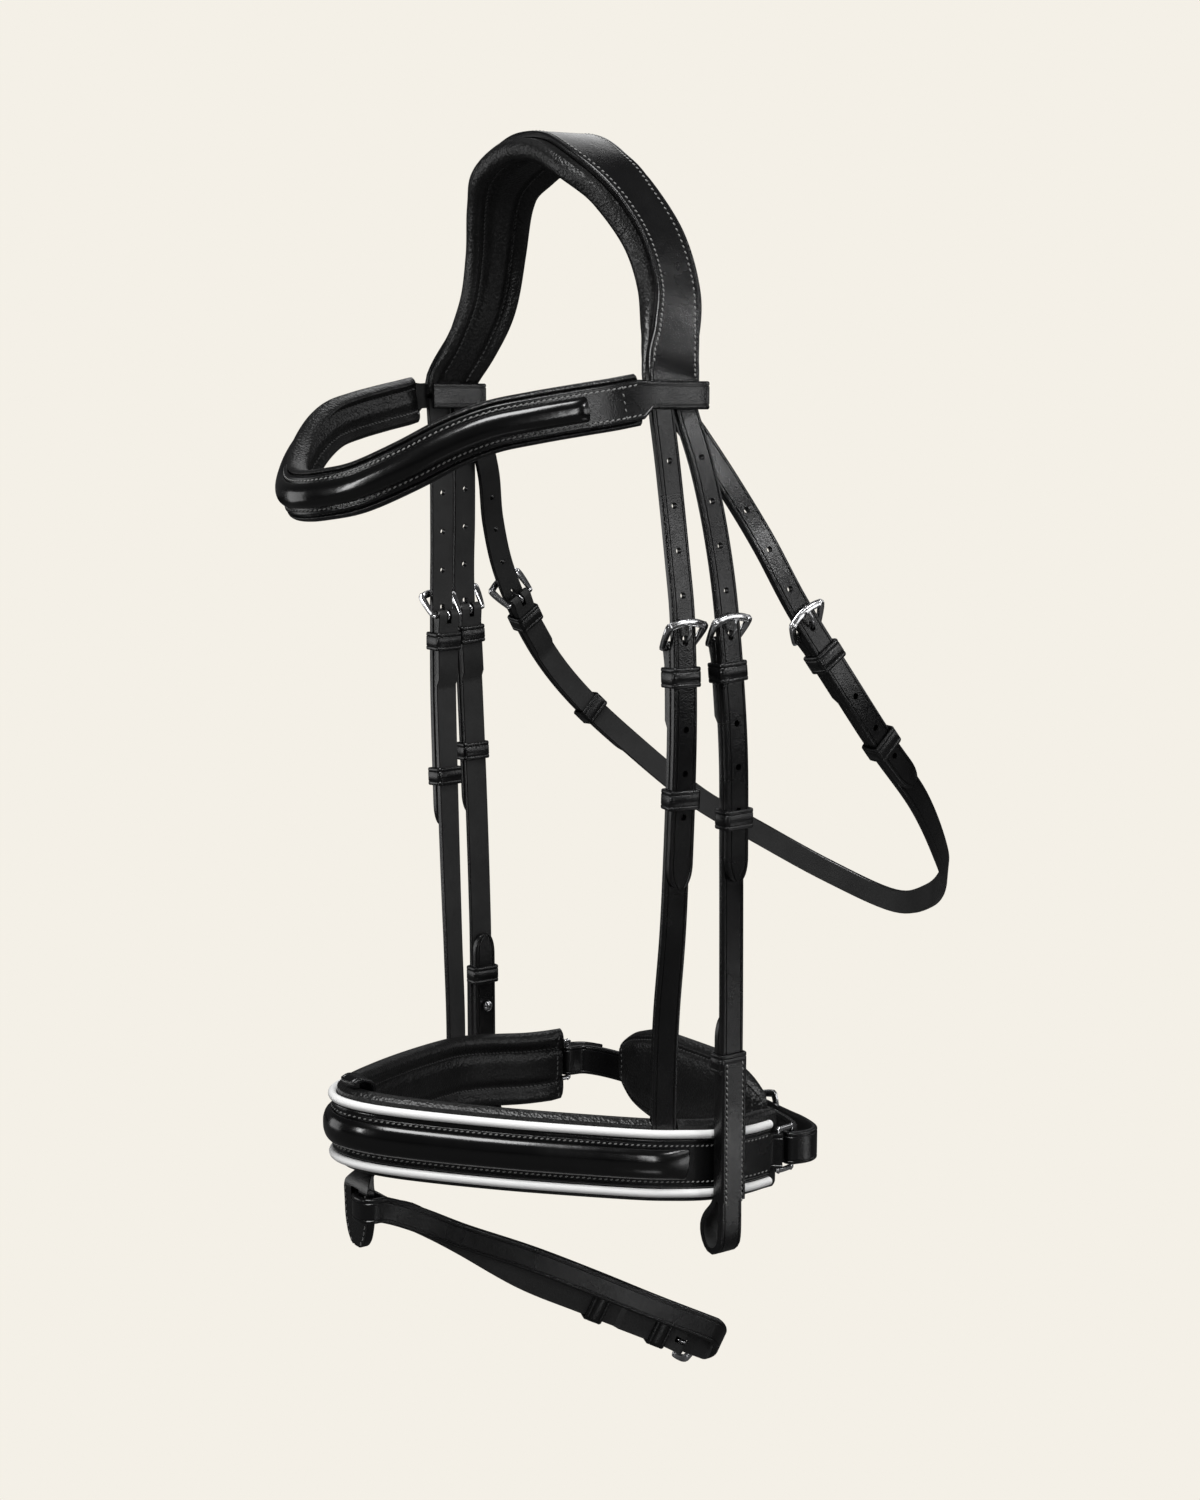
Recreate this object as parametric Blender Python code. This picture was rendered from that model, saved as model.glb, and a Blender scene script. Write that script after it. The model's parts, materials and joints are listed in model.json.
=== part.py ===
"""A padded dressage bridle with a crank noseband and a flash strap, piece by piece at its real size.

Z is up, the horse looks along -Y and its left side, called near here, is +X.
The origin is where the crown's lining rests on the horse's poll. All lengths are in metres.
"""

from math import copysign, cos, pi, sin

import bmesh
import bpy
import numpy as np
from mathutils import Matrix, Vector

# Gaps and running clearances.
SEAT = 0.0003              # between two pieces that lie on each other
SLIDE_CLEARANCE = 0.00055  # round a keeper that slides
SWING_CLEARANCE = 0.00095  # round what tilts a few degrees
CUT_OVERRUN = 0.002        # how far a cutter reaches past what it cuts

# Strap leather.
STRAP_WIDTH = 0.0125
STRAP_THICKNESS = 0.0032
STRAP_CHAMFER = 0.0006
TIP_LENGTH = 0.011
HOLE_PITCH = 0.020
HOLE_RADIUS = 0.0015

# The head that the bridle goes round.
POLL_TO_BROWBAND = 0.111   # from the poll down to the tops of the cheek straps
HEAD_HALF_WIDTH = 0.091    # out to the strap layers at the browband
NOSE_TOP_BACK = -0.0066
NOSE_BOW = 0.0094          # how far the noseband's hanging straps bow outwards
NOSE_DRIFT = 0.0017        # and backwards
CHEEK_TOP_BACK = 0.0069
CHEEK_BOW = 0.0065
CHEEK_DRIFT = 0.0018
BIT_DROP = 0.3975           # from the straps' tops to the bottom of the bit loops

# The throatlatch.
THROAT_TOP_BACK = 0.005
THROAT_FLARE = 0.0371
THROAT_BACK = 0.224
THROAT_DROP = 0.2725

# Crown.
CROWN_THICKNESS = 0.0032
CROWN_WIDTH = 0.032        # at the poll
CROWN_WAIST_WIDTH = 0.0215 # at its narrowest, beside the ears
CROWN_PAD_WIDTH = 0.046
CROWN_PAD_END_WIDTH = 0.0285
CROWN_PAD_THICKNESS = 0.0100
CROWN_PAD_END_THICKNESS = 0.0034
CROWN_BOW = 0.0122         # how far the crown curves back behind the ears
CROWN_TURN = 0.08          # radians that its sides face forwards
CROWN_END_RISE = 0.002     # the crown ends this far above the tops of the cheek straps

# Browband.
BROWBAND_REACH = 0.138     # from the cheek straps to its middle in front
BROWBAND_DIP = 0.043
BROWBAND_THICKNESS = 0.0020
BROWBAND_HEIGHT = 0.0174
LOOP_HEIGHT = 0.0125
LOOP_RISE = 0.0012         # the loops' middle above the tops of the cheek straps
BROWBAND_PAD_HEIGHT = 0.0228
BROWBAND_PAD_THICKNESS = 0.0085
BROWBAND_STRIP_WIDTH = 0.0112
BROWBAND_STRIP_THICKNESS = 0.0038
BROWBAND_STRIP_END = 0.0235  # how far the raised strip stops before the padding's ends
BROWBAND_PAD_END_GAP = 0.005

# Noseband.
NOSEBAND_SPREAD = 0.0045   # how much further out than the head's half width its sides lie
NOSEBAND_HALF_WIDTH = HEAD_HALF_WIDTH + NOSEBAND_SPREAD
NOSEBAND_FRONT = -0.1205
NOSEBAND_LENGTH = 0.1869   # from its front to its two ends
NOSEBAND_DROP = 0.337      # its middle in front, below the straps' tops
NOSEBAND_SLOPE = 0.021     # how much lower its ends lie than its front
NOSEBAND_THICKNESS = 0.0025
NOSEBAND_HEIGHT = 0.0236
PIPING_RADIUS = 0.0020
NOSEBAND_PAD_HEIGHT = 0.0390
NOSEBAND_PAD_THICKNESS = 0.0095
NOSEBAND_STRIP_WIDTH = 0.0150
NOSEBAND_STRIP_THICKNESS = 0.0040
NOSEBAND_STRIP_END = 0.058  # how far the raised strip stops before the band's ends
HANGER_BACK = -0.0022       # where the hanging straps meet the noseband
HANGER_END_RISE = 0.004    # their ends above its middle
HANGER_SINK = 0.0006       # how far inside the band's leather they lie
CHEEK_BACK = 0.0252        # where the cheek straps cross it

# Bit loops and billets.
BIT_LOOP_DEPTH = 0.0262
BIT_LOOP_THICKNESS = 0.0160
BILLET_TIP_DROP = 0.283    # the billet's tip below the straps' tops
BILLET_KEEPER_BELOW = 0.022  # its keeper and its stud below the billet's tip
STUD_BELOW = 0.039
STUD_HEAD_RADIUS = 0.0026
STUD_NECK_RADIUS = 0.0013
STUD_HEAD_THICKNESS = 0.0016
STUD_NECK_LENGTH = 0.0012
LINING_THICKNESS = 0.0016
LINING_LENGTH = 0.066
LINING_OVERHANG = 0.0008
BIT_LOOP_STEP = 0.0052     # between cross-sections round the bit loop

# Buckles, on every strap the same apart from their width.
BAR_RADIUS = 0.0012
BUCKLE_SIDE_GAP = 0.0011   # from a strap's edge to the buckle's leg
BUCKLE_FLARE = 0.0012      # how much further out the legs stand at the top bar
BUCKLE_CROWN = 0.0016      # how far the top bar bulges
PRONG_RADIUS = 0.0008
PRONG_CLEARANCE = 0.0002
BAR_BELOW_HOLE = 0.0032    # the pivot bar, below the strap hole that the prong goes through
TOP_BAR_ABOVE_HOLE = 0.0066
SKIVED_THICKNESS = 0.0015  # the thinned leather folded round the bar
FOLD_THICKNESS = 0.0018
FOLD_LENGTH = 0.033
PRONG_SLOT = 0.0050

# Keepers.
KEEPER_THICKNESS = 0.0013
KEEPER_WIDTH = 0.0090
KEEPER_CORNER = 0.0008
FIXED_KEEPER_BELOW = 0.0165   # below the prong's hole
BUCKLE_DROP = 0.108           # the prong's hole below the straps' tops, along the strap
TAIL_BELOW = 0.113
NOSE_SLIDER_BELOW = {"near": 0.072, "far": 0.087}
CHEEK_SLIDER_BELOW = {"near": 0.084, "far": 0.079}
THROAT_BUCKLE_DROP = 0.1215
THROAT_SLIDER_BELOW = {"near": 0.0715, "far": 0.086}
THROAT_TAIL_BELOW = {"near": 0.1025, "far": 0.1225}
THROAT_STEP = 0.014

# Crank strap, chin pad and the rings at the noseband's ends.
CRANK_WIDTH = 0.0160
CRANK_THICKNESS = 0.0026
RING_LENGTH = 0.0100
RING_BAR_RADIUS = 0.0012
RING_STAND = 0.0029        # the rings' plane above the noseband's inner layer
CHAPE_LENGTH = 0.0080
CHIN_REACH = 0.0175        # how far behind the rings the strap passes under the jaw
CHIN_PAD_LENGTH = 0.122
CHIN_PAD_HEIGHT = 0.050
CHIN_PAD_THICKNESS = 0.0110
CHIN_PAD_RISE = 0.005
CRANK_INSET = 0.0015       # how far inside the noseband's sides it lies
CRANK_SPACING = 0.0066     # between the middles of its two runs at the buckle
CRANK_BUCKLE = 0.044       # where the buckle's hole is, from the middle

# Flash loop and flash strap.
FLASH_TAB_WIDTH = 0.0220
FLASH_TAB_THICKNESS = 0.0045
FLASH_TAB_SET = 0.6        # where the tab hangs, from the noseband's front to its lining
FLASH_TAB_DROP = 0.0590    # the tab's tip below the noseband's middle
FLASH_NECK_WIDTH = 0.0130
FLASH_NECK_THICKNESS = 0.0020
FLASH_NECK_STAND = 0.0028  # between the neck's middle and the curved lining in front of it
FLASH_SLOT_WIDTH = 0.0072
FLASH_SLOT_HEIGHT = 0.0150
FLASH_WEB_SHARE = 0.43     # how much of the slot lies on the strap's side
FLASH_SLOT_DROP = 0.0375
FLASH_WIDTH = 0.0122
FLASH_THICKNESS = 0.0024
FLASH_SIDE = 0.0682        # how far it reaches from the tab, across and back
FLASH_BACK = 0.1650
FLASH_DROP = 0.0806        # and down, along its outer run
FLASH_OPEN = 0.0056        # how far its two runs stand to the sides of a line from the tab
FLASH_ROOM = 0.0019        # between the tab and the strap round it
FLASH_HOLE_SHARE = 0.893   # where the prong's hole is, along that line
FLASH_FIXED_KEEPER = 0.0155
FLASH_SLIDER = 0.050
FLASH_TAIL = 0.0745

# How finely curves are cut.
SMOOTH_STEPS = 10
STRAP_STEP = 0.024
BAND_STATIONS = 29
HOLE_SIDES = 6
BORE_SIDES = 10
BEND_STEP = pi / 8
TURN_STEPS = 8
WIRE_SIDES = 6

# Routes of the straps. Each row is how far down, how far towards the lower end's place, and how
# far out along the bow and back along the drift.
NOSE_LINE_SHARES = ((0.0, 0.0, 0.0, 0.0), (0.016, 0.0, 0.0, 0.0), (0.09, 0.45, 0.19, 0.3),
                    (0.206, 0.9, 0.6, 0.47), (0.294, 1.0, 0.89, 0.88), (0.445, 1.0, 1.0, 1.0),
                    (0.672, 1.0, 0.64, 0.7), (0.811, 1.0, 0.22, 0.0), (0.913, 1.0, 0.03, 0.0),
                    (1.0, 1.0, 0.0, 0.0))
CHEEK_LINE_SHARES = ((0.0, 0.0, 0.0, 0.0), (0.014, 0.0, 0.0, 0.0), (0.078, 0.2, 0.385, 0.9),
                     (0.155, 0.4, 0.77, 0.9), (0.246, 0.6, 1.0, 0.2), (0.388, 0.8, 0.785, 0.3),
                     (0.524, 0.92, 0.354, 0.0), (0.657, 0.98, 0.09, 0.0), (0.75, 1.0, 0.0, 0.0),
                     (1.0, 1.0, 0.0, 0.0))

# The throatlatch from its top to its middle: share of the top's width, flare, back and down.
THROAT_LINE_SHARES = ((1.0, 0.0, 0.0, 0.0), (1.0, 0.0, 0.008, 0.025), (1.0, 0.03, 0.048, 0.065),
                      (1.0, 0.25, 0.1, 0.143), (1.0, 0.582, 0.148, 0.2385), (1.0, 0.811, 0.208, 0.345),
                      (1.0, 1.0, 0.3125, 0.477), (1.0, 0.987, 0.424, 0.587),
                      (1.0, 0.798, 0.571, 0.701), (1.0, 0.313, 0.719, 0.8147),
                      (0.86, 0.0, 0.839, 0.888), (0.47, 0.0, 0.942, 0.958), (0.0, 0.0, 1.0, 1.0))
THROAT_TWIST_SHARE = 0.5

# The crown from the poll down to the browband: share of the head's half width, of the height and
# of the bow behind the ears.
CROWN_LINE_SHARES = ((0.0, 1.0, 0.0), (0.187, 0.981, 0.0), (0.41, 0.901, -0.04),
                     (0.58, 0.795, 0.3), (0.745, 0.606, 0.86), (0.85, 0.404, 1.0),
                     (0.915, 0.236, 0.62), (0.957, 0.13, 0.25), (0.99, 0.065, 0.03), (1.0, 0.032, 0.0),
                     (1.0, 0.0, 0.0))
CROWN_WIDTH_SHARES = ((0.0, 1.0), (0.18, 0.85), (0.3, 0.45), (0.42, 0.05), (0.55, 0.0), (0.7, 0.02),
                      (0.84, 0.3), (0.93, 0.6), (1.0, 0.6))
CROWN_STRAIGHT_SHARE = 0.955
CROWN_PAD_SHARES = ((0.0, 1.0), (0.2, 0.85), (0.34, 0.36), (0.5, 0.2), (0.75, 0.12), (0.93, 0.0),
                    (1.0, 0.0))
CROWN_TURN_SHARES = ((0.0, 0.0), (0.2, 0.6), (0.4, 1.0), (0.7, 1.0), (0.9, 0.0), (1.0, 0.0))
CROWN_PAD_DEPTH_SHARES = ((0.0, 1.0), (0.7, 0.9), (0.88, 0.3), (0.94, 0.0), (1.0, 0.0))

# The browband's near half, from its middle: share of the half width, of the reach and of the dip.
BROWBAND_LINE_SHARES = ((0.0, 1.0, 1.0), (0.154, 0.982, 0.977), (0.341, 0.92, 0.895),
                        (0.538, 0.819, 0.68), (0.681, 0.71, 0.45), (0.791, 0.601, 0.29),
                        (0.885, 0.478, 0.2), (0.967, 0.348, 0.125), (1.03, 0.232, 0.065))

# The noseband's near half, from its middle: share of the half width, of the length and of the drop.
NOSEBAND_LINE_SHARES = ((0.0, 0.0, 0.0), (0.136, 0.021, 0.025), (0.267, 0.0765, 0.09),
                        (0.43, 0.179, 0.21), (0.602, 0.303, 0.35), (0.77, 0.441, 0.5),
                        (0.918, 0.578, 0.65), (0.977, 0.662, 0.74), (1.006, 0.768, 0.87),
                        (0.992, 0.884, 0.98), (0.96, 1.0, 1.0))

# Cross-sections: share of the half width and share of the thickness.
PAD_BACK_SHARES = ((0.9, 0.0), (1.0, -0.3), (0.95, -0.8), (0.76, -1.0), (0.5, -0.6), (0.25, -0.78),
                   (0.0, -0.78))
ROLL_BACK_SHARES = ((0.78, 0.0), (0.89, 0.12), (1.0, -0.15), (0.96, -0.7), (0.76, -1.0), (0.5, -0.62),
                    (0.0, -0.8))
STRIP_SHARES = ((1.0, 0.0), (0.95, 0.34), (0.72, 0.72), (0.38, 0.94), (0.0, 1.0))
CHIN_PAD_SHARES = ((0.0, 0.34), (0.04, 0.52), (0.14, 0.8), (0.32, 1.0), (0.5, 1.0),
                   (0.68, 1.0), (0.86, 0.8), (0.96, 0.52), (1.0, 0.34))
CHIN_PAD_CROWN_SHARES = ((0.0, 0.35), (0.06, 0.62), (0.2, 0.95), (0.5, 1.0),
                         (0.8, 0.95), (0.94, 0.62), (1.0, 0.35))

CHIN_SECTION_SHARES = ((0.9, 0.0), (1.0, 0.25), (0.96, 0.6), (0.8, 0.92), (0.5, 1.0), (0.0, 0.97))

# The crank strap from the middle to the rings: share of its half width, of its reach behind the
# rings, and of the space between its two runs.
CRANK_LINE_SHARES = ((0.0, 1.0, 0.0), (0.13, 0.994, 0.78), (0.28, 0.975, 0.84), (0.4, 0.945, 1.0),
                     (0.47, 0.92, 1.0), (0.6, 0.87, 0.9), (0.74, 0.77, 0.95), (0.86, 0.6, 0.0),
                     (0.94, 0.36, 0.0))
CRANK_LOOP_SHARES = ((1.3, 0.26), (1.2, 0.52), (0.4, 0.78), (-1.4, 0.95), (-4.2, 1.08))
CRANK_FAR_SHARES = ((1.05, 0.3), (-0.3, 0.66), (-3.4, 0.92))

# The leather folded round the crank buckle's bar: places along in radii and share of its height.
CRANK_CHAPE_SHARES = ((-1.05, 0.0), (-1.0, 0.55), (-0.7, 0.9), (0.0, 1.0), (1.2, 1.0), (3.0, 0.4),
                      (3.2, 0.0))

# The bit loop: share of its thickness inwards and of its depth upwards.
BIT_LOOP_SHARES = ((0.0, 0.36), (0.1, 0.12), (0.42, 0.0), (0.72, 0.12), (0.85, 0.38), (0.72, 0.62),
                   (0.42, 0.83), (0.25, 1.0))

# The bit loop's cross-sections, in steps from its lowest place.
BIT_LOOP_PLACES = (-3.6, -2.6, -1.9, -1.2, -0.5, 0.5, 1.2, 1.9, 2.7, 3.6, 4.5, 5.5, 7.0)

# The flash strap. Its inner run from its far end to the tab, and its outer run from the tab to its
# far end: share of the reach, of the opening and of the drop. In between, the wrap round the tab:
# place and direction in shares of its stand, and share of the drop.
FLASH_REAR_SHARES = ((0.963, -0.61, 1.13), (0.914, -0.61, 1.078), (0.808, -0.61, 0.96),
                     (0.611, -0.61, 0.746), (0.445, -0.61, 0.561), (0.282, -0.61, 0.318),
                     (0.2, -0.2, 0.195), (0.12, 0.3, 0.085))
FLASH_WRAP_SHARES = ((1.1, 1.5, -0.5, 1.0, 0.024), (0.45, 1.0, -0.2, 1.0, 0.003),
                     (-0.15, 0.82, -0.6, 0.8, 0.0), (-0.33, 0.4, -1.0, 0.1, 0.0),
                     (-0.3, 0.0, -1.0, 0.0, 0.0), (-0.33, -0.4, -1.0, -0.1, 0.0),
                     (-0.15, -0.82, -0.6, -0.8, 0.0), (0.4, -1.0, 0.0, -1.0, 0.0),
                     (1.0, -1.02, 0.0, -1.0, 0.0), (1.75, -0.85, 0.5, -0.85, 0.0),
                     (2.15, -0.15, 1.0, -0.2, 0.0), (2.2, 0.9, 1.0, 0.0, 0.007))
FLASH_FORE_SHARES = ((0.107, 1.72, 0.055), (0.173, 1.2, 0.13), (0.273, 1.0, 0.24), (0.45, 1.0, 0.405),
                     (0.627, 1.0, 0.593), (0.79, 1.0, 0.775), (0.963, 0.96, 0.96))

# The flash tab's outline from its tip: share of its length and of its half width.
FLASH_TAB_SHARES = ((0.0, 0.22), (0.06, 0.5), (0.2, 0.78), (0.45, 0.96), (0.75, 1.0), (1.0, 0.96))

# A pointed end's cross-sections from where it starts to narrow, as shares of its length.
TIP_SHARES = (1.0, 0.7, 0.4, 0.12, 0.0)

# The prong: how far above the pivot bar (share of the bars' distance) and how far out (share of rise).
PRONG_SHARES = ((0.18, 0.12), (0.21, 0.34), (0.3, 0.62), (0.48, 0.86), (0.76, 0.985), (1.07, 1.0))

NEAR, FAR = 1, -1
SIDES = (("near", NEAR), ("far", FAR))


def material(name, colour, roughness, metallic=0.0):
    """One finish, made once and shared by its pieces."""
    found = bpy.data.materials.get(name)
    if found:
        return found
    made = bpy.data.materials.new(name)
    made.use_nodes = True
    shader = made.node_tree.nodes["Principled BSDF"]
    shader.inputs["Base Color"].default_value = (*colour, 1.0)
    shader.inputs["Roughness"].default_value = roughness
    shader.inputs["Metallic"].default_value = metallic
    made.diffuse_color = (*colour, 1.0)
    return made


def strap_leather():
    return material("strap_leather", (0.012, 0.012, 0.013), 0.38)


def patent_leather():
    return material("patent_leather", (0.009, 0.009, 0.010), 0.14)


def lining_leather():
    return material("lining_leather", (0.016, 0.016, 0.017), 0.62)


def piping_leather():
    return material("piping_leather", (0.86, 0.86, 0.85), 0.45)


def steel():
    return material("polished_steel", (0.68, 0.68, 0.69), 0.16, 1.0)


class Route:
    """A smooth line through points, each with the direction in which the strap's face looks."""

    def __init__(self, points, outs):
        points = [Vector(p) for p in points]
        outs = [Vector(o) for o in outs]
        last = len(points) - 1
        fine, faces = [], []
        for i in range(last):
            before = points[i - 1] if i else points[0] * 2 - points[1]
            after = points[i + 2] if i + 2 <= last else points[last] * 2 - points[last - 1]
            for k in range(SMOOTH_STEPS):
                t = k / SMOOTH_STEPS
                fine.append(spline_point(before, points[i], points[i + 1], after, t))
                faces.append(outs[i].lerp(outs[i + 1], t))
        fine.append(points[last])
        faces.append(outs[last])
        self.points = np.array(fine)
        self.outs = np.array(faces)
        steps = np.linalg.norm(np.diff(self.points, axis=0), axis=1)
        self.lengths = np.concatenate([[0.0], np.cumsum(steps)])
        self.length = float(self.lengths[-1])
        self.alongs = np.gradient(self.points, self.lengths, axis=0)

    def value(self, table, s):
        return Vector([float(np.interp(s, self.lengths, table[:, k])) for k in range(3)])

    def frame(self, s, out=0.0):
        """Across, along and out at a distance along the line, as a matrix."""
        along = self.value(self.alongs, s).normalized()
        face = self.value(self.outs, s)
        face = (face - along * face.dot(along)).normalized()
        across = along.cross(face)
        place = self.value(self.points, s) + face * out
        return placed(across, along, face, place)

    def bend(self, start, end):
        """The angle that the line turns through between two places."""
        first, middle, last = [self.frame(s).col[1].to_3d() for s in (start, (start + end) / 2, end)]
        return first.angle(middle) + middle.angle(last)

    def moved(self, start, end, out, step=STRAP_STEP):
        """Points and directions along part of the line, moved outwards."""
        count = max(2, round(abs(end - start) / step) + 1)
        frames = [self.frame(s, out) for s in np.linspace(start, end, count)]
        return [f.translation for f in frames], [f.col[2].to_3d() for f in frames]


def spline_point(a, b, c, d, t):
    """A point between b and c on a Catmull-Rom curve."""
    square = (a * 2 - b * 5 + c * 4 - d) * t ** 2
    cube = (b * 3 - a - c * 3 + d) * t ** 3
    return (b * 2 + (c - a) * t + square + cube) / 2


def placed(across, along, out, place):
    matrix = Matrix((across, along, out)).transposed().to_4x4()
    matrix.translation = place
    return matrix


def mirrored(route):
    """The same line on the other side of the head."""
    flip = Vector((-1.0, 1.0, 1.0))
    copy = Route.__new__(Route)
    copy.points = route.points * np.array(flip)
    copy.outs = route.outs * np.array(flip)
    copy.alongs = route.alongs * np.array(flip)
    copy.lengths = route.lengths
    copy.length = route.length
    return copy


def table_value(table, share):
    """A value read between the rows of a table of shares."""
    return float(np.interp(share, [row[0] for row in table], [row[1] for row in table]))


def mesh_object(name, points, faces, finish, origin=None):
    """An object from points in the world, with its own origin and its faces turned outwards."""
    origin = Vector(origin) if origin is not None else Vector((0.0, 0.0, 0.0))
    mesh = bpy.data.meshes.new(name)
    mesh.from_pydata([tuple(Vector(p) - origin) for p in points], [], faces)
    shell = bmesh.new()
    shell.from_mesh(mesh)
    bmesh.ops.recalc_face_normals(shell, faces=shell.faces)
    shell.to_mesh(mesh)
    shell.free()
    mesh.shade_smooth()
    mesh.set_sharp_from_angle(angle=pi / 5)
    made = bpy.data.objects.new(name, mesh)
    made.location = origin
    bpy.context.collection.objects.link(made)
    if finish:
        made.data.materials.append(finish)
    return made


def loft(name, rings, finish, closed=False, origin=None):
    """A skin over rings of equally many points, with flat ends unless it closes on itself."""
    size = len(rings[0])
    points = [p for ring in rings for p in ring]
    faces = []
    spans = len(rings) if closed else len(rings) - 1
    for i in range(spans):
        here = i * size
        there = (i + 1) % len(rings) * size
        for k in range(size):
            n = (k + 1) % size
            faces.append((here + k, here + n, there + n, there + k))
    if not closed:
        faces.append(tuple(range(size - 1, -1, -1)))
        faces.append(tuple(range(len(points) - size, len(points))))
    return mesh_object(name, points, faces, finish, origin)


def flat_section(half_width, low, high):
    """A strap's cross-section with its outer edges eased, as (across, out) pairs."""
    ease = min(STRAP_CHAMFER, (high - low) / 3)
    inner = half_width - ease
    return [(-half_width, low), (half_width, low), (half_width, high - ease), (inner, high),
            (-inner, high), (-half_width, high - ease)]


def both_sides(shares, half_width, thickness, base):
    """A symmetric cross-section from the shares of one half, listed from its edge to its middle."""
    right = [(u * half_width, base + n * thickness) for u, n in shares]
    left = [(-u, n) for u, n in reversed(right) if u > 0]
    return right + left


def ring_at(frame, section):
    return [frame @ Vector((u, 0.0, n)) for u, n in section]


def tip_width(distance, half_width):
    """Half the width of a pointed end, this far from its tip."""
    if distance >= TIP_LENGTH:
        return half_width
    share = distance / TIP_LENGTH
    return half_width * (0.3 + 0.7 * (1 - (1 - share) ** 2) ** 0.5)


def stations(start, end, step, pointed=False):
    """Places along a strap where its cross-section is set, closer together on a pointed end."""
    last = end - TIP_LENGTH if pointed else end
    grid = [k * step for k in range(int(start / step) + 1, int(last / step) + 1)]
    places = [start] + [s for s in grid if start + step / 4 < s < last - step / 4]
    return places + (tip_places(end) if pointed else [end])


def tip_places(end):
    return [end - TIP_LENGTH * share for share in TIP_SHARES]


def cut(piece, cutter_meshes):
    """Take cutters, each given as points and faces, out of a piece."""
    points, faces = [], []
    for more, shape in cutter_meshes:
        faces += [tuple(i + len(points) for i in face) for face in shape]
        points += more
    cutter = mesh_object(piece.name + "_cutter", points, faces, None)
    cutter.display_type = "WIRE"
    cutter.hide_render = True
    modifier = piece.modifiers.new("cut", "BOOLEAN")
    modifier.operation = "DIFFERENCE"
    modifier.use_self = True
    modifier.object = cutter


def prism(outline, matrix, low, high):
    """A cutter over an outline of (across, along) pairs, between two levels."""
    size = len(outline)
    points = [matrix @ Vector((u, v, n)) for n in (low, high) for u, v in outline]
    faces = [tuple(range(size - 1, -1, -1)), tuple(range(size, 2 * size))]
    for k in range(size):
        n = (k + 1) % size
        faces.append((k, n, size + n, size + k))
    return points, faces


def circle(radius, sides, stretch=0.0):
    """An outline round the middle, stretched along by a length."""
    outline = []
    for k in range(sides):
        angle = 2 * pi * (k + 0.5) / sides
        shift = stretch / 2 if sin(angle) > 0 else -stretch / 2
        outline.append((radius * cos(angle), radius * sin(angle) + shift))
    return outline


def box_outline(half_across, start, end):
    return [(-half_across, start), (half_across, start), (half_across, end), (-half_across, end)]


def side_turned(frame, along, out):
    """The frame of a bore that runs across the strap, at a place along and above it."""
    across = frame.col[0].to_3d()
    place = frame @ Vector((0.0, along, out))
    return placed(frame.col[1].to_3d(), frame.col[2].to_3d(), across, place)


def wire(name, points, radius, finish, closed=False, origin=None, sides=WIRE_SIDES):
    """A round bar through points, kept from twisting."""
    points = [Vector(p) for p in points]
    count = len(points)
    side = None
    rings = []
    for i, point in enumerate(points):
        before = points[i - 1] if closed or i else points[0]
        after = points[(i + 1) % count] if closed or i + 1 < count else points[-1]
        along = (after - before).normalized()
        if side is None:
            side = along.orthogonal().normalized()
        side = (side - along * side.dot(along)).normalized()
        up = along.cross(side)
        rings.append([point + (side * cos(2 * pi * k / sides) + up * sin(2 * pi * k / sides)) * radius
                      for k in range(sides)])
    return loft(name, rings, finish, closed, origin)


def planar_wire(name, matrix, path, radius, finish, origin=None, sides=WIRE_SIDES):
    """A closed bar round a path of (across, along, out) points whose loop faces out."""
    points = [Vector(p) for p in path]
    count = len(points)
    centre = sum(points, Vector()) / count
    rings = []
    for i, point in enumerate(points):
        along = (points[(i + 1) % count] - points[i - 1]).normalized()
        out = Vector((0.0, 0.0, 1.0))
        side = along.cross(out).normalized()
        if side.dot(point - centre) < 0:
            side = -side
        up = side.cross(along).normalized()
        ring = [point + (side * cos(2 * pi * k / sides) + up * sin(2 * pi * k / sides)) * radius
                for k in range(sides)]
        rings.append([matrix @ p for p in ring])
    return loft(name, rings, finish, True, origin)


def keeper(name, route, s, half_width, low, high, clearance):
    """A leather band round the layers between two levels, centred at a distance along a route."""
    frame = route.frame(s)
    inner_u = half_width + clearance
    inner_low = low - clearance
    inner_high = high + clearance
    radius = KEEPER_CORNER
    rings = []
    corners = ((1, 1), (-1, 1), (-1, -1), (1, -1))
    for index, (su, sn) in enumerate(corners):
        centre_u = su * (inner_u - radius)
        centre_n = inner_high - radius if sn > 0 else inner_low + radius
        for step in range(3):
            angle = (index + step / 2) * pi / 2
            ring = []
            for grow, along in ((0.0, -1), (0.0, 1), (KEEPER_THICKNESS, 1), (KEEPER_THICKNESS, -1)):
                u = centre_u + (radius + grow) * cos(angle)
                n = centre_n + (radius + grow) * sin(angle)
                ring.append(frame @ Vector((u, along * KEEPER_WIDTH / 2, n)))
            rings.append(ring)
    return loft(name, rings, strap_leather(), True, frame @ Vector((0.0, 0.0, (low + high) / 2)))


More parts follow.
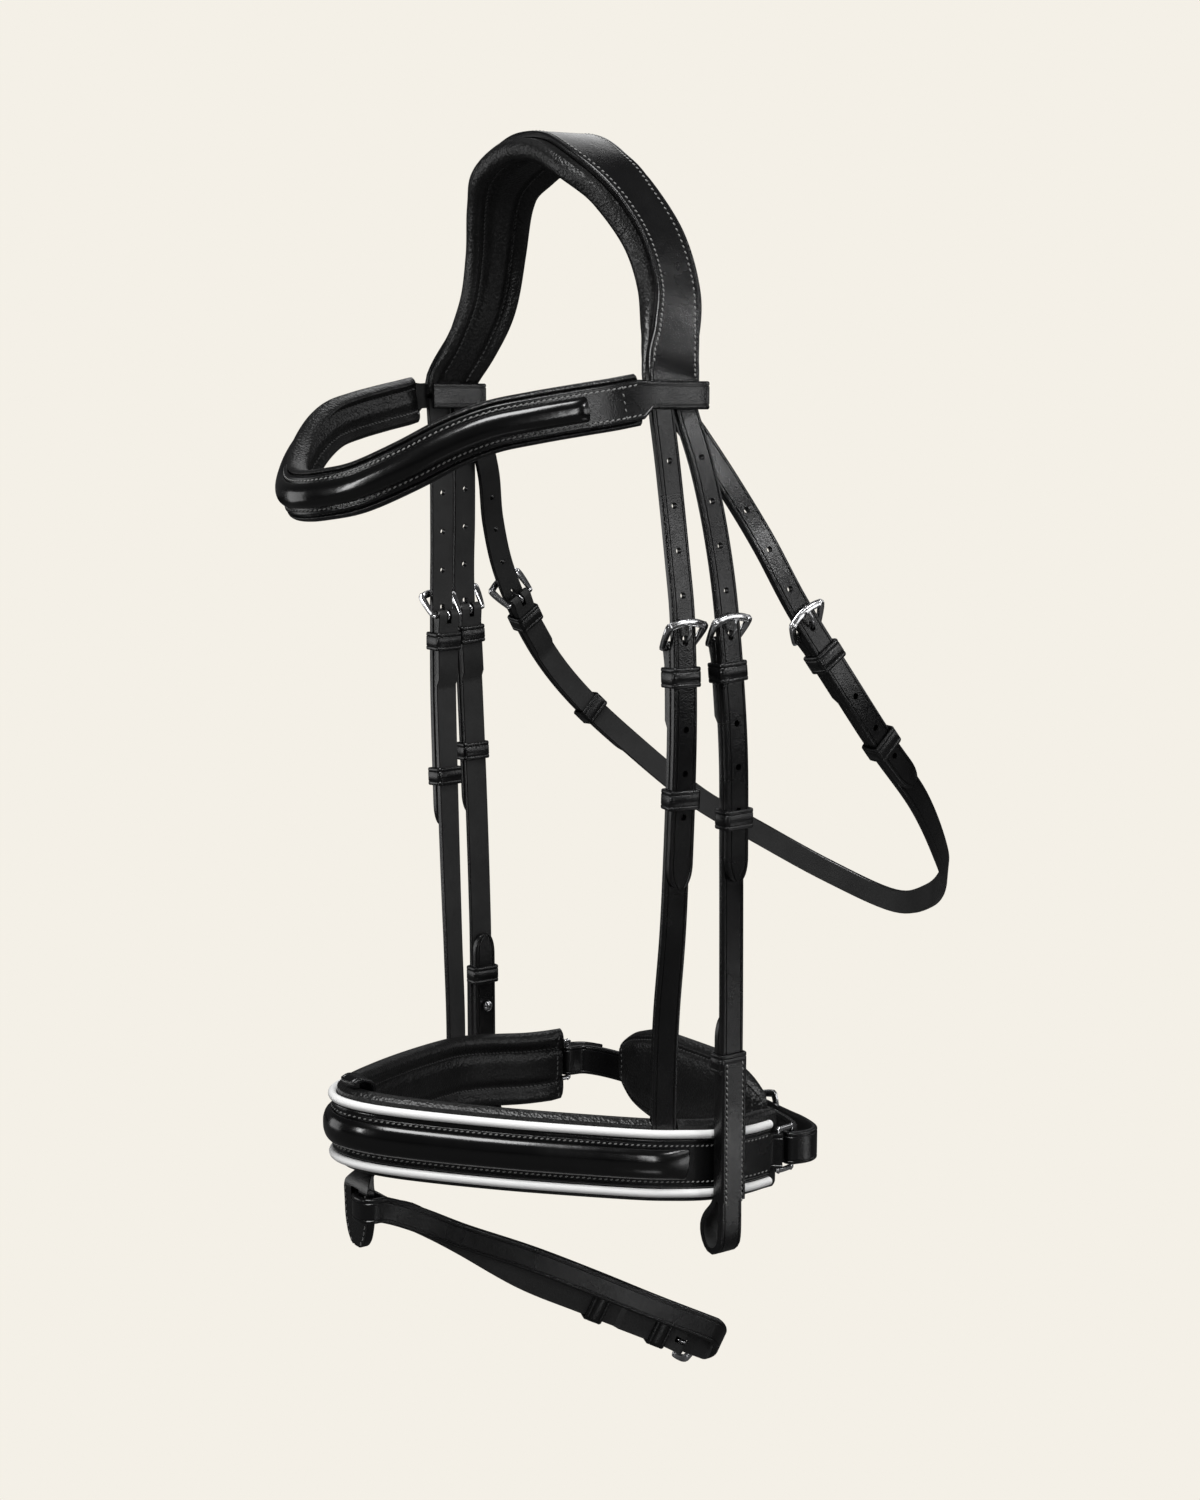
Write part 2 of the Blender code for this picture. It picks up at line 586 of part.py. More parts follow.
class Buckling:
    """A buckle on a strap's folded end, with the strap that goes through it above.

    The route runs between the two layers. Along is towards the folded strap, out is towards the
    strap that goes through the buckle, and the hole that the prong uses is at hole.
    """

    def __init__(self, route, hole, width, thickness):
        self.route = route
        self.hole = hole
        self.width = width
        self.thickness = thickness
        self.over = (SEAT / 2, SEAT / 2 + thickness)
        self.under = (-SEAT / 2 - thickness, -SEAT / 2)
        self.knuckle = BAR_RADIUS + SEAT + SKIVED_THICKNESS
        self.bar_out = -SEAT / 2 - self.knuckle
        self.frame = route.frame(hole)

    def bar_place(self):
        return self.frame @ Vector((0.0, BAR_BELOW_HOLE, self.bar_out))

    def buckle(self, name):
        """The metal frame: a pivot bar inside the fold and a crowned top bar over the strap."""
        low = self.width / 2 + BUCKLE_SIDE_GAP + BAR_RADIUS
        high = low + BUCKLE_FLARE
        over = self.over[1] + SEAT + BAR_RADIUS
        top = -TOP_BAR_ABOVE_HOLE
        bar = BAR_BELOW_HOLE
        rise = over - self.bar_out
        corner = BAR_RADIUS
        path = [(-low + corner, bar, self.bar_out), (0.0, bar, self.bar_out),
                (low - corner, bar, self.bar_out),
                (low, bar - corner, self.bar_out + rise * corner / bar / 4),
                (high, top + corner, over - corner / 2),
                (high - corner, top, over), (high / 2, top - BUCKLE_CROWN * 0.7, over + corner / 4),
                (0.0, top - BUCKLE_CROWN, over + corner / 4),
                (-high / 2, top - BUCKLE_CROWN * 0.7, over + corner / 4),
                (-high + corner, top, over), (-high, top + corner, over - corner / 2),
                (-low, bar - corner, self.bar_out + rise * corner / bar / 4)]
        return planar_wire(name, self.frame, path, BAR_RADIUS, steel(), self.bar_place())

    def prong(self, name):
        """The tongue: an eye round the pivot bar, then out through the hole and onto the top bar."""
        eye = BAR_RADIUS + PRONG_CLEARANCE + PRONG_RADIUS
        rest = self.over[1] + SEAT * 2 + BAR_RADIUS * 2.25 + PRONG_RADIUS
        rise = rest - self.bar_out
        reach = TOP_BAR_ABOVE_HOLE + BAR_BELOW_HOLE
        path = []
        for step in range(6):
            angle = -0.2 * pi - step / 5 * 1.3 * pi
            path.append((0.0, BAR_BELOW_HOLE - eye * sin(angle), self.bar_out + eye * cos(angle)))
        for above, out in PRONG_SHARES:
            path.append((0.0, BAR_BELOW_HOLE - above * reach, self.bar_out + out * rise))
        return wire(name, [self.frame @ Vector(p) for p in path], PRONG_RADIUS, steel(), False,
                    self.bar_place())

    def fold_section(self, below_bar):
        """The folded strap's lower and upper level, this far below the pivot bar."""
        full = self.knuckle * 2
        folded = self.thickness + FOLD_THICKNESS
        deep = np.interp(below_bar, (0.0, self.knuckle * 2.4, FOLD_LENGTH, FOLD_LENGTH + self.thickness),
                         (full, folded, folded, self.thickness))
        return -SEAT / 2 - float(deep), -SEAT / 2

    def fold_places(self, start):
        """Places below the pivot bar where the folded strap's thickness changes."""
        thick = self.knuckle * 2.4
        return [start + thick, start + (thick + FOLD_LENGTH) / 2, start + FOLD_LENGTH,
                start + FOLD_LENGTH + self.thickness]

    def fold_rings(self, place):
        """Rings from the fold's rounded top down to the pivot bar; place gives a frame for a distance."""
        rings = []
        middle = self.bar_out
        for step in range(4):
            angle = pi / 2 * step / 3
            up = self.knuckle * cos(angle)
            half_deep = max(self.knuckle * sin(angle), self.knuckle * 0.3)
            section = flat_section(self.width / 2, middle - half_deep, middle + half_deep)
            rings.append(ring_at(place(self.hole + BAR_BELOW_HOLE - up), section))
        return rings

    def fold_cutters(self):
        """The bore for the pivot bar and the slot for the prong."""
        half = self.width / 2 + CUT_OVERRUN
        bore = prism(circle(BAR_RADIUS + SEAT, BORE_SIDES),
                     side_turned(self.frame, BAR_BELOW_HOLE, self.bar_out), -half, half)
        reach = BAR_RADIUS + PRONG_CLEARANCE + PRONG_RADIUS * 2 + SEAT * 3
        slot = prism(box_outline(PRONG_RADIUS + SEAT * 2, BAR_BELOW_HOLE - self.knuckle - CUT_OVERRUN,
                                 BAR_BELOW_HOLE + reach), self.frame,
                     self.bar_out - self.knuckle - CUT_OVERRUN, 0.0)
        return [bore, slot]

    def hole_cutters(self, start, end, low):
        """The strap's round holes between two places, and the longer one that the prong goes through."""
        high = self.over[1] + CUT_OVERRUN
        slot = circle(HOLE_RADIUS, HOLE_SIDES, PRONG_SLOT - HOLE_RADIUS * 2)
        cutters = [prism(slot, self.frame, low, high)]
        first = int((start - self.hole) / HOLE_PITCH)
        final = int((end - self.hole) / HOLE_PITCH)
        for k in range(first, final + 1):
            s = self.hole + k * HOLE_PITCH
            if k and start < s < end:
                cutters.append(prism(circle(HOLE_RADIUS, HOLE_SIDES), self.route.frame(s), low, high))
        return cutters

    def fixed_keeper(self, name, below):
        """The keeper sewn to the folded strap, round both layers."""
        folded = -SEAT / 2 - self.thickness - FOLD_THICKNESS
        return keeper(name, self.route, self.hole + below, self.width / 2, folded, self.over[1], SEAT)

    def sliding_keeper(self, name, below):
        """The keeper that slides along both layers."""
        return keeper(name, self.route, self.hole + below, self.width / 2, self.under[0], self.over[1],
                      SLIDE_CLEARANCE)


def point_strap(name, buckling, start, tail, hole_start, hole_end, step=STRAP_STEP):
    """A strap with a row of holes, from its top in the browband's loop to its pointed tail."""
    low, high = buckling.over
    places = stations(start, tail, step, True)
    places.insert(1, start + LOOP_HEIGHT / 2)
    rings = []
    for s in places:
        half = tip_width(tail - s, buckling.width / 2)
        rings.append(ring_at(buckling.route.frame(s), flat_section(half, low, high)))
    cut(loft(name, rings, strap_leather()), buckling.hole_cutters(hole_start, hole_end, low - CUT_OVERRUN))


# The lines that the straps follow, on the near side.


def noseband_route():
    """The line between the noseband's padding and its outer leather, from end to end."""
    half = []
    for side, along, drop in NOSEBAND_LINE_SHARES:
        half.append(Vector((side * NOSEBAND_HALF_WIDTH, NOSEBAND_FRONT + along * NOSEBAND_LENGTH,
                            -POLL_TO_BROWBAND - NOSEBAND_DROP - drop * NOSEBAND_SLOPE)))
    return symmetric_route(half)


def symmetric_route(half):
    """A line over the middle of the head from its near half, facing away from the head."""
    far = [Vector((-p.x, p.y, p.z)) for p in reversed(half[1:])]
    points = far + half
    outs = []
    for i in range(len(points)):
        along = points[min(i + 1, len(points) - 1)] - points[max(i - 1, 0)]
        outs.append(Vector((along.y, -along.x, 0.0)).normalized())
    return Route(points, outs)


def leaning_line(shares, top, bottom, bow, drift, end_out):
    """A strap's line from the browband down, with its face turning towards end_out."""
    points, outs = [], []
    for down, over, out, back in shares:
        point = top.lerp(bottom, over)
        point.z = top.z + (bottom.z - top.z) * down
        points.append(point + Vector((out * bow, back * drift, 0.0)))
        turn = min(1.0, down / 0.8) ** 2
        outs.append(Vector((1.0, 0.0, 0.0)).lerp(end_out, turn))
    return Route(points, outs)


def nose_line(noseband):
    """Between the two layers of the strap that carries the noseband."""
    meet = noseband.frame(noseband_place(noseband, HANGER_BACK))
    out = meet.col[2].to_3d()
    bottom = meet.translation - out * HANGER_SINK
    bottom.z += HANGER_END_RISE
    top = Vector((HEAD_HALF_WIDTH, NOSE_TOP_BACK, -POLL_TO_BROWBAND))
    return leaning_line(NOSE_LINE_SHARES, top, bottom, NOSE_BOW, NOSE_DRIFT, out)


def noseband_place(noseband, back):
    """How far along the noseband its near half lies this far back."""
    near = noseband.points[:, 1][noseband.points[:, 0] > 0]
    lengths = noseband.lengths[noseband.points[:, 0] > 0]
    return float(np.interp(back, near, lengths))


def cheek_line(noseband):
    """Between the two layers of the cheek strap, outside the noseband."""
    meet = noseband.frame(noseband_place(noseband, CHEEK_BACK))
    out = meet.col[2].to_3d()
    layers = PIPING_RADIUS * 2 + STRAP_THICKNESS * 2 + SEAT * 5
    bottom = meet.translation + out * layers
    bottom.z = -POLL_TO_BROWBAND - BIT_DROP
    top = Vector((HEAD_HALF_WIDTH, CHEEK_TOP_BACK, -POLL_TO_BROWBAND))
    return leaning_line(CHEEK_LINE_SHARES, top, bottom, CHEEK_BOW, CHEEK_DRIFT, out)


def throat_half():
    """The throatlatch's points from its near top to its middle."""
    top = HEAD_HALF_WIDTH - STRAP_THICKNESS - SEAT
    half = []
    for inner, flare, back, down in THROAT_LINE_SHARES:
        half.append(Vector((inner * top + flare * THROAT_FLARE, THROAT_TOP_BACK + back * THROAT_BACK,
                            -POLL_TO_BROWBAND - down * THROAT_DROP)))
    return half


def throat_route():
    """The whole throatlatch from its near top round to its far top."""
    half = throat_half()
    points = half + [Vector((-p.x, p.y, p.z)) for p in reversed(half[:-1])]
    outs = []
    for p in points:
        behind = max(0.0, (p.y - THROAT_TOP_BACK) / THROAT_BACK - THROAT_TWIST_SHARE)
        outs.append(Vector((p.x / HEAD_HALF_WIDTH, behind / THROAT_TWIST_SHARE, 0.0)).normalized())
    return Route(points, outs)


def crown_route():
    """The line between the crown's lining and its outer strap, from the far end to the near end."""
    top = CROWN_PAD_THICKNESS * 0.8 + SEAT
    low = -POLL_TO_BROWBAND + CROWN_END_RISE
    half = []
    for out, up, bow in CROWN_LINE_SHARES:
        half.append(Vector((out * (HEAD_HALF_WIDTH + SEAT / 2), bow * CROWN_BOW, low + up * (top - low))))
    far = [Vector((-p.x, p.y, p.z)) for p in reversed(half[1:])]
    points = far + half
    outs = []
    for i in range(len(points)):
        along = points[min(i + 1, len(points) - 1)] - points[max(i - 1, 0)]
        outs.append(Vector((-along.z, 0.0, along.x)).normalized())
    return Route(points, outs)


# Crown and browband.


def crown():
    """The outer strap over the poll and the padded lining under it."""
    route = crown_route()
    half = route.length / 2
    strap_rings, pad_rings = [], []
    inner = list(np.linspace(-CROWN_STRAIGHT_SHARE, CROWN_STRAIGHT_SHARE, BAND_STATIONS - 4))
    end = (CROWN_STRAIGHT_SHARE + 1) / 2
    for share in [-1.0, -end] + inner + [end, 1.0]:
        turn = copysign(CROWN_TURN * table_value(CROWN_TURN_SHARES, abs(share)), share)
        frame = route.frame(half + share * half) @ Matrix.Rotation(turn, 4, "Y")
        wide = CROWN_WAIST_WIDTH
        wide += table_value(CROWN_WIDTH_SHARES, abs(share)) * (CROWN_WIDTH - CROWN_WAIST_WIDTH)
        strap_rings.append(ring_at(frame, flat_section(wide / 2, 0.0, CROWN_THICKNESS)))
        wide = CROWN_PAD_END_WIDTH
        wide += table_value(CROWN_PAD_SHARES, abs(share)) * (CROWN_PAD_WIDTH - CROWN_PAD_END_WIDTH)
        deep = CROWN_PAD_END_THICKNESS
        deep += table_value(CROWN_PAD_DEPTH_SHARES, abs(share)) * (CROWN_PAD_THICKNESS - deep)
        pad_rings.append(ring_at(frame, both_sides(PAD_BACK_SHARES, wide / 2, deep, -SEAT)))
    loft("crown_strap", strap_rings, strap_leather())
    loft("crown_lining", pad_rings, lining_leather())


def loop_levels():
    """The inner faces of the browband's loops: outer wall, inner wall, half their inside length."""
    outer = HEAD_HALF_WIDTH + SEAT / 2 + STRAP_THICKNESS + SWING_CLEARANCE
    inner = HEAD_HALF_WIDTH - STRAP_THICKNESS - SEAT * 1.5 - SEAT * 3
    front = min(NOSE_TOP_BACK - STRAP_WIDTH / 2, -CROWN_PAD_END_WIDTH / 2) - SEAT * 2
    back = max(CHEEK_TOP_BACK + STRAP_WIDTH / 2, CROWN_PAD_END_WIDTH / 2) + SEAT * 2
    return outer, inner, front, back


def browband_half():
    """The browband's outer line from its middle, back along the near loop and round it."""
    outer, inner, front, back = loop_levels()
    level = -POLL_TO_BROWBAND
    half = []
    for side, reach, dip in BROWBAND_LINE_SHARES:
        half.append(Vector((side * HEAD_HALF_WIDTH, -reach * BROWBAND_REACH, level - dip * BROWBAND_DIP)))
    wall = BROWBAND_THICKNESS / 2
    out_x = outer + wall
    in_x = inner - wall
    turn = (out_x - in_x) / 2
    mid_x = (out_x + in_x) / 2
    half.append(Vector((out_x, front, level)))
    half.append(Vector((out_x, (front + back) / 2, level)))
    for step in range(5):
        angle = pi / 2 - step * pi / 4
        half.append(Vector((mid_x + turn * sin(angle), back + turn * cos(angle) * 0.6, level)))
    half.append(Vector((in_x, (front + back) / 2, level)))
    half.append(Vector((in_x, front + wall, level)))
    return half


def browband():
    """The flat band with its folded end loops, the padding behind it and the raised strip on it."""
    half = browband_half()
    route = symmetric_route(half)
    middle = route.length / 2
    corner = len(BROWBAND_LINE_SHARES) * SMOOTH_STEPS
    loop_start = float(route.lengths[corner + len(route.points) // 2]) - middle
    low = -BROWBAND_THICKNESS / 2
    end = loop_start - BROWBAND_PAD_END_GAP
    strip_end = end - BROWBAND_STRIP_END
    straight = list(np.linspace(-end, end, BAND_STATIONS))
    bends = range(corner, len(half) * SMOOTH_STEPS, SMOOTH_STEPS)
    loops = [float(route.lengths[bend + len(route.points) // 2]) - middle for bend in bends]
    rings = []
    for s in [-place for place in reversed(loops)] + straight + loops:
        into = min(1.0, max(0.0, (abs(s) - end) / (loop_start - end)))
        tall = BROWBAND_HEIGHT + (LOOP_HEIGHT - BROWBAND_HEIGHT) * into
        frame = route.frame(middle + s)
        frame.translation.z += LOOP_RISE * into
        rings.append(ring_at(frame, flat_section(tall / 2, low, -low)))
    loft("browband_band", rings, strap_leather())
    pad_rings, strip_rings = [], []
    for s in straight:
        frame = route.frame(middle + s)
        deep = BROWBAND_PAD_THICKNESS * faded(end - abs(s), BROWBAND_PAD_THICKNESS, 0.45)
        section = both_sides(ROLL_BACK_SHARES, BROWBAND_PAD_HEIGHT / 2, deep, low - SEAT)
        pad_rings.append(ring_at(frame, section))
        if abs(s) <= strip_end:
            high = BROWBAND_STRIP_THICKNESS * faded(strip_end - abs(s), BROWBAND_STRIP_WIDTH, 0.3)
            section = both_sides(STRIP_SHARES, BROWBAND_STRIP_WIDTH / 2, high, -low + SEAT)
            strip_rings.append(ring_at(frame, section))
    loft("browband_padding", pad_rings, lining_leather())
    loft("browband_raised_strip", strip_rings, patent_leather())


def faded(distance, length, least):
    """A share that grows from least to one over a length from an end."""
    return least + (1.0 - least) * min(1.0, distance / length)


# Cheek pieces, noseband hangers and throatlatch.


def nose_straps(side, sign, line):
    """The strap with holes from the crown, and the folded one that carries the noseband."""
    route = line if sign == NEAR else mirrored(line)
    buckling = Buckling(route, BUCKLE_DROP, STRAP_WIDTH, STRAP_THICKNESS)
    tail = BUCKLE_DROP + TAIL_BELOW
    point_strap(side + "_noseband_point", buckling, 0.0, tail, BUCKLE_DROP - HOLE_PITCH * 4.5,
                tail - TIP_LENGTH * 1.5)
    start = BUCKLE_DROP + BAR_BELOW_HOLE
    rings = buckling.fold_rings(route.frame)
    fold = buckling.fold_places(start)
    for s in fold + stations(fold[-1], route.length, STRAP_STEP)[1:]:
        low, high = buckling.fold_section(s - start)
        rings.append(ring_at(route.frame(s), flat_section(STRAP_WIDTH / 2, low, high)))
    cut(loft(side + "_noseband_hanger", rings, strap_leather()), buckling.fold_cutters())
    buckle_group(side + "_noseband", buckling, FIXED_KEEPER_BELOW, NOSE_SLIDER_BELOW[side])
    return buckling


def buckle_group(name, buckling, fixed_below, slider_below):
    buckling.buckle(name + "_buckle")
    buckling.prong(name + "_prong")
    buckling.fixed_keeper(name + "_fixed_keeper", fixed_below)
    if slider_below:
        buckling.sliding_keeper(name + "_sliding_keeper", slider_below)


def billet_route(route):
    """The cheek strap from its buckle down, round the bit loop and up inside itself."""
    level = -SEAT / 2 - STRAP_THICKNESS / 2
    straight = route.length - BIT_LOOP_DEPTH
    points, outs = route.moved(BUCKLE_DROP, straight, level)
    bottom = route.frame(route.length, level)
    out = bottom.col[2].to_3d()
    up = -bottom.col[1].to_3d()
    for inward, rise in BIT_LOOP_SHARES:
        points.append(bottom.translation - out * inward * BIT_LOOP_THICKNESS + up * rise * BIT_LOOP_DEPTH)
        turn = pi * min(1.0, max(0.0, inward * 1.1 + (0.35 if rise > 0.3 and inward > 0.1 else 0.0)))
        outs.append(out * cos(turn) - up * sin(turn))
    inner = level - STRAP_THICKNESS - SEAT
    start = straight - BIT_LOOP_DEPTH / 6
    billet_top = billet_place(route, BILLET_TIP_DROP)
    more, faces = route.moved(start, billet_top, inner)
    points += more
    outs += [-face for face in faces]
    return Route(points, outs)


def billet_place(route, drop):
    """How far along a strap's line it lies this far below the straps' tops."""
    return float(np.interp(drop, -route.points[:, 2] - POLL_TO_BROWBAND, route.lengths))


def cheek_straps(side, sign, line):
    """The cheek strap with its bit loop, billet, stud and keepers, and the strap with holes above it."""
    route = line if sign == NEAR else mirrored(line)
    buckling = Buckling(route, BUCKLE_DROP, STRAP_WIDTH, STRAP_THICKNESS)
    tail = BUCKLE_DROP + TAIL_BELOW
    point_strap(side + "_cheek_point", buckling, 0.0, tail, BUCKLE_DROP - HOLE_PITCH * 4.5,
                tail - TIP_LENGTH * 1.5)
    path = billet_route(line)
    path = path if sign == NEAR else mirrored(path)
    patch_end = route.length - BIT_LOOP_DEPTH - BUCKLE_DROP
    patch_start = patch_end - LINING_LENGTH
    rings = buckling.fold_rings(route.frame)
    shift = SEAT / 2 + STRAP_THICKNESS / 2
    for s in cheek_stations(path, buckling.fold_places(BAR_BELOW_HOLE), patch_start, patch_end):
        half = tip_width(path.length - s, STRAP_WIDTH / 2)
        low, high = buckling.fold_section(s - BAR_BELOW_HOLE)
        if patch_start <= s <= patch_end:
            half += LINING_OVERHANG
            high += LINING_THICKNESS
        rings.append(ring_at(path.frame(s), flat_section(half, low + shift, high + shift)))
    strap = loft(side + "_cheek_strap", rings, strap_leather())
    cut(strap, buckling.fold_cutters() + [stud_well(route)])
    weld(strap, billet_keeper(side, route))
    hook_stud(side, route)
    buckle_group(side + "_cheek", buckling, FIXED_KEEPER_BELOW, CHEEK_SLIDER_BELOW[side])
    return buckling


def cheek_stations(path, fold, patch_start, patch_end):
    """Places along the cheek strap, closer together where it turns and at the patch's ends."""
    low = float(path.lengths[int(np.argmin(path.points[:, 2]))])
    turn = [low + k * BIT_LOOP_STEP for k in BIT_LOOP_PLACES]
    down = list(np.linspace(fold[-1], patch_start - SEAT, 6))[1:]
    patch = list(np.linspace(patch_start, patch_end, 4))
    up = list(np.linspace(turn[-1], path.length - TIP_LENGTH, 6))[1:-1]
    return fold + down + patch + [patch_end + SEAT] + turn + up + tip_places(path.length)


def billet_keeper(side, route):
    """The keeper for the billet's tip, sewn under the patch."""
    place = billet_place(route, BILLET_TIP_DROP + BILLET_KEEPER_BELOW)
    inner = -SEAT * 1.5 - STRAP_THICKNESS * 2
    outer = -SEAT / 2 + LINING_THICKNESS - KEEPER_THICKNESS - SEAT * 1.5
    return keeper(side + "_billet_keeper", route, place, STRAP_WIDTH / 2, inner, outer, SEAT)


def weld(piece, other):
    """Make another body one with a piece."""
    other.display_type = "WIRE"
    other.hide_render = True
    modifier = piece.modifiers.new("weld", "BOOLEAN")
    modifier.operation = "UNION"
    modifier.object = other


def stud_levels():
    """The stud's foot inside the billet, the billet's face, and the head's two faces."""
    face = -SEAT * 1.5 - STRAP_THICKNESS * 2
    neck = face - STUD_NECK_LENGTH
    return face + STRAP_THICKNESS * 0.75, face, neck, neck - STUD_HEAD_THICKNESS


def stud_well(route):
    """The hole in the billet for the hook stud's neck."""
    foot, face, _, _ = stud_levels()
    frame = route.frame(billet_place(route, BILLET_TIP_DROP + STUD_BELOW))
    return prism(circle(STUD_NECK_RADIUS + SEAT, BORE_SIDES), frame, face - CUT_OVERRUN, foot + SEAT)


def hook_stud(side, route):
    """The steel stud that the billet hooks onto."""
    foot, _, neck, head = stud_levels()
    frame = route.frame(billet_place(route, BILLET_TIP_DROP + STUD_BELOW))
    profile = ((foot, STUD_NECK_RADIUS), (neck, STUD_NECK_RADIUS), (neck, STUD_HEAD_RADIUS),
               ((neck + head) / 2, STUD_HEAD_RADIUS * 1.05), (head, STUD_HEAD_RADIUS * 0.6))
    rings = []
    for level, radius in profile:
        rings.append([frame @ Vector((u, v, level)) for u, v in circle(radius, BORE_SIDES)])
    loft(side + "_hook_stud", rings, steel())


def throatlatch():
    """The long strap under the throat, folded round a buckle at both ends, and its two point straps."""
    route = throat_route()
    ends = []
    for side, sign in SIDES:
        own = route if sign == NEAR else mirrored(route)
        buckling = Buckling(own, THROAT_BUCKLE_DROP, STRAP_WIDTH, STRAP_THICKNESS)
        tail = THROAT_BUCKLE_DROP + THROAT_TAIL_BELOW[side]
        point_strap(side + "_throat_point", buckling, 0.0, tail, THROAT_BUCKLE_DROP - HOLE_PITCH * 3.5,
                    tail - TIP_LENGTH * 1.5, THROAT_STEP)
        buckle_group(side + "_throat", buckling, FIXED_KEEPER_BELOW, THROAT_SLIDER_BELOW[side])
        ends.append(buckling)
    near, far = ends
    start = THROAT_BUCKLE_DROP + BAR_BELOW_HOLE
    rings = near.fold_rings(route.frame)
    fold = near.fold_places(start)
    middle = stations(fold[-1], route.length - fold[-1], THROAT_STEP)[1:-1]
    for s in fold + middle + [route.length - place for place in reversed(fold)]:
        low, high = near.fold_section(min(s, route.length - s) - start)
        rings.append(ring_at(route.frame(s), flat_section(STRAP_WIDTH / 2, low, high)))
    rings += reversed(near.fold_rings(lambda s: route.frame(route.length - s)))
    cut(loft("throat_strap", rings, strap_leather()), near.fold_cutters() + far.fold_cutters())


# Noseband, rings, crank strap and chin pad.


def noseband(route, hangers):
    """The outer band, its raised strip and piping, and the padding with its pockets."""
    middle = route.length / 2
    thick = NOSEBAND_THICKNESS
    rings, pad_rings, strip_rings = [], [], []
    end = middle - CHAPE_LENGTH
    chape_half = CRANK_WIDTH / 2 + SWING_CLEARANCE - SEAT
    knuckle = RING_BAR_RADIUS + SEAT + SKIVED_THICKNESS
    places = [end * share for share in np.linspace(-1.0, 1.0, BAND_STATIONS)]
    for s in places:
        rings.append(ring_at(route.frame(middle + s), flat_section(NOSEBAND_HEIGHT / 2, SEAT / 2, thick)))
    for sign in (-1, 1):
        extra = []
        for along, low, high in (
                (end + SEAT * 2, SEAT / 2, thick), (middle - knuckle * 2, SEAT / 2, thick),
                (middle - knuckle, RING_STAND - knuckle + SEAT, RING_STAND + knuckle),
                (middle - knuckle * 0.3, RING_STAND - knuckle / 2, RING_STAND + knuckle / 2)):
            frame = route.frame(middle + sign * along)
            extra.append(ring_at(frame, flat_section(chape_half, max(low, SEAT / 2), high)))
        rings = rings + extra if sign > 0 else list(reversed(extra)) + rings
    band = loft("noseband_band", rings, strap_leather())
    reach = chape_half + CUT_OVERRUN
    bore = circle(RING_BAR_RADIUS + SEAT, BORE_SIDES)
    cut(band, [prism(bore, side_turned(ring_frame(route, sign), 0.0, 0.0), -reach, reach)
               for sign in (NEAR, FAR)])
    for s in [-middle] + places + [middle]:
        deep = NOSEBAND_PAD_THICKNESS * faded(middle - abs(s), CHAPE_LENGTH, 0.6)
        section = both_sides(PAD_BACK_SHARES, NOSEBAND_PAD_HEIGHT / 2, deep, -SEAT / 2)
        pad_rings.append(ring_at(route.frame(middle + s), section))
    pad = loft("noseband_padding", pad_rings, lining_leather())
    cut(pad, [hanger_pocket(hanger) for hanger in hangers])
    strip_end = middle - NOSEBAND_STRIP_END
    for s in places:
        if abs(s) <= strip_end:
            high = NOSEBAND_STRIP_THICKNESS * faded(strip_end - abs(s), NOSEBAND_STRIP_WIDTH, 0.3)
            section = both_sides(STRIP_SHARES, NOSEBAND_STRIP_WIDTH / 2, high, thick + SEAT)
            strip_rings.append(ring_at(route.frame(middle + s), section))
    loft("noseband_raised_strip", strip_rings, patent_leather())
    level = thick / 2
    for name, where in (("upper", -1), ("lower", 1)):
        across = where * (NOSEBAND_HEIGHT / 2 + SEAT + PIPING_RADIUS)
        points = [route.frame(middle + s) @ Vector((across, 0.0, max(level, PIPING_RADIUS + SEAT / 2)))
                  for s in places]
        wire("noseband_" + name + "_piping", points, PIPING_RADIUS, piping_leather())


def hanger_pocket(hanger):
    """The room in the padding for the end of a hanging strap."""
    route = hanger.route
    bottom = route.frame(route.length)
    half = STRAP_WIDTH / 2 + SEAT
    reach = NOSEBAND_PAD_HEIGHT
    return prism(box_outline(half, -reach, SEAT), bottom, -SEAT * 1.5 - STRAP_THICKNESS, CUT_OVERRUN)


def ring_frame(route, sign):
    """Where a ring's front bar goes through the noseband's end; along is towards the back."""
    middle = route.length / 2
    knuckle = RING_BAR_RADIUS + SEAT + SKIVED_THICKNESS
    frame = route.frame(middle + sign * (middle - knuckle), RING_STAND)
    if sign < 0:
        return placed(frame.col[0].to_3d(), -frame.col[1].to_3d(), frame.col[2].to_3d(), frame.translation)
    return frame


def rings(route):
    """The rectangular rings at the noseband's ends."""
    half = CRANK_WIDTH / 2 + SWING_CLEARANCE + RING_BAR_RADIUS
    corner = RING_BAR_RADIUS
    path = [(-half + corner, 0.0, 0.0), (half - corner, 0.0, 0.0), (half, corner, 0.0),
            (half, RING_LENGTH - corner, 0.0), (half - corner, RING_LENGTH, 0.0),
            (-half + corner, RING_LENGTH, 0.0), (-half, RING_LENGTH - corner, 0.0), (-half, corner, 0.0)]
    for side, sign in SIDES:
        frame = ring_frame(route, sign)
        planar_wire(side + "_noseband_ring", frame, path, RING_BAR_RADIUS, steel(), frame.translation)


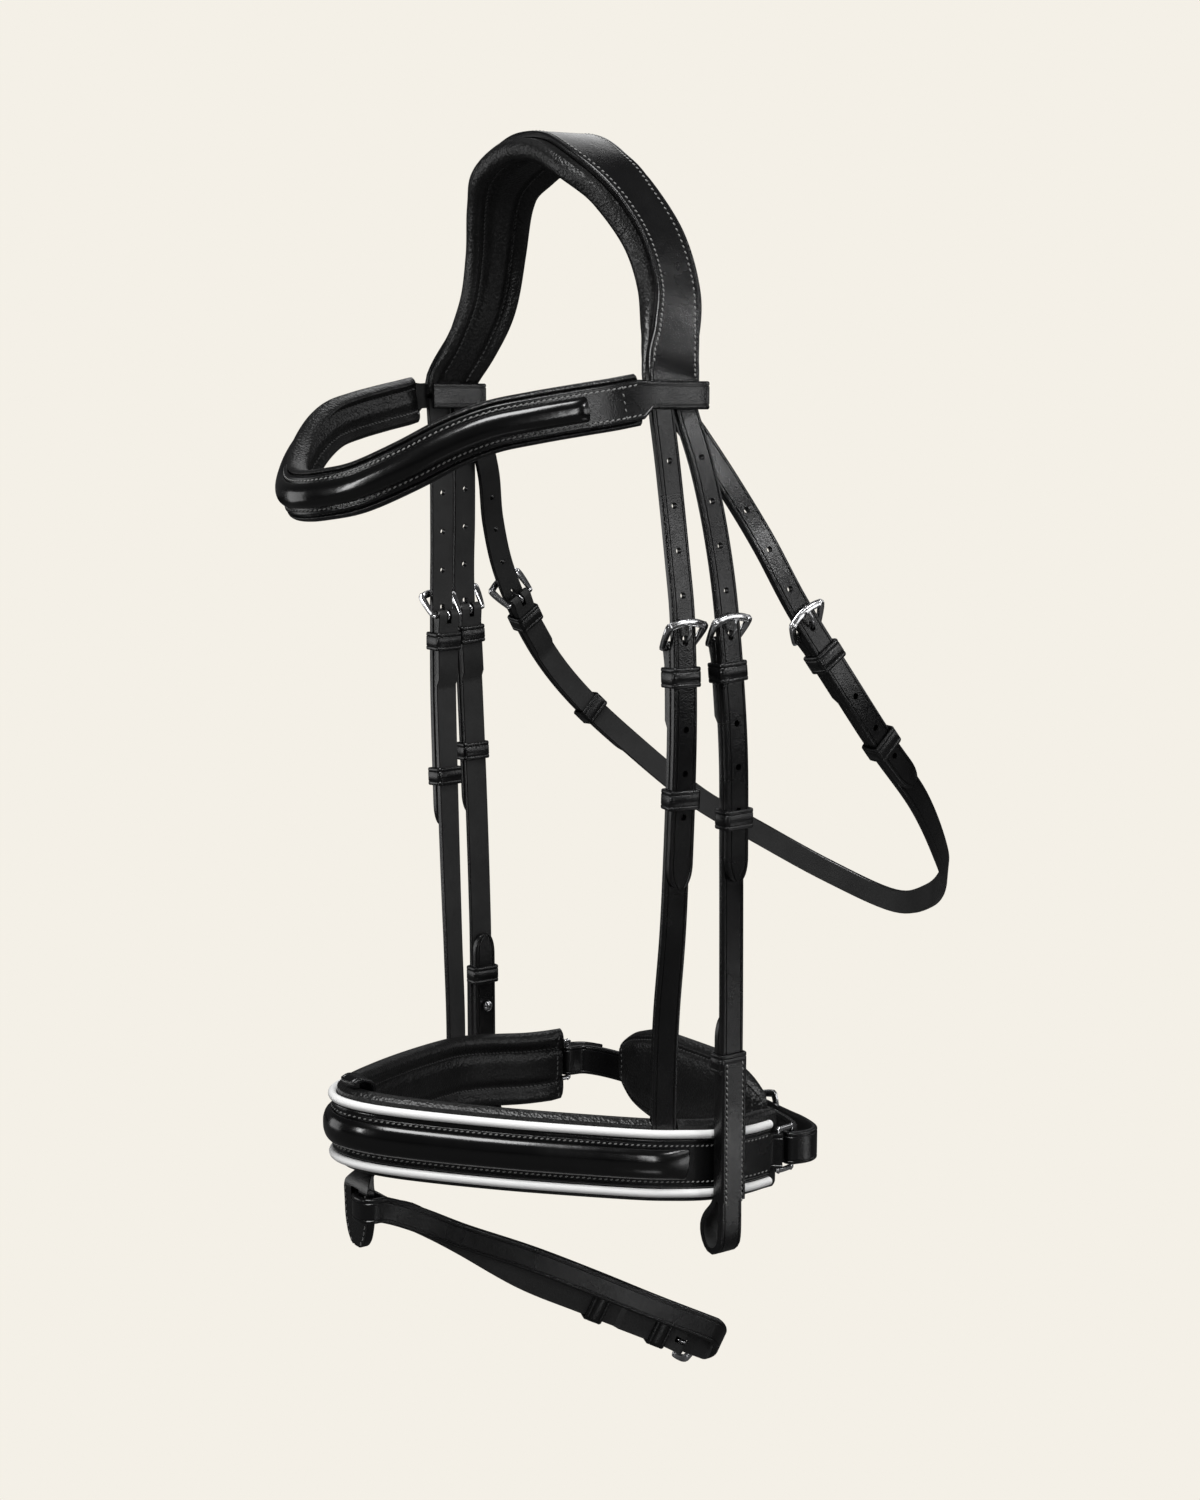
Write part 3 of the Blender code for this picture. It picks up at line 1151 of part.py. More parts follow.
def crank_lines(route):
    """The crank strap's plan line from its tip, round both rings, to its sewn far end."""
    bar = ring_frame(route, NEAR) @ Vector((0.0, RING_LENGTH, 0.0))
    wrap = RING_BAR_RADIUS + SWING_CLEARANCE + CRANK_THICKNESS / 2
    inner, outer = [], []
    for across, back, apart in CRANK_LINE_SHARES:
        x = across * (NOSEBAND_HALF_WIDTH - CRANK_INSET)
        inner.append((x, bar.y + back * CHIN_REACH))
        if apart:
            outer.append((x, bar.y + back * CHIN_REACH + apart * CRANK_SPACING))
    start = (bar.x - wrap, bar.y)
    turn = [(bar.x + wrap * cos(a), bar.y + wrap * sin(a)) for a in (-3 * pi / 4, -pi / 2, -pi / 4)]
    loop = [(bar.x + wrap, bar.y)]
    for across, back in CRANK_LOOP_SHARES:
        loop.append((bar.x + across * wrap, bar.y + back * CHIN_REACH))
    inner = inner + [start]
    far_loop = [(bar.x + wrap, bar.y)]
    for across, back in CRANK_FAR_SHARES:
        far_loop.append((bar.x + across * wrap, bar.y + back * CHIN_REACH))
    near = outer + list(reversed(loop)) + list(reversed(turn)) + list(reversed(inner))
    far = inner[1:] + turn + far_loop
    plan = near + [(-x, y) for x, y in far]
    return [Vector((x, y, bar.z)) for x, y in plan]


def facing_left(points):
    """A direction for each point, level and to the left of the way the line runs."""
    outs = []
    for i in range(len(points)):
        along = points[min(i + 1, len(points) - 1)] - points[max(i - 1, 0)]
        outs.append(Vector((-along.y, along.x, 0.0)).normalized())
    return outs


def crank(route):
    """The crank strap with its buckle and keeper, and the chin pad inside it."""
    points = crank_lines(route)
    line = Route(points, facing_left(points))
    half = CRANK_THICKNESS / 2
    upper = [s for s in np.linspace(0.0, line.length, 400) if line.value(line.points, s).x > CRANK_BUCKLE]
    places, faces = line.moved(upper[0] + CRANK_WIDTH, 0.0, -half - SEAT / 2, CRANK_THICKNESS * 2)
    base = Route(places, faces)
    buckling = Buckling(base, base.length - upper[0], CRANK_WIDTH, CRANK_THICKNESS)
    bar = buckling.bar_place().x
    low = [s for s in np.linspace(0.0, line.length, 800)
           if line.frame(s).col[2].y < 0 and line.value(line.points, s).x < bar][0]
    knuckle = buckling.knuckle
    chape = [low + d * knuckle for d, _ in CRANK_CHAPE_SHARES]
    places = sorted(crank_stations(line, chape) + chape)
    rings = []
    for s in places:
        raised = float(np.interp((s - low) / knuckle, [d for d, _ in CRANK_CHAPE_SHARES],
                                 [h for _, h in CRANK_CHAPE_SHARES])) * (knuckle * 2 - CRANK_THICKNESS)
        section = flat_section(tip_width(s, CRANK_WIDTH / 2), -half - raised, half)
        rings.append(ring_at(line.frame(s), section))
    strap = loft("crank_strap", rings, strap_leather())
    holes = buckling.hole_cutters(TIP_LENGTH, base.length - TIP_LENGTH * 1.5, -SEAT / 3)
    cutters = buckling.fold_cutters() + holes
    cut(strap, cutters)
    buckling.buckle("crank_buckle")
    buckling.prong("crank_prong")
    low_level = buckling.over[0]
    keeper("crank_keeper", base, buckling.hole + FIXED_KEEPER_BELOW, CRANK_WIDTH / 2, low_level,
           buckling.over[1], SEAT)
    chin_pad(line)


def crank_stations(line, chape):
    """Places along the crank strap, closer together round the rings and away from the chape's own."""
    tip = [TIP_LENGTH * share for share in reversed(TIP_SHARES[1:])]
    places = [TIP_LENGTH]
    while places[-1] < line.length - CRANK_THICKNESS:
        s = places[-1]
        step = STRAP_STEP / 2
        while step > CRANK_THICKNESS / 2 and line.bend(s, min(s + step, line.length)) > BEND_STEP:
            step *= 0.8
        places.append(min(s + step, line.length))
    clear = chape[0] - CRANK_THICKNESS / 2, chape[-1] + CRANK_THICKNESS / 2
    return tip + [s for s in places if not clear[0] < s < clear[1]]


def chin_pad(line):
    """The cushion under the jaw, on the crank strap's inner run."""
    middle = [s for s in np.linspace(line.length, 0.0, 800)
              if line.frame(s).col[2].y < 0 and line.value(line.points, s).x > 0][0]
    base = CRANK_THICKNESS / 2 + SEAT * 2
    rings = []
    for share, tall in CHIN_PAD_SHARES:
        deep = table_value(CHIN_PAD_CROWN_SHARES, share) * CHIN_PAD_THICKNESS
        frame = line.frame(middle + (share - 0.5) * CHIN_PAD_LENGTH)
        frame.translation.z += CHIN_PAD_RISE
        rings.append(ring_at(frame, both_sides(CHIN_SECTION_SHARES, tall * CHIN_PAD_HEIGHT / 2, deep, base)))
    loft("chin_pad", rings, lining_leather())


# Flash loop and flash strap.


def tab_place(route):
    """Where the flash tab's middle plane is, and the height of the noseband's middle."""
    front = route.frame(route.length / 2).translation
    inner = NOSEBAND_PAD_THICKNESS + FLASH_NECK_STAND + FLASH_NECK_THICKNESS / 2
    return front.y, front.y + inner, front.z


def flash_loop(route):
    """The loop in front: a neck over the noseband's padding and a tab with a slot below it."""
    front, inner, level = tab_place(route)
    half_pad = NOSEBAND_PAD_HEIGHT / 2
    above = level + half_pad + FLASH_NECK_THICKNESS
    tab_y = front + (inner - front) * FLASH_TAB_SET
    tip = level - FLASH_TAB_DROP
    slot = level - FLASH_SLOT_DROP
    tab_top = slot + FLASH_SLOT_HEIGHT / 2 + FLASH_TAB_THICKNESS
    back = Vector((0.0, 1.0, 0.0))
    down = Vector((0.0, 0.0, -1.0))
    middle = (inner + front) / 2
    thick = FLASH_NECK_THICKNESS
    points = [(front + thick, above + thick * 0.3), (middle, above + thick),
              (inner - thick * 0.4, above - thick * 0.4), (inner, level + half_pad * 0.7),
              (inner, level), (inner, level - half_pad * 0.75),
              (inner - thick * 0.2, level - half_pad - thick),
              ((inner + tab_y) / 2, (tab_top + level - half_pad) / 2 - thick),
              (tab_y, tab_top - FLASH_TAB_THICKNESS), (tab_y, slot), (tab_y, tip)]
    faces = [-down, -down, back - down, back, back, back, back, back - down * 0.3, back, back, back]
    line = Route([(0.0, y, z) for y, z in points], faces)
    places = list(np.linspace(0.0, line.length, 30))
    tab_length = tab_top - tip
    places = [s for s in places if s < line.length - tab_length * 0.9]
    places += [line.length - tab_length * share for share, _ in reversed(FLASH_TAB_SHARES[:-1])]
    rings = []
    for s in places:
        into = (line.length - s) / tab_length
        half, deep = FLASH_NECK_WIDTH / 2, FLASH_NECK_THICKNESS / 2
        if into < 1.0:
            half, deep = table_value(FLASH_TAB_SHARES, into) * FLASH_TAB_WIDTH / 2, FLASH_TAB_THICKNESS / 2
        rings.append(ring_at(line.frame(s), flat_section(half, -deep, deep)))
    piece = loft("flash_loop", rings, strap_leather())
    frame = placed(Vector((1.0, 0.0, 0.0)), Vector((0.0, 0.0, 1.0)), Vector((0.0, -1.0, 0.0)),
                   Vector((0.0, tab_y, slot)))
    web = FLASH_SLOT_WIDTH * FLASH_WEB_SHARE
    outline = [(web - FLASH_SLOT_WIDTH, -FLASH_SLOT_HEIGHT / 2), (web, -FLASH_SLOT_HEIGHT / 2),
               (web, FLASH_SLOT_HEIGHT / 2), (web - FLASH_SLOT_WIDTH, FLASH_SLOT_HEIGHT / 2)]
    cut(piece, [prism(outline, frame, -FLASH_TAB_THICKNESS, FLASH_TAB_THICKNESS)])
    return Vector((0.0, tab_y, slot))


def flash(slot):
    """The long strap through the flash loop, buckled into a ring of its own, with its keepers."""
    reach = Vector((FLASH_SIDE, FLASH_BACK, 0.0))
    aside = Vector((FLASH_BACK, -FLASH_SIDE, 0.0)).normalized()

    def place(along, apart, down):
        return slot + reach * along + aside * (apart * FLASH_OPEN) - Vector((0.0, 0.0, down * FLASH_DROP))

    level = SEAT / 2 + FLASH_THICKNESS / 2
    inward = [place(*row) - aside * level for row in FLASH_REAR_SHARES]
    base = Route(inward, [-aside] * len(inward))
    hole = (FLASH_REAR_SHARES[0][0] - FLASH_HOLE_SHARE) * reach.length
    buckling = Buckling(base, hole, FLASH_WIDTH, FLASH_THICKNESS)
    start = hole + BAR_BELOW_HOLE
    fold = buckling.fold_places(start)
    rings = buckling.fold_rings(base.frame)
    rear_end = base.length - FLASH_WIDTH
    for s in fold + stations(fold[-1], rear_end, STRAP_STEP)[1:]:
        low, high = buckling.fold_section(s - start)
        rings.append(ring_at(base.frame(s), flat_section(FLASH_WIDTH / 2, low, high)))
    path = flash_outer_route(slot, base, level, place)
    section = flat_section(FLASH_WIDTH / 2, -FLASH_THICKNESS / 2, FLASH_THICKNESS / 2)
    for s in turning_stations(path, STRAP_STEP, FLASH_THICKNESS / 2)[1:]:
        rings.append(ring_at(path.frame(s), section))
    turn = turn_frames(path.frame(path.length), base.frame(0.0, level))
    rings += [ring_at(frame, section) for frame in turn]
    tail = hole + FLASH_TAIL
    for s in stations(0.0, tail, STRAP_STEP, True):
        half = tip_width(tail - s, FLASH_WIDTH / 2)
        rings.append(ring_at(base.frame(s), flat_section(half, *buckling.over)))
    strap = loft("flash_strap", rings, strap_leather())
    holes = buckling.hole_cutters(0.0, tail - TIP_LENGTH * 1.5, -SEAT / 3)
    cut(strap, buckling.fold_cutters() + holes)
    buckle_group("flash", buckling, FLASH_FIXED_KEEPER, FLASH_SLIDER)


def flash_outer_route(slot, base, level, place):
    """From the inner run's end round the tab's web and out along the outer run."""
    points, faces = base.moved(base.length - FLASH_WIDTH, base.length, -level)
    web = FLASH_SLOT_WIDTH * FLASH_WEB_SHARE
    stand = FLASH_TAB_THICKNESS / 2 + FLASH_ROOM + FLASH_THICKNESS / 2
    for x, y, out_x, out_y, down in FLASH_WRAP_SHARES:
        points.append(slot + Vector((web + x * stand, y * stand, -down * FLASH_DROP)))
        faces.append(Vector((out_x, out_y, 0.0)).normalized())
    points += [place(*row) for row in FLASH_FORE_SHARES]
    faces += [-base.frame(0.0).col[2].to_3d()] * len(FLASH_FORE_SHARES)
    return Route(points, faces)


def turn_frames(first, last):
    """Frames of a strap that turns back on itself between two frames that face opposite ways."""
    across = last.col[0].to_3d()
    ahead = -last.col[1].to_3d()
    face = -last.col[2].to_3d()
    radius = (first.translation - last.translation).dot(face) / 2
    frames = []
    for step in range(1, TURN_STEPS):
        angle = pi * step / TURN_STEPS
        out = face * cos(angle) + ahead * sin(angle)
        centre = first.translation.lerp(last.translation, (1 - cos(angle)) / 2) + ahead * sin(angle) * radius
        frames.append(placed(across, out.cross(across), out, centre))
    return frames


def turning_stations(path, step, least):
    """Places along a strap, closer together where it turns."""
    places = [0.0]
    while places[-1] < path.length:
        s = places[-1]
        ahead = step
        while ahead > least and path.bend(s, min(s + ahead, path.length)) > BEND_STEP:
            ahead *= 0.8
        places.append(path.length if path.length - s - ahead < least else s + ahead)
    return places


def swing_about(names, place):
    """Put the origin of pieces that swing together on their axis."""
    for name in names:
        piece = bpy.data.objects[name]
        piece.data.transform(Matrix.Translation(piece.location - place))
        piece.location = place


def set_axes(route, slot):
    """The straps' origins, on the axes that they swing about."""
    nose_top = Vector((0.0, 0.0, -POLL_TO_BROWBAND))
    swing_about(["noseband_band", "noseband_padding", "noseband_raised_strip", "noseband_upper_piping",
                 "noseband_lower_piping", "flash_loop"], nose_top)
    throat_top = Vector((0.0, THROAT_TOP_BACK, -POLL_TO_BROWBAND))
    swing_about(["throat_strap"], throat_top)
    for side, sign in SIDES:
        swing_about([side + "_noseband_point", side + "_noseband_hanger"], nose_top)
        swing_about([side + "_throat_point"], throat_top)
        cheek_side = sign * (HEAD_HALF_WIDTH + SEAT / 2 + STRAP_THICKNESS / 2)
        cheek_top = Vector((cheek_side, CHEEK_TOP_BACK, -POLL_TO_BROWBAND))
        swing_about([side + "_cheek_point", side + "_cheek_strap", side + "_hook_stud"], cheek_top)
    bar = ring_frame(route, NEAR) @ Vector((0.0, RING_LENGTH, 0.0))
    swing_about(["crank_strap", "chin_pad"], Vector((0.0, bar.y, bar.z)))
    swing_about(["flash_strap"], slot)


def build():
    for old in list(bpy.data.objects):
        bpy.data.objects.remove(old)
    crown()
    browband()
    nose_route = noseband_route()
    nose = nose_line(nose_route)
    cheek = cheek_line(nose_route)
    hangers = []
    for side, sign in SIDES:
        hangers.append(nose_straps(side, sign, nose))
        cheek_straps(side, sign, cheek)
    throatlatch()
    noseband(nose_route, hangers)
    rings(nose_route)
    crank(nose_route)
    slot = flash_loop(nose_route)
    flash(slot)
    set_axes(nose_route, slot)


build()
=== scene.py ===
"""The looks of a padded dressage bridle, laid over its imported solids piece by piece.

Z is up, the horse looks along -Y and its left side, called near here, is +X. All lengths are in
metres. The straps follow the same lines as the solids, with finer cross-sections, creases and
stitches. Each piece takes the name of the solid that it stands for, with _look behind it.
"""

import json
from math import copysign, cos, pi, radians, sin

import bmesh
import bpy
import numpy as np
from mathutils import Matrix, Vector

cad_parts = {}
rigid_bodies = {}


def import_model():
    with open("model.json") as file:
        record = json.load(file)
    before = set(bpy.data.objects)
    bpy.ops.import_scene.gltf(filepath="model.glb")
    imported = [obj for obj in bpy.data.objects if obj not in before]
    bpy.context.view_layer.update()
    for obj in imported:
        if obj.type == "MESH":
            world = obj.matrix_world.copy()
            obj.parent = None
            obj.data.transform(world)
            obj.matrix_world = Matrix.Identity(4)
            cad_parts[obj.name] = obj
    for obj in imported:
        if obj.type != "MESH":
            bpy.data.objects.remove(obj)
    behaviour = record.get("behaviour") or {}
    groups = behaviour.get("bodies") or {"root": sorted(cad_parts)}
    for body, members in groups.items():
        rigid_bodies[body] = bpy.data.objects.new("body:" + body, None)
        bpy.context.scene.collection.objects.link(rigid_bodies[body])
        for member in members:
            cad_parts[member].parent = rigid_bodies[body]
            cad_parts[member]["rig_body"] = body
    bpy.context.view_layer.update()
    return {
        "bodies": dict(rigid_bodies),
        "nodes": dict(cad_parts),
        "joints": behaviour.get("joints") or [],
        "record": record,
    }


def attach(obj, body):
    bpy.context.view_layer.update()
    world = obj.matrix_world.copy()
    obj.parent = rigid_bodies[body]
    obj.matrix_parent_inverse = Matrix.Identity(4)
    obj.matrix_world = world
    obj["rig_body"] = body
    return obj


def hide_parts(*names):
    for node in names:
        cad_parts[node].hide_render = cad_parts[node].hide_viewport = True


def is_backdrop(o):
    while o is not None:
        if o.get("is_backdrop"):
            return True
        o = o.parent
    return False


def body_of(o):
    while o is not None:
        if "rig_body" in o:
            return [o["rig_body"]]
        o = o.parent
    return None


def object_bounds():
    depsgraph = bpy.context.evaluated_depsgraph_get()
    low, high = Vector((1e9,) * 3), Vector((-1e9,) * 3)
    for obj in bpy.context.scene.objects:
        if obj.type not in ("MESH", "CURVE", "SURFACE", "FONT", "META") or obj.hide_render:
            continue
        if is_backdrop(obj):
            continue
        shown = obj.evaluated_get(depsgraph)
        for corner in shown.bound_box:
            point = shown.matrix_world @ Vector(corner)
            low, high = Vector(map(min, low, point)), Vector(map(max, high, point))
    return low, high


# Gaps and running clearances.
SEAT = 0.0003              # between two pieces that lie on each other
SLIDE_CLEARANCE = 0.00055  # round a keeper that slides
SWING_CLEARANCE = 0.00095  # round what tilts a few degrees
CUT_OVERRUN = 0.002        # how far a cutter reaches past what it cuts

# Strap leather.
STRAP_WIDTH = 0.0125
STRAP_THICKNESS = 0.0032
TIP_LENGTH = 0.011
TIP_BLUNT = 0.3            # share of the width that a pointed end keeps at its tip
TAIL_PLAIN = TIP_LENGTH * 1.5  # a strap has no holes this near to its tip
HOLE_PITCH = 0.020
HOLE_RADIUS = 0.0015
HOLE_CUT_LOW = -SEAT / 3   # the level that holes are cut down to where a strap lies on itself

# The head that the bridle goes round.
POLL_TO_BROWBAND = 0.111   # from the poll down to the tops of the cheek straps
HEAD_HALF_WIDTH = 0.091    # out to the strap layers at the browband
NOSE_TOP_BACK = -0.0066
NOSE_BOW = 0.0094          # how far the noseband's hanging straps bow outwards
NOSE_DRIFT = 0.0017        # and backwards
CHEEK_TOP_BACK = 0.0069
CHEEK_BOW = 0.0065
CHEEK_DRIFT = 0.0018
LEAN_SHARE = 0.8           # the share of their height over which these straps turn their faces
BIT_DROP = 0.3975           # from the straps' tops to the bottom of the bit loops

# The throatlatch.
THROAT_TOP_BACK = 0.005
THROAT_FLARE = 0.0371
THROAT_BACK = 0.224
THROAT_DROP = 0.2725

# Crown.
CROWN_THICKNESS = 0.0032
CROWN_WIDTH = 0.032        # at the poll
CROWN_WAIST_WIDTH = 0.0215 # at its narrowest, beside the ears
CROWN_PAD_WIDTH = 0.046
CROWN_PAD_END_WIDTH = 0.0285
CROWN_PAD_THICKNESS = 0.0100
CROWN_PAD_END_THICKNESS = 0.0034
CROWN_BOW = 0.0122         # how far the crown curves back behind the ears
CROWN_TURN = 0.08          # radians that its sides face forwards
CROWN_END_RISE = 0.002     # the crown ends this far above the tops of the cheek straps
CROWN_REST_SHARE = 0.8     # the share of its depth that the lining has where it rests

# Browband.
BROWBAND_REACH = 0.138     # from the cheek straps to its middle in front
BROWBAND_DIP = 0.043
BROWBAND_THICKNESS = 0.0020
BROWBAND_HEIGHT = 0.0174
LOOP_HEIGHT = 0.0125
LOOP_RISE = 0.0012         # the loops' middle above the tops of the cheek straps
LOOP_TURN_SHARE = 0.6      # how deep the loops' rear bends are, in shares of a half circle's
BROWBAND_PAD_HEIGHT = 0.0228
BROWBAND_PAD_THICKNESS = 0.0085
BROWBAND_STRIP_WIDTH = 0.0112
BROWBAND_STRIP_THICKNESS = 0.0038
BROWBAND_STRIP_END = 0.0235  # how far the raised strip stops before the padding's ends
BROWBAND_PAD_END_GAP = 0.005
BROWBAND_PAD_END_SHARE = 0.45  # the share of its thickness that the padding keeps at its ends
STRIP_END_SHARE = 0.3      # and the raised strips at theirs

# Noseband.
NOSEBAND_SPREAD = 0.0045   # how much further out than the head's half width its sides lie
NOSEBAND_HALF_WIDTH = HEAD_HALF_WIDTH + NOSEBAND_SPREAD
NOSEBAND_FRONT = -0.1205
NOSEBAND_LENGTH = 0.1869   # from its front to its two ends
NOSEBAND_DROP = 0.337      # its middle in front, below the straps' tops
NOSEBAND_SLOPE = 0.021     # how much lower its ends lie than its front
NOSEBAND_THICKNESS = 0.0025
NOSEBAND_HEIGHT = 0.0236
PIPING_RADIUS = 0.0020
NOSEBAND_PAD_HEIGHT = 0.0390
NOSEBAND_PAD_THICKNESS = 0.0095
NOSEBAND_PAD_END_SHARE = 0.6
NOSEBAND_STRIP_WIDTH = 0.0150
NOSEBAND_STRIP_THICKNESS = 0.0040
NOSEBAND_STRIP_END = 0.058  # how far the raised strip stops before the band's ends
HANGER_BACK = -0.0022       # where the hanging straps meet the noseband
HANGER_END_RISE = 0.004    # their ends above its middle
HANGER_SINK = 0.0006       # how far inside the band's leather they lie
CHEEK_BACK = 0.0252        # where the cheek straps cross it

# Bit loops and billets.
BIT_LOOP_DEPTH = 0.0262
BIT_LOOP_THICKNESS = 0.0160
BILLET_START = BIT_LOOP_DEPTH / 6  # where the billet's own run starts, above the loop
BILLET_TIP_DROP = 0.283    # the billet's tip below the straps' tops
BILLET_KEEPER_BELOW = 0.022  # its keeper and its stud below the billet's tip
STUD_BELOW = 0.039
STUD_HEAD_RADIUS = 0.0026
STUD_NECK_RADIUS = 0.0013
STUD_HEAD_THICKNESS = 0.0016
STUD_NECK_LENGTH = 0.0012
STUD_SINK = 0.75           # how deep it stands in the billet, in shares of the leather
STUD_BULGE = 1.05          # its head's profile, in shares of its radius
STUD_TOP = 0.6
LINING_THICKNESS = 0.0016
LINING_LENGTH = 0.066
LINING_OVERHANG = 0.0008

# Buckles, on every strap the same apart from their width.
BAR_RADIUS = 0.0012
BUCKLE_SIDE_GAP = 0.0011   # from a strap's edge to the buckle's leg
BUCKLE_FLARE = 0.0012      # how much further out the legs stand at the top bar
BUCKLE_CROWN = 0.0016      # how far the top bar bulges
BUCKLE_CROWN_SHARE = 0.7   # and how much of that halfway to its corners
PRONG_RADIUS = 0.0008
PRONG_CLEARANCE = 0.0002
PRONG_REST = 2.25          # its tip above the strap, in bar radii
EYE_START = 0.2            # its eye round the bar, in half turns
EYE_TURN = 1.3
BAR_BELOW_HOLE = 0.0032    # the pivot bar, below the strap hole that the prong goes through
TOP_BAR_ABOVE_HOLE = 0.0066
SKIVED_THICKNESS = 0.0015  # the thinned leather folded round the bar
FOLD_THICKNESS = 0.0018
FOLD_LENGTH = 0.033
FOLD_NECK = 2.4            # over what length the fold closes below the bar, in knuckle radii
FOLD_BLUNT = 0.3           # how thick its rounded top starts, in knuckle radii
PRONG_SLOT = 0.0050

# Keepers.
KEEPER_THICKNESS = 0.0013
KEEPER_WIDTH = 0.0090
KEEPER_CORNER = 0.0008
FIXED_KEEPER_BELOW = 0.0165   # below the prong's hole
BUCKLE_DROP = 0.108           # the prong's hole below the straps' tops, along the strap
TAIL_BELOW = 0.113
HOLES_ABOVE = 4.5             # how far above the buckle the holes start, in their pitch
THROAT_HOLES_ABOVE = 3.5
NOSE_SLIDER_BELOW = {"near": 0.072, "far": 0.087}
CHEEK_SLIDER_BELOW = {"near": 0.084, "far": 0.079}
THROAT_BUCKLE_DROP = 0.1215
THROAT_SLIDER_BELOW = {"near": 0.0715, "far": 0.086}
THROAT_TAIL_BELOW = {"near": 0.1025, "far": 0.1225}

# Crank strap, chin pad and the rings at the noseband's ends.
CRANK_WIDTH = 0.0160
CRANK_THICKNESS = 0.0026
RING_LENGTH = 0.0100
RING_BAR_RADIUS = 0.0012
RING_STAND = 0.0029        # the rings' plane above the noseband's inner layer
CHAPE_LENGTH = 0.0080
CHAPE_BLUNT = 0.3          # from its last cross-section to its very end, in knuckle radii
RING_KNUCKLE = RING_BAR_RADIUS + SEAT + SKIVED_THICKNESS
CHIN_REACH = 0.0175        # how far behind the rings the strap passes under the jaw
CHIN_PAD_LENGTH = 0.122
CHIN_PAD_HEIGHT = 0.050
CHIN_PAD_THICKNESS = 0.0110
CHIN_PAD_RISE = 0.005
CRANK_INSET = 0.0015       # how far inside the noseband's sides it lies
CRANK_SPACING = 0.0066     # between the middles of its two runs at the buckle
CRANK_BUCKLE = 0.044       # where the buckle's hole is, from the middle

# Flash loop and flash strap.
FLASH_TAB_WIDTH = 0.0220
FLASH_TAB_THICKNESS = 0.0045
FLASH_TAB_SET = 0.6        # where the tab hangs, from the noseband's front to its lining
FLASH_TAB_DROP = 0.0590    # the tab's tip below the noseband's middle
TAB_NECK_START = 0.9       # where it narrows to the neck, in shares of its length from the tip
TAB_NECK_LENGTH = 0.2      # and over what share of it
FLASH_NECK_WIDTH = 0.0130
FLASH_NECK_THICKNESS = 0.0020
FLASH_NECK_STAND = 0.0028  # between the neck's middle and the curved lining in front of it
FLASH_SLOT_WIDTH = 0.0072
FLASH_SLOT_HEIGHT = 0.0150
FLASH_WEB_SHARE = 0.43     # how much of the slot lies on the strap's side
FLASH_SLOT_DROP = 0.0375
FLASH_WIDTH = 0.0122
FLASH_THICKNESS = 0.0024
FLASH_SIDE = 0.0682        # how far it reaches from the tab, across and back
FLASH_BACK = 0.1650
FLASH_DROP = 0.0806        # and down, along its outer run
FLASH_OPEN = 0.0056        # how far its two runs stand to the sides of a line from the tab
FLASH_ROOM = 0.0019        # between the tab and the strap round it
FLASH_HOLE_SHARE = 0.893   # where the prong's hole is, along that line
FLASH_FIXED_KEEPER = 0.0155
FLASH_SLIDER = 0.050
FLASH_TAIL = 0.0745

# How finely curves are cut, and in how many steps a place along the crank strap is looked for.
SMOOTH_STEPS = 16
PROFILE_STEPS = 4
STRAP_STEP = 0.005
BAND_STATIONS = 145
HOLE_SIDES = 14
BORE_SIDES = 20
BEND_STEP = pi / 24
TURN_STEPS = 20
WIRE_SIDES = 16
STEP_SHARE = 0.8           # how much a step shrinks where a line turns
EDGE_STEPS = 4
FOLD_STEPS = 8
EYE_STEPS = 5
KEEPER_STEPS = 6
LOOP_STEPS = 4             # between the points of the browband's loops
LOOP_TURN_STEPS = 4
STITCH_SIDES = 6
CHIN_STATIONS = 61
TAB_STATIONS = 110
CRANK_BUCKLE_STEPS = 400
CRANK_RUN_STEPS = 800

# Routes of the straps. Each row is how far down, how far towards the lower end's place, and how
# far out along the bow and back along the drift.
NOSE_LINE_SHARES = ((0.0, 0.0, 0.0, 0.0), (0.016, 0.0, 0.0, 0.0), (0.09, 0.45, 0.19, 0.3),
                    (0.206, 0.9, 0.6, 0.47), (0.294, 1.0, 0.89, 0.88), (0.445, 1.0, 1.0, 1.0),
                    (0.672, 1.0, 0.64, 0.7), (0.811, 1.0, 0.22, 0.0), (0.913, 1.0, 0.03, 0.0),
                    (1.0, 1.0, 0.0, 0.0))
CHEEK_LINE_SHARES = ((0.0, 0.0, 0.0, 0.0), (0.014, 0.0, 0.0, 0.0), (0.078, 0.2, 0.385, 0.9),
                     (0.155, 0.4, 0.77, 0.9), (0.246, 0.6, 1.0, 0.2), (0.388, 0.8, 0.785, 0.3),
                     (0.524, 0.92, 0.354, 0.0), (0.657, 0.98, 0.09, 0.0), (0.75, 1.0, 0.0, 0.0),
                     (1.0, 1.0, 0.0, 0.0))

# The throatlatch from its top to its middle: share of the top's width, flare, back and down.
THROAT_LINE_SHARES = ((1.0, 0.0, 0.0, 0.0), (1.0, 0.0, 0.008, 0.025), (1.0, 0.03, 0.048, 0.065),
                      (1.0, 0.25, 0.1, 0.143), (1.0, 0.582, 0.148, 0.2385),
                      (1.0, 0.811, 0.208, 0.345), (1.0, 1.0, 0.3125, 0.477),
                      (1.0, 0.987, 0.424, 0.587), (1.0, 0.798, 0.571, 0.701),
                      (1.0, 0.313, 0.719, 0.8147), (0.86, 0.0, 0.839, 0.888),
                      (0.47, 0.0, 0.942, 0.958), (0.0, 0.0, 1.0, 1.0))
THROAT_TWIST_SHARE = 0.5

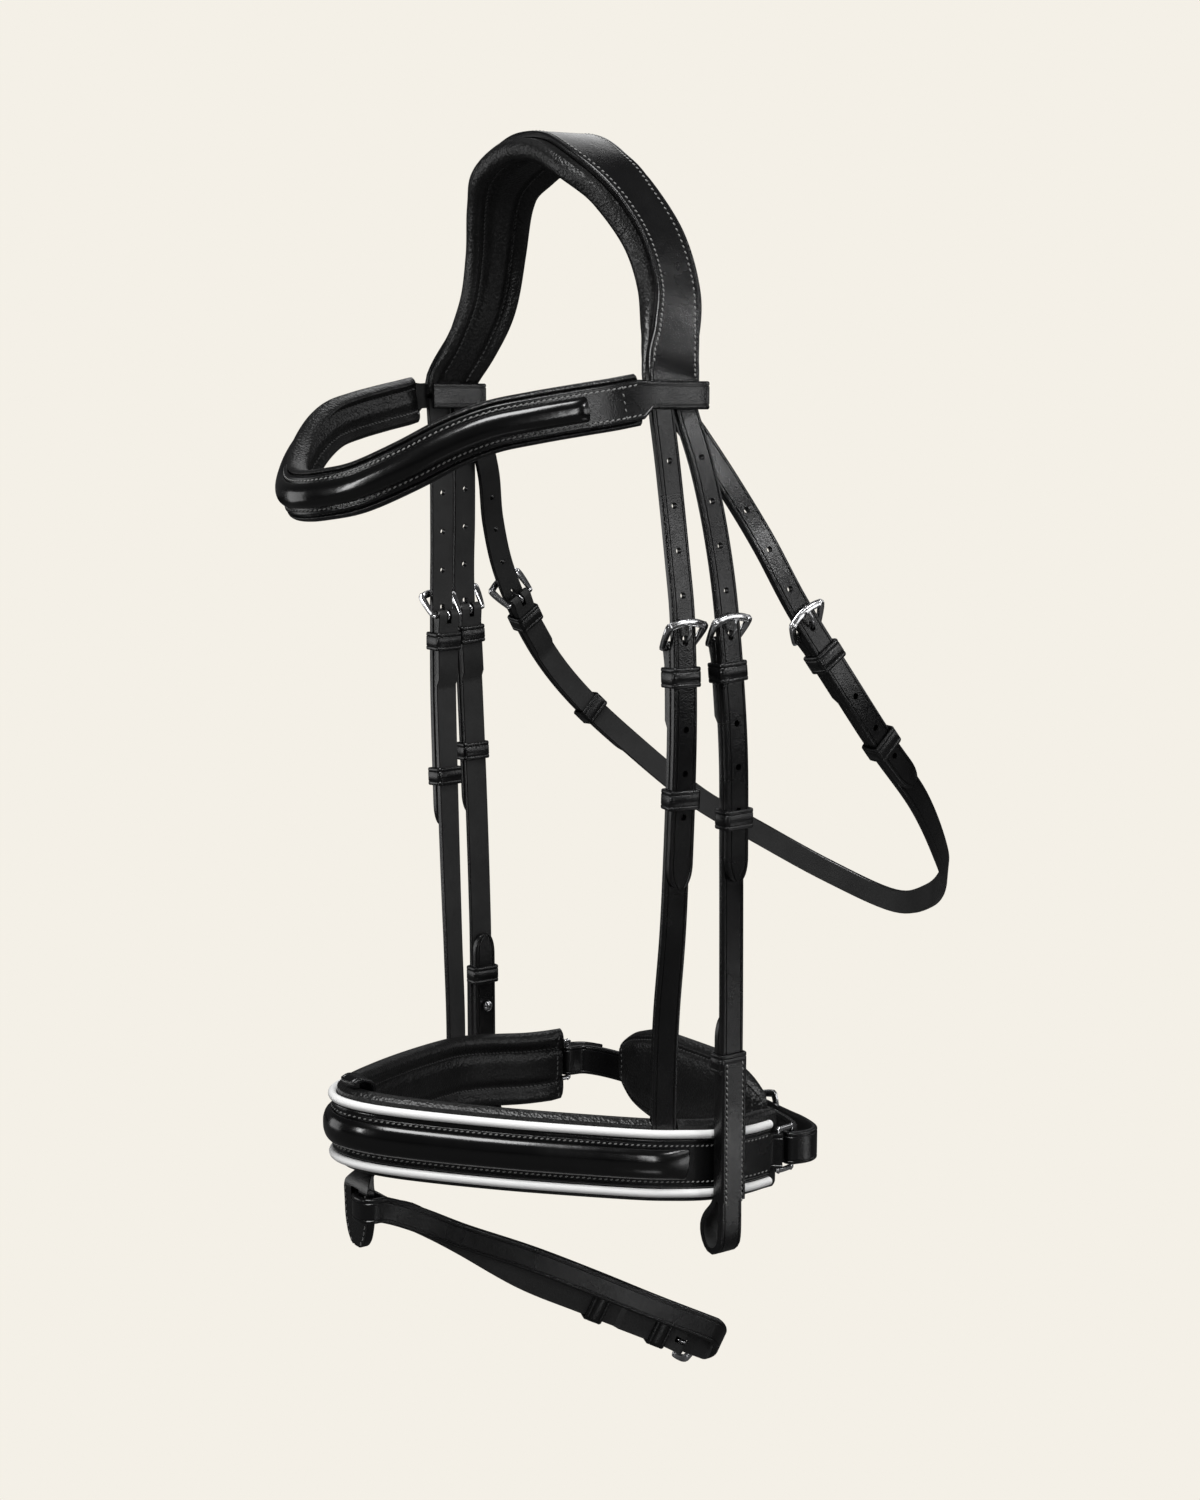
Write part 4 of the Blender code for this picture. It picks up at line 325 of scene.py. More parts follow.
# The crown from the poll down to the browband: share of the head's half width, of the height and
# of the bow behind the ears.
CROWN_LINE_SHARES = ((0.0, 1.0, 0.0), (0.187, 0.981, 0.0), (0.41, 0.901, -0.04), (0.58, 0.795, 0.3),
                     (0.745, 0.606, 0.86), (0.85, 0.404, 1.0), (0.915, 0.236, 0.62),
                     (0.957, 0.13, 0.25), (0.99, 0.065, 0.03), (1.0, 0.032, 0.0), (1.0, 0.0, 0.0))
CROWN_WIDTH_SHARES = ((0.0, 1.0), (0.18, 0.85), (0.3, 0.45), (0.42, 0.05), (0.55, 0.0), (0.7, 0.02),
                      (0.84, 0.3), (0.93, 0.6), (1.0, 0.6))
CROWN_PAD_SHARES = ((0.0, 1.0), (0.2, 0.85), (0.34, 0.36), (0.5, 0.2), (0.75, 0.12), (0.93, 0.0),
                    (1.0, 0.0))
CROWN_TURN_SHARES = ((0.0, 0.0), (0.2, 0.6), (0.4, 1.0), (0.7, 1.0), (0.9, 0.0), (1.0, 0.0))
CROWN_PAD_DEPTH_SHARES = ((0.0, 1.0), (0.7, 0.9), (0.88, 0.3), (0.94, 0.0), (1.0, 0.0))

# The browband's near half, from its middle: share of the half width, of the reach and of the dip.
BROWBAND_LINE_SHARES = ((0.0, 1.0, 1.0), (0.154, 0.982, 0.977), (0.341, 0.92, 0.895),
                        (0.538, 0.819, 0.68), (0.681, 0.71, 0.45), (0.791, 0.601, 0.29),
                        (0.885, 0.478, 0.2), (0.967, 0.348, 0.125), (1.03, 0.232, 0.065))

# The noseband's near half, from its middle: share of the half width, of the length and of the drop.
NOSEBAND_LINE_SHARES = ((0.0, 0.0, 0.0), (0.136, 0.021, 0.025), (0.267, 0.0765, 0.09),
                        (0.43, 0.179, 0.21), (0.602, 0.303, 0.35), (0.77, 0.441, 0.5),
                        (0.918, 0.578, 0.65), (0.977, 0.662, 0.74), (1.006, 0.768, 0.87),
                        (0.992, 0.884, 0.98), (0.96, 1.0, 1.0))

# Cross-sections: share of the half width and share of the thickness. Those of the chin pad's height
# and depth go along its length.
PAD_BACK_SHARES = ((0.9, 0.0), (1.0, -0.3), (0.95, -0.8), (0.76, -1.0), (0.5, -0.6), (0.25, -0.78),
                   (0.0, -0.78))
ROLL_BACK_SHARES = ((0.78, 0.0), (0.89, 0.12), (1.0, -0.15), (0.96, -0.7), (0.76, -1.0),
                    (0.5, -0.62), (0.0, -0.8))
STRIP_SHARES = ((1.0, 0.0), (0.95, 0.34), (0.72, 0.72), (0.38, 0.94), (0.0, 1.0))
CHIN_PAD_SHARES = ((0.0, 0.34), (0.04, 0.52), (0.14, 0.8), (0.32, 1.0), (0.5, 1.0), (0.68, 1.0),
                   (0.86, 0.8), (0.96, 0.52), (1.0, 0.34))
CHIN_PAD_CROWN_SHARES = ((0.0, 0.35), (0.06, 0.62), (0.2, 0.95), (0.5, 1.0), (0.8, 0.95),
                         (0.94, 0.62), (1.0, 0.35))

CHIN_SECTION_SHARES = ((0.9, 0.0), (1.0, 0.25), (0.97, 0.6), (0.89, 0.84), (0.8, 0.78),
                       (0.71, 0.92), (0.5, 1.0), (0.0, 0.97))

# The crank strap from the middle to the rings: share of its half width, of its reach behind the
# rings, and of the space between its two runs.
CRANK_LINE_SHARES = ((0.0, 1.0, 0.0), (0.13, 0.994, 0.78), (0.28, 0.975, 0.84), (0.4, 0.945, 1.0),
                     (0.47, 0.92, 1.0), (0.6, 0.87, 0.9), (0.74, 0.77, 0.95), (0.86, 0.6, 0.0),
                     (0.94, 0.36, 0.0))
CRANK_LOOP_SHARES = ((1.3, 0.26), (1.2, 0.52), (0.4, 0.78), (-1.4, 0.95), (-4.2, 1.08))
CRANK_FAR_SHARES = ((1.05, 0.3), (-0.3, 0.66), (-3.4, 0.92))

# The leather folded round the crank buckle's bar: places along in radii and share of its height.
CRANK_CHAPE_SHARES = ((-1.05, 0.0), (-1.0, 0.55), (-0.7, 0.9), (0.0, 1.0), (1.2, 1.0), (3.0, 0.4),
                      (3.2, 0.0))

# The bit loop: share of its thickness inwards, of its depth upwards, and of a half turn.
BIT_LOOP_SHARES = ((0.0, 0.36, 0.0), (0.1, 0.12, 0.11), (0.42, 0.0, 0.462), (0.72, 0.12, 0.792),
                   (0.85, 0.38, 1.0), (0.72, 0.62, 1.0), (0.42, 0.83, 0.812), (0.25, 1.0, 0.625))

# The flash strap. Its inner run from its far end to the tab, and its outer run from the tab to its
# far end: share of the reach, of the opening and of the drop. In between, the wrap round the tab:
# place and direction in shares of its stand, and share of the drop.
FLASH_REAR_SHARES = ((0.963, -0.61, 1.13), (0.914, -0.61, 1.078), (0.808, -0.61, 0.96),
                     (0.611, -0.61, 0.746), (0.445, -0.61, 0.561), (0.282, -0.61, 0.318),
                     (0.2, -0.2, 0.195), (0.12, 0.3, 0.085))
FLASH_WRAP_SHARES = ((1.1, 1.5, -0.5, 1.0, 0.024), (0.45, 1.0, -0.2, 1.0, 0.003),
                     (-0.15, 0.82, -0.6, 0.8, 0.0), (-0.33, 0.4, -1.0, 0.1, 0.0),
                     (-0.3, 0.0, -1.0, 0.0, 0.0), (-0.33, -0.4, -1.0, -0.1, 0.0),
                     (-0.15, -0.82, -0.6, -0.8, 0.0), (0.4, -1.0, 0.0, -1.0, 0.0),
                     (1.0, -1.02, 0.0, -1.0, 0.0), (1.75, -0.85, 0.5, -0.85, 0.0),
                     (2.15, -0.15, 1.0, -0.2, 0.0), (2.2, 0.9, 1.0, 0.0, 0.007))
FLASH_FORE_SHARES = ((0.107, 1.72, 0.055), (0.173, 1.2, 0.13), (0.273, 1.0, 0.24),
                     (0.45, 1.0, 0.405), (0.627, 1.0, 0.593), (0.79, 1.0, 0.775),
                     (0.963, 0.96, 0.96))

# The flash tab's outline from its tip: share of its length and of its half width.
FLASH_TAB_SHARES = ((0.0, 0.22), (0.06, 0.5), (0.2, 0.78), (0.45, 0.96), (0.75, 1.0), (1.0, 0.96))

# A pointed end's cross-sections from where it starts to narrow, as shares of its length.
TIP_SHARES = (1.0, 0.85, 0.7, 0.55, 0.4, 0.25, 0.12, 0.04, 0.0)

# The prong: how far above the pivot bar, in shares of the bars' distance, and how far out, in
# shares of its rise.
PRONG_SHARES = ((0.18, 0.12), (0.21, 0.34), (0.3, 0.62), (0.48, 0.86), (0.76, 0.985), (1.07, 1.0))

NEAR, FAR = 1, -1
SIDES = (("near", NEAR), ("far", FAR))


# What shows only here: creases, eased edges, stitches and grain.
EDGE_RADIUS = 0.0010
UNDER_RADIUS = EDGE_RADIUS / 3
CREASE_IN = 0.0020         # a crease's middle from the strap's edge
CREASE_HALF = 0.00045
CREASE_DEPTH = 0.00042
CREASE_FLOOR = CREASE_HALF / 3
EDGE_SHARE = 0.45          # what edges and creases take at most of a thin or narrow strap
UNDER_SHARE = 0.25
CREASE_IN_SHARE = 0.5
CREASE_DEPTH_SHARE = 0.125
THREAD_RADIUS = 0.00036
STITCH_LENGTH = 0.0019
STITCH_PITCH = 0.0026
STITCH_SLANT = 0.3
STITCH_PROFILE = ((-1.0, 0.1), (-0.9, 0.6), (-0.6, 0.95), (0.0, 1.0), (0.6, 0.95), (0.9, 0.6),
                  (1.0, 0.1))
CROWN_STITCH_IN = 0.0028
CROWN_STITCH_SHARE = 0.935  # how far down its sides the crown is stitched
BROWBAND_STITCH = 0.0066   # rows of stitches from the browband's middle
NOSEBAND_STITCH = 0.0086
PATCH_STITCH = 0.0046
STRIP_SEAM_OUT = 0.0145    # the browband's cross seams, past the raised strip's ends
TAB_STITCH_IN = 0.0019
TAB_STITCH_END = TAB_STITCH_IN * 1.5  # from the flash tab's tip
TAB_STITCH_SHARE = 0.8     # how much of the tab is stitched
PAD_CHANNEL_SHARE = 0.5    # the padding's sewn channels, in half widths from its middle
SEAM_IN = 0.0042           # the cross seam before the noseband padding's ends
SEAM_SHARE = 0.8           # how much of its height that seam takes
END_ROUNDING = 0.0012      # over what length a padded piece's ends are drawn in
END_SHARES = ((0.0, 0.4), (0.1, 0.18), (0.45, 0.06), (1.0, 0.0))
CHIN_SEAM_IN = 0.0055      # the chin pad's seam, from its two ends
CHIN_SEAM_SHARE = 0.8      # and in shares of its half height
SHARP_ANGLE = pi / 5
BUCKLE_FLAT = 0.85         # the buckles' bars are flatter than they are wide
BUCKLE_BROAD = 1.55        # and broader over the strap than round the pivot
BUCKLE_BROADENING = 1.5    # how soon they broaden
BUCKLE_SQUARE = 0.6        # between a round bar, at 1, and a square one, at 0
KEEPER_PROFILE = ((0.0, -0.94), (0.0, 0.94), (0.2, 1.0), (0.75, 1.0), (1.0, 0.9), (1.0, 0.66),
                  (0.8, 0.58), (1.0, 0.5), (1.0, 0.0), (1.0, -0.5), (0.8, -0.58), (1.0, -0.66),
                  (1.0, -0.9), (0.75, -1.0), (0.2, -1.0))

# The photograph's camera and the light.
CAMERA_PLACE = (0.9226, -0.6431, -0.1120)
CAMERA_AZIMUTH = radians(54)
CAMERA_PITCH = radians(8.5)
CAMERA_LENS = 56.16
SENSOR = 36.0
BACKDROP = (0.905, 0.871, 0.799)
FLOOR_DROP = 0.09          # the floor below the lowest strap
FLOOR_SIZE = 14.0
ROOM_LIGHT = (0.05, 0.05, 0.051)
FLOOR_BOUNCE = (0.10, 0.10, 0.10)

# Noises of the finishes: scale, detail and, where it differs, roughness. Spans: the part of a noise
# that is stretched to a whole range. Bumps: distance and strength.
NOISE_ROUGHNESS = 0.55
SHADE_NOISE = (60.0, 5.0, 0.65)
SHADE_SPAN = (0.3, 0.7)
GLOSS_NOISE = (24.0, 4.0)
GLOSS_SPAN = (0.35, 0.65)
CRUMPLE_NOISE = (130.0, 3.0)
CRUMPLE_STRENGTH = 0.5
PORE_SMOOTHNESS = 0.35
PORE_STRENGTH = 0.55
FINE_SCALE = 1.9           # the fine grain's scale and depth, in those of the pores
FINE_DEPTH = 0.5
FINE_DETAIL = 2.0
FINE_STRENGTH = 0.4
COAT_ROUGHNESS = 0.12
TWIST_NOISE = (2600.0, 1.0)
TWIST_BUMP = (0.0001, 0.6)
THREAD_ROUGHNESS = 0.62
SCRATCH_NOISE = (1400.0, 2.0)
SCRATCH_SPAN = (0.2, 0.8)
SCRATCH_BUMP = (0.00003, 0.35)
TARNISH_NOISE = (210.0, 3.0)
TARNISH_SPAN = (0.35, 0.7)
METAL_GLOSS = (0.12, 0.3)

# Lamps: place, target, size and power.
LAMPS = {
    "top_softbox": ((0.5, -0.5, 1.1), (0.0, -0.05, -0.35), (0.8, 0.8), 26.0),
    "front_softbox": ((0.1, -1.5, 0.0), (0.0, 0.0, -0.3), (0.12, 0.5), 4.0),
    "key_strip": ((1.5, -0.2, -0.1), (0.05, 0.0, -0.4), (0.1, 0.6), 2.5),
    "side_softbox": ((1.22, 0.64, 0.46), (0.1, 0.03, -0.2), (0.12, 0.15), 2.6),
    "low_side_softbox": ((1.18, 0.79, -0.1), (0.09, 0.0, -0.2), (0.35, 0.3), 1.1),
    "patch_softbox": ((0.49, 0.305, -0.59), (0.1, 0.02, -0.46), (0.12, 0.1), 0.12),
    "flash_softbox": ((0.32, -0.035, -0.64), (0.054, 0.0, -0.54), (0.08, 0.05), 0.025),
    "rear_softbox": ((-1.09, 0.86, 0.75), (0.0, 0.0, 0.0), (0.7, 0.7), 2.2),
    "far_softbox": ((-1.1, -1.1, -0.3), (0.0, 0.0, -0.25), (0.8, 0.9), 4.0),
    "back_softbox": ((0.6, 1.6, 0.3), (0.0, 0.0, -0.2), (0.9, 0.9), 3.0),
}


class Nodes:
    """A short way to write a material's nodes."""

    def __init__(self, name):
        self.material = bpy.data.materials.new(name)
        self.material.use_nodes = True
        self.tree = self.material.node_tree
        self.shader = self.tree.nodes["Principled BSDF"]
        self.places = self.add("ShaderNodeTexCoord").outputs["Object"]

    def add(self, kind, settings=None, **inputs):
        node = self.tree.nodes.new(kind)
        for key, value in (settings or {}).items():
            setattr(node, key, value)
        self.fill(node, **inputs)
        return node

    def fill(self, node, **inputs):
        """Give a node's sockets a value or a link, each by its name with _ for a space."""
        for key, value in inputs.items():
            socket = node.inputs[key.replace("_", " ")]
            if isinstance(value, bpy.types.NodeSocket):
                self.tree.links.new(value, socket)
            else:
                socket.default_value = value

    def noise(self, scale, detail, roughness=NOISE_ROUGHNESS):
        return self.add("ShaderNodeTexNoise", Vector=self.places, Scale=scale, Detail=detail,
                        Roughness=roughness).outputs["Fac"]

    def span(self, value, between, low, high):
        """Stretch the part of a noise between two values to another range."""
        return self.add("ShaderNodeMapRange", Value=value, From_Min=between[0], From_Max=between[1],
                        To_Min=low, To_Max=high).outputs["Result"]

    def tint(self, share, first, second):
        """A colour between two, by a share."""
        node = self.add("ShaderNodeMix", {"data_type": "RGBA"})
        self.tree.links.new(share, node.inputs[0])
        node.inputs[6].default_value = (*first, 1.0)
        node.inputs[7].default_value = (*second, 1.0)
        return node.outputs[2]

    def bump(self, height, distance, strength, **normal):
        return self.add("ShaderNodeBump", Height=height, Distance=distance, Strength=strength,
                        **normal).outputs["Normal"]

    def done(self, **inputs):
        self.fill(self.shader, **inputs)
        return self.material


def leather(name, dark, light, gloss, dull, pore_scale, pore_depth, crumple, coat):
    """Dyed leather: pores, soft creasing, and gloss that changes over its face."""
    made = Nodes(name)
    pores = made.add("ShaderNodeTexVoronoi", {"feature": "SMOOTH_F1"}, Vector=made.places,
                     Scale=pore_scale, Smoothness=PORE_SMOOTHNESS).outputs["Distance"]
    fine = made.noise(pore_scale * FINE_SCALE, FINE_DETAIL)
    shade = made.span(made.noise(*SHADE_NOISE), SHADE_SPAN, 0.0, 1.0)
    rough = made.bump(pores, pore_depth, PORE_STRENGTH)
    rough = made.bump(fine, pore_depth * FINE_DEPTH, FINE_STRENGTH, Normal=rough)
    rough = made.bump(made.noise(*CRUMPLE_NOISE), crumple, CRUMPLE_STRENGTH, Normal=rough)
    return made.done(Base_Color=made.tint(shade, dark, light), Normal=rough, Coat_Weight=coat,
                     Coat_Roughness=COAT_ROUGHNESS,
                     Roughness=made.span(made.noise(*GLOSS_NOISE), GLOSS_SPAN, gloss, dull))


def thread(name, dark, light):
    """Waxed thread, twisted."""
    made = Nodes(name)
    twist = made.noise(*TWIST_NOISE)
    return made.done(Base_Color=made.tint(twist, dark, light), Normal=made.bump(twist, *TWIST_BUMP),
                     Roughness=THREAD_ROUGHNESS)


def metal(name, dark, light):
    """Polished stainless steel with fine scratches and a little tarnish."""
    made = Nodes(name)
    scratches = made.noise(*SCRATCH_NOISE)
    tarnish = made.span(made.noise(*TARNISH_NOISE), TARNISH_SPAN, 0.0, 1.0)
    return made.done(Base_Color=made.tint(tarnish, light, dark), Metallic=1.0,
                     Normal=made.bump(scratches, *SCRATCH_BUMP),
                     Roughness=made.span(scratches, SCRATCH_SPAN, *METAL_GLOSS))


# Each finish with its dark and its light colour. A leather also has its roughness where it is
# glossy and where it is dull, its pores' scale and depth, how deeply it crumples, and its coat.
FINISHES = {
    "strap_leather": (leather, (0.0022, 0.0022, 0.0024), (0.0045, 0.0045, 0.0047), 0.2, 0.33,
                      1500.0, 0.0001, 0.0003, 0.0),
    "flesh_side": (leather, (0.010, 0.010, 0.010), (0.019, 0.019, 0.019), 0.5, 0.7,
                   2100.0, 0.00012, 0.0002, 0.0),
    "patent_leather": (leather, (0.0015, 0.0015, 0.0016), (0.0025, 0.0025, 0.0026), 0.16, 0.26,
                       700.0, 0.00002, 0.0003, 0.2),
    "lining_leather": (leather, (0.0028, 0.0028, 0.0028), (0.008, 0.008, 0.008), 0.3, 0.44,
                       760.0, 0.0005, 0.0011, 0.0),
    "piping_leather": (leather, (0.93, 0.93, 0.92), (0.98, 0.98, 0.97), 0.34, 0.46,
                       1300.0, 0.00012, 0.0003, 0.0),
    "pale_thread": (thread, (0.16, 0.16, 0.16), (0.29, 0.29, 0.28)),
    "dark_thread": (thread, (0.055, 0.055, 0.055), (0.12, 0.12, 0.12)),
    "polished_steel": (metal, (0.42, 0.42, 0.43), (0.72, 0.72, 0.73)),
}
MATERIALS = {}


def finish(name):
    """A finish's material, made when it is first used."""
    if name not in MATERIALS:
        maker, *values = FINISHES[name]
        MATERIALS[name] = maker(name, *values)
    return MATERIALS[name]


def spline_point(a, b, c, d, t):
    """A point between b and c on a Catmull-Rom curve."""
    square = (a * 2 - b * 5 + c * 4 - d) * t ** 2
    cube = (b * 3 - a - c * 3 + d) * t ** 3
    return (b * 2 + (c - a) * t + square + cube) / 2


def smooth_path(points, steps, closed=False):
    """More points along a path, on a smooth curve through them."""
    points = [Vector(p) for p in points]
    count = len(points)
    fine = []
    for i in range(count if closed else count - 1):
        if closed:
            four = [points[(i + k) % count] for k in (-1, 0, 1, 2)]
        else:
            before = points[i - 1] if i else points[0] * 2 - points[1]
            after = points[i + 2] if i + 2 < count else points[-1] * 2 - points[-2]
            four = [before, points[i], points[i + 1], after]
        fine += [spline_point(*four, k / steps) for k in range(steps)]
    return fine if closed else fine + [points[-1]]


def runs(points):
    """The way a line runs at each point, from the point before it to the one behind it."""
    last = len(points) - 1
    return [points[min(i + 1, last)] - points[max(i - 1, 0)] for i in range(last + 1)]


class Route:
    """A smooth line through points, each with the direction in which the strap's face looks."""

    def __init__(self, points, outs):
        outs = [Vector(o) for o in outs]
        faces = [here.lerp(there, k / SMOOTH_STEPS)
                 for here, there in zip(outs, outs[1:]) for k in range(SMOOTH_STEPS)]
        self.points = np.array(smooth_path(points, SMOOTH_STEPS))
        self.outs = np.array(faces + outs[-1:])
        steps = np.linalg.norm(np.diff(self.points, axis=0), axis=1)
        self.lengths = np.concatenate([[0.0], np.cumsum(steps)])
        self.length = float(self.lengths[-1])
        self.alongs = np.gradient(self.points, self.lengths, axis=0)

    def value(self, table, s):
        return Vector([float(np.interp(s, self.lengths, table[:, k])) for k in range(3)])

    def frame(self, s, out=0.0):
        """Across, along and out at a distance along the line, as a matrix."""
        along = self.value(self.alongs, s).normalized()
        face = self.value(self.outs, s)
        face = (face - along * face.dot(along)).normalized()
        return placed(along.cross(face), along, face, self.value(self.points, s) + face * out)

    def bend(self, start, end):
        """The angle that the line turns through between two places."""
        places = start, (start + end) / 2, end
        first, middle, last = [self.frame(s).col[1].to_3d() for s in places]
        return first.angle(middle) + middle.angle(last)

    def moved(self, start, end, out, step=STRAP_STEP):
        """Points and directions along part of the line, moved outwards."""
        count = max(2, round(abs(end - start) / step) + 1)
        frames = [self.frame(s, out) for s in np.linspace(start, end, count)]
        return [f.translation for f in frames], [f.col[2].to_3d() for f in frames]

    def first(self, places, fits):
        """The first of several places along the line whose frame fits."""
        return next(s for s in places if fits(self.frame(s)))


def placed(across, along, out, place):
    matrix = Matrix((across, along, out)).transposed().to_4x4()
    matrix.translation = place
    return matrix


def on_side(line, sign):
    """A line made for the near side, or the same line on the far side of the head."""
    if sign == NEAR:
        return line
    flip = np.array((-1.0, 1.0, 1.0))
    copy = Route.__new__(Route)
    copy.points = line.points * flip
    copy.outs = line.outs * flip
    copy.alongs = line.alongs * flip
    copy.lengths = line.lengths
    copy.length = line.length
    return copy


def table_value(table, share):
    """A value read between the rows of a table of shares, on a curve without overshoot."""
    xs = np.array([row[0] for row in table])
    ys = np.array([row[1] for row in table])
    share = min(max(share, xs[0]), xs[-1])
    widths = np.diff(xs)
    slopes = np.diff(ys) / widths
    bends = np.zeros(len(xs))
    for i in range(1, len(xs) - 1):
        if slopes[i - 1] * slopes[i] > 0:
            bends[i] = 2 / (1 / slopes[i - 1] + 1 / slopes[i])
    bends[0], bends[-1] = slopes[0], slopes[-1]
    k = min(int(np.searchsorted(xs, share, side="right")) - 1, len(widths) - 1)
    wide = widths[k]
    t = (share - xs[k]) / wide
    value = ys[k] * (1 + 2 * t) * (1 - t) ** 2 + ys[k + 1] * t ** 2 * (3 - 2 * t)
    return float(value + wide * (bends[k] * t * (1 - t) ** 2 - bends[k + 1] * t ** 2 * (1 - t)))


def mesh_object(name, points, faces, surface=None):
    """An object from points in the world, with its faces turned outwards."""
    mesh = bpy.data.meshes.new(name)
    mesh.from_pydata([tuple(p) for p in points], [], faces)
    shell = bmesh.new()
    shell.from_mesh(mesh)
    bmesh.ops.recalc_face_normals(shell, faces=shell.faces)
    shell.to_mesh(mesh)
    shell.free()
    mesh.shade_smooth()
    mesh.set_sharp_from_angle(angle=SHARP_ANGLE)
    made = bpy.data.objects.new(name, mesh)
    bpy.context.collection.objects.link(made)
    if surface:
        mesh.materials.append(finish(surface))
    return made


def loft(name, rings, surface, under=None, closed=False):
    """A skin over rings of equally many points. The side between the first two can differ."""
    size = len(rings[0])
    points = [p for ring in rings for p in ring]
    faces = []
    spans = len(rings) if closed else len(rings) - 1
    for i in range(spans):
        here = i * size
        there = (i + 1) % len(rings) * size
        for k in range(size):
            n = (k + 1) % size
            faces.append((here + k, here + n, there + n, there + k))
    if not closed:
        faces.append(tuple(range(size - 1, -1, -1)))
        faces.append(tuple(range(len(points) - size, len(points))))
    made = mesh_object(name + "_look", points, faces, surface)
    if under:
        made.data.materials.append(finish(under))
        for face in range(0, spans * size, size):
            made.data.polygons[face].material_index = 1
    return made


def strap_loft(name, rings):
    """A strap's skin, with its flesh side on its inner face."""
    return loft(name, rings, "strap_leather", "flesh_side")


def rounded_end(rings):
    """Rings for a padded piece, with its two ends drawn in instead of cut square."""
    ends = []
    for first, second in ((rings[0], rings[1]), (rings[-1], rings[-2])):
        middle = sum(first, Vector()) / len(first)
        back = (sum(second, Vector()) / len(second) - middle).normalized() * END_ROUNDING
        ends.append([[p.lerp(middle, share) + back * away for p in first]
                     for away, share in END_SHARES])
    return ends[0] + rings[1:-1] + ends[1][::-1]


def flat_section(half_width, low, high):
    """A strap's cross-section as (across, out) pairs, eased and creased along both outer edges."""
    deep = high - low
    ease = min(EDGE_RADIUS, deep * EDGE_SHARE)
    under = min(UNDER_RADIUS, deep * UNDER_SHARE)
    crease = min(CREASE_IN, half_width * CREASE_IN_SHARE)
    groove = min(CREASE_DEPTH, deep * CREASE_DEPTH_SHARE)
    right = [(half_width - under, low), (half_width, low + under), (half_width, high - ease)]
    for step in range(1, EDGE_STEPS):
        angle = pi / 2 * step / EDGE_STEPS
        right.append((half_width - ease + ease * cos(angle), high - ease + ease * sin(angle)))
    right.append((half_width - ease, high))
    for shift, sink in ((CREASE_HALF, 0.0), (CREASE_FLOOR, groove), (-CREASE_FLOOR, groove),
                        (-CREASE_HALF, 0.0)):
        right.append((half_width - crease + min(shift, crease - ease), high - sink))
    left = [(-u, n) for u, n in reversed(right)]
    return left[-1:] + right + [(0.0, high)] + left[:-1]


def both_sides(shares, half_width, thickness, base):
    """A symmetric cross-section from the shares of one half, listed from its edge to its middle."""
    right = [(u * half_width, base + n * thickness) for u, n in shares]
    left = [(-u, n) for u, n in reversed(right) if u > 0]
    return [tuple(p) for p in smooth_path(right + left, PROFILE_STEPS)]


def surface_at(section, across):
    """The level of a padded cross-section's curved side at a place across it."""
    first = max(range(len(section)), key=lambda k: section[k][0])
    last = min(range(len(section)), key=lambda k: section[k][0])
    curve = section[first:last + 1][::-1]
    return float(np.interp(across, [u for u, _ in curve], [n for _, n in curve]))


def ring_at(frame, section):
    return [frame @ Vector((u, 0.0, n)) for u, n in section]


def strap_rings(route, places, sizes):
    """A flat strap's rings; sizes gives half its width and its two levels at a place."""
    return [ring_at(route.frame(s), flat_section(*sizes(s))) for s in places]


def faded(distance, length, least):
    """A share that grows from least to one over a length from an end."""
    return least + (1.0 - least) * min(1.0, distance / length)


def raised_strip(name, route, places, end, width, thickness, fade, level):
    """The glossy strip on a band, lower over the length of fade at its ends."""
    rings = []
    for s in places:
        if abs(s) <= end:
            high = thickness * faded(end - abs(s), fade, STRIP_END_SHARE)
            section = both_sides(STRIP_SHARES, width / 2, high, level)
            rings.append(ring_at(route.frame(route.length / 2 + s), section))
    loft(name, rounded_end(rings), "patent_leather")


STITCHES = {}


def stitch(node, frame, across, out, colour, turn=0.0):
    """Note one stitch at a place on a frame, to be sewn with the piece's others."""
    turned = Matrix.Rotation(turn + STITCH_SLANT, 4, "Z")
    place = frame @ Matrix.Translation((across, 0.0, out)) @ turned
    STITCHES.setdefault((node, colour), []).append(place)


def stitch_rows(node, route, start, end, across, level, colour):
    """Two rows of stitches along a route; level gives their height at a distance along it."""
    for s in np.linspace(start, end, round((end - start) / STITCH_PITCH)):
        for side in (-across, across):
            stitch(node, route.frame(s), side, level(s), colour)


def cross_seam(node, frame, half, level, colour):
    """A row of stitches across a piece; level gives their height at a place across it."""
    for across in np.linspace(-half, half, round(2 * half / STITCH_PITCH)):
        stitch(node, frame, across, level(across), colour, pi / 2)


def sew():
    """All the stitches of each piece, as one mesh of short rounded threads."""
    turns = [2 * pi * k / STITCH_SIDES for k in range(STITCH_SIDES)]
    for (node, colour), places in STITCHES.items():
        points, faces = [], []
        for place in places:
            first = len(points)
            for along, wide in STITCH_PROFILE:
                sink = THREAD_RADIUS * along * along
                for angle in turns:
                    points.append(place @ Vector((cos(angle) * wide * THREAD_RADIUS,
                                                  along * STITCH_LENGTH / 2,
                                                  sin(angle) * wide * THREAD_RADIUS - sink)))
            for k in range(STITCH_SIDES):
                n = (k + 1) % STITCH_SIDES
                for here in range(first, len(points) - STITCH_SIDES, STITCH_SIDES):
                    there = here + STITCH_SIDES
                    faces.append((here + k, here + n, there + n, there + k))
        made = mesh_object(node + "_stitches", points, faces, colour)
        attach(made, body_of(frame["nodes"][node])[0])


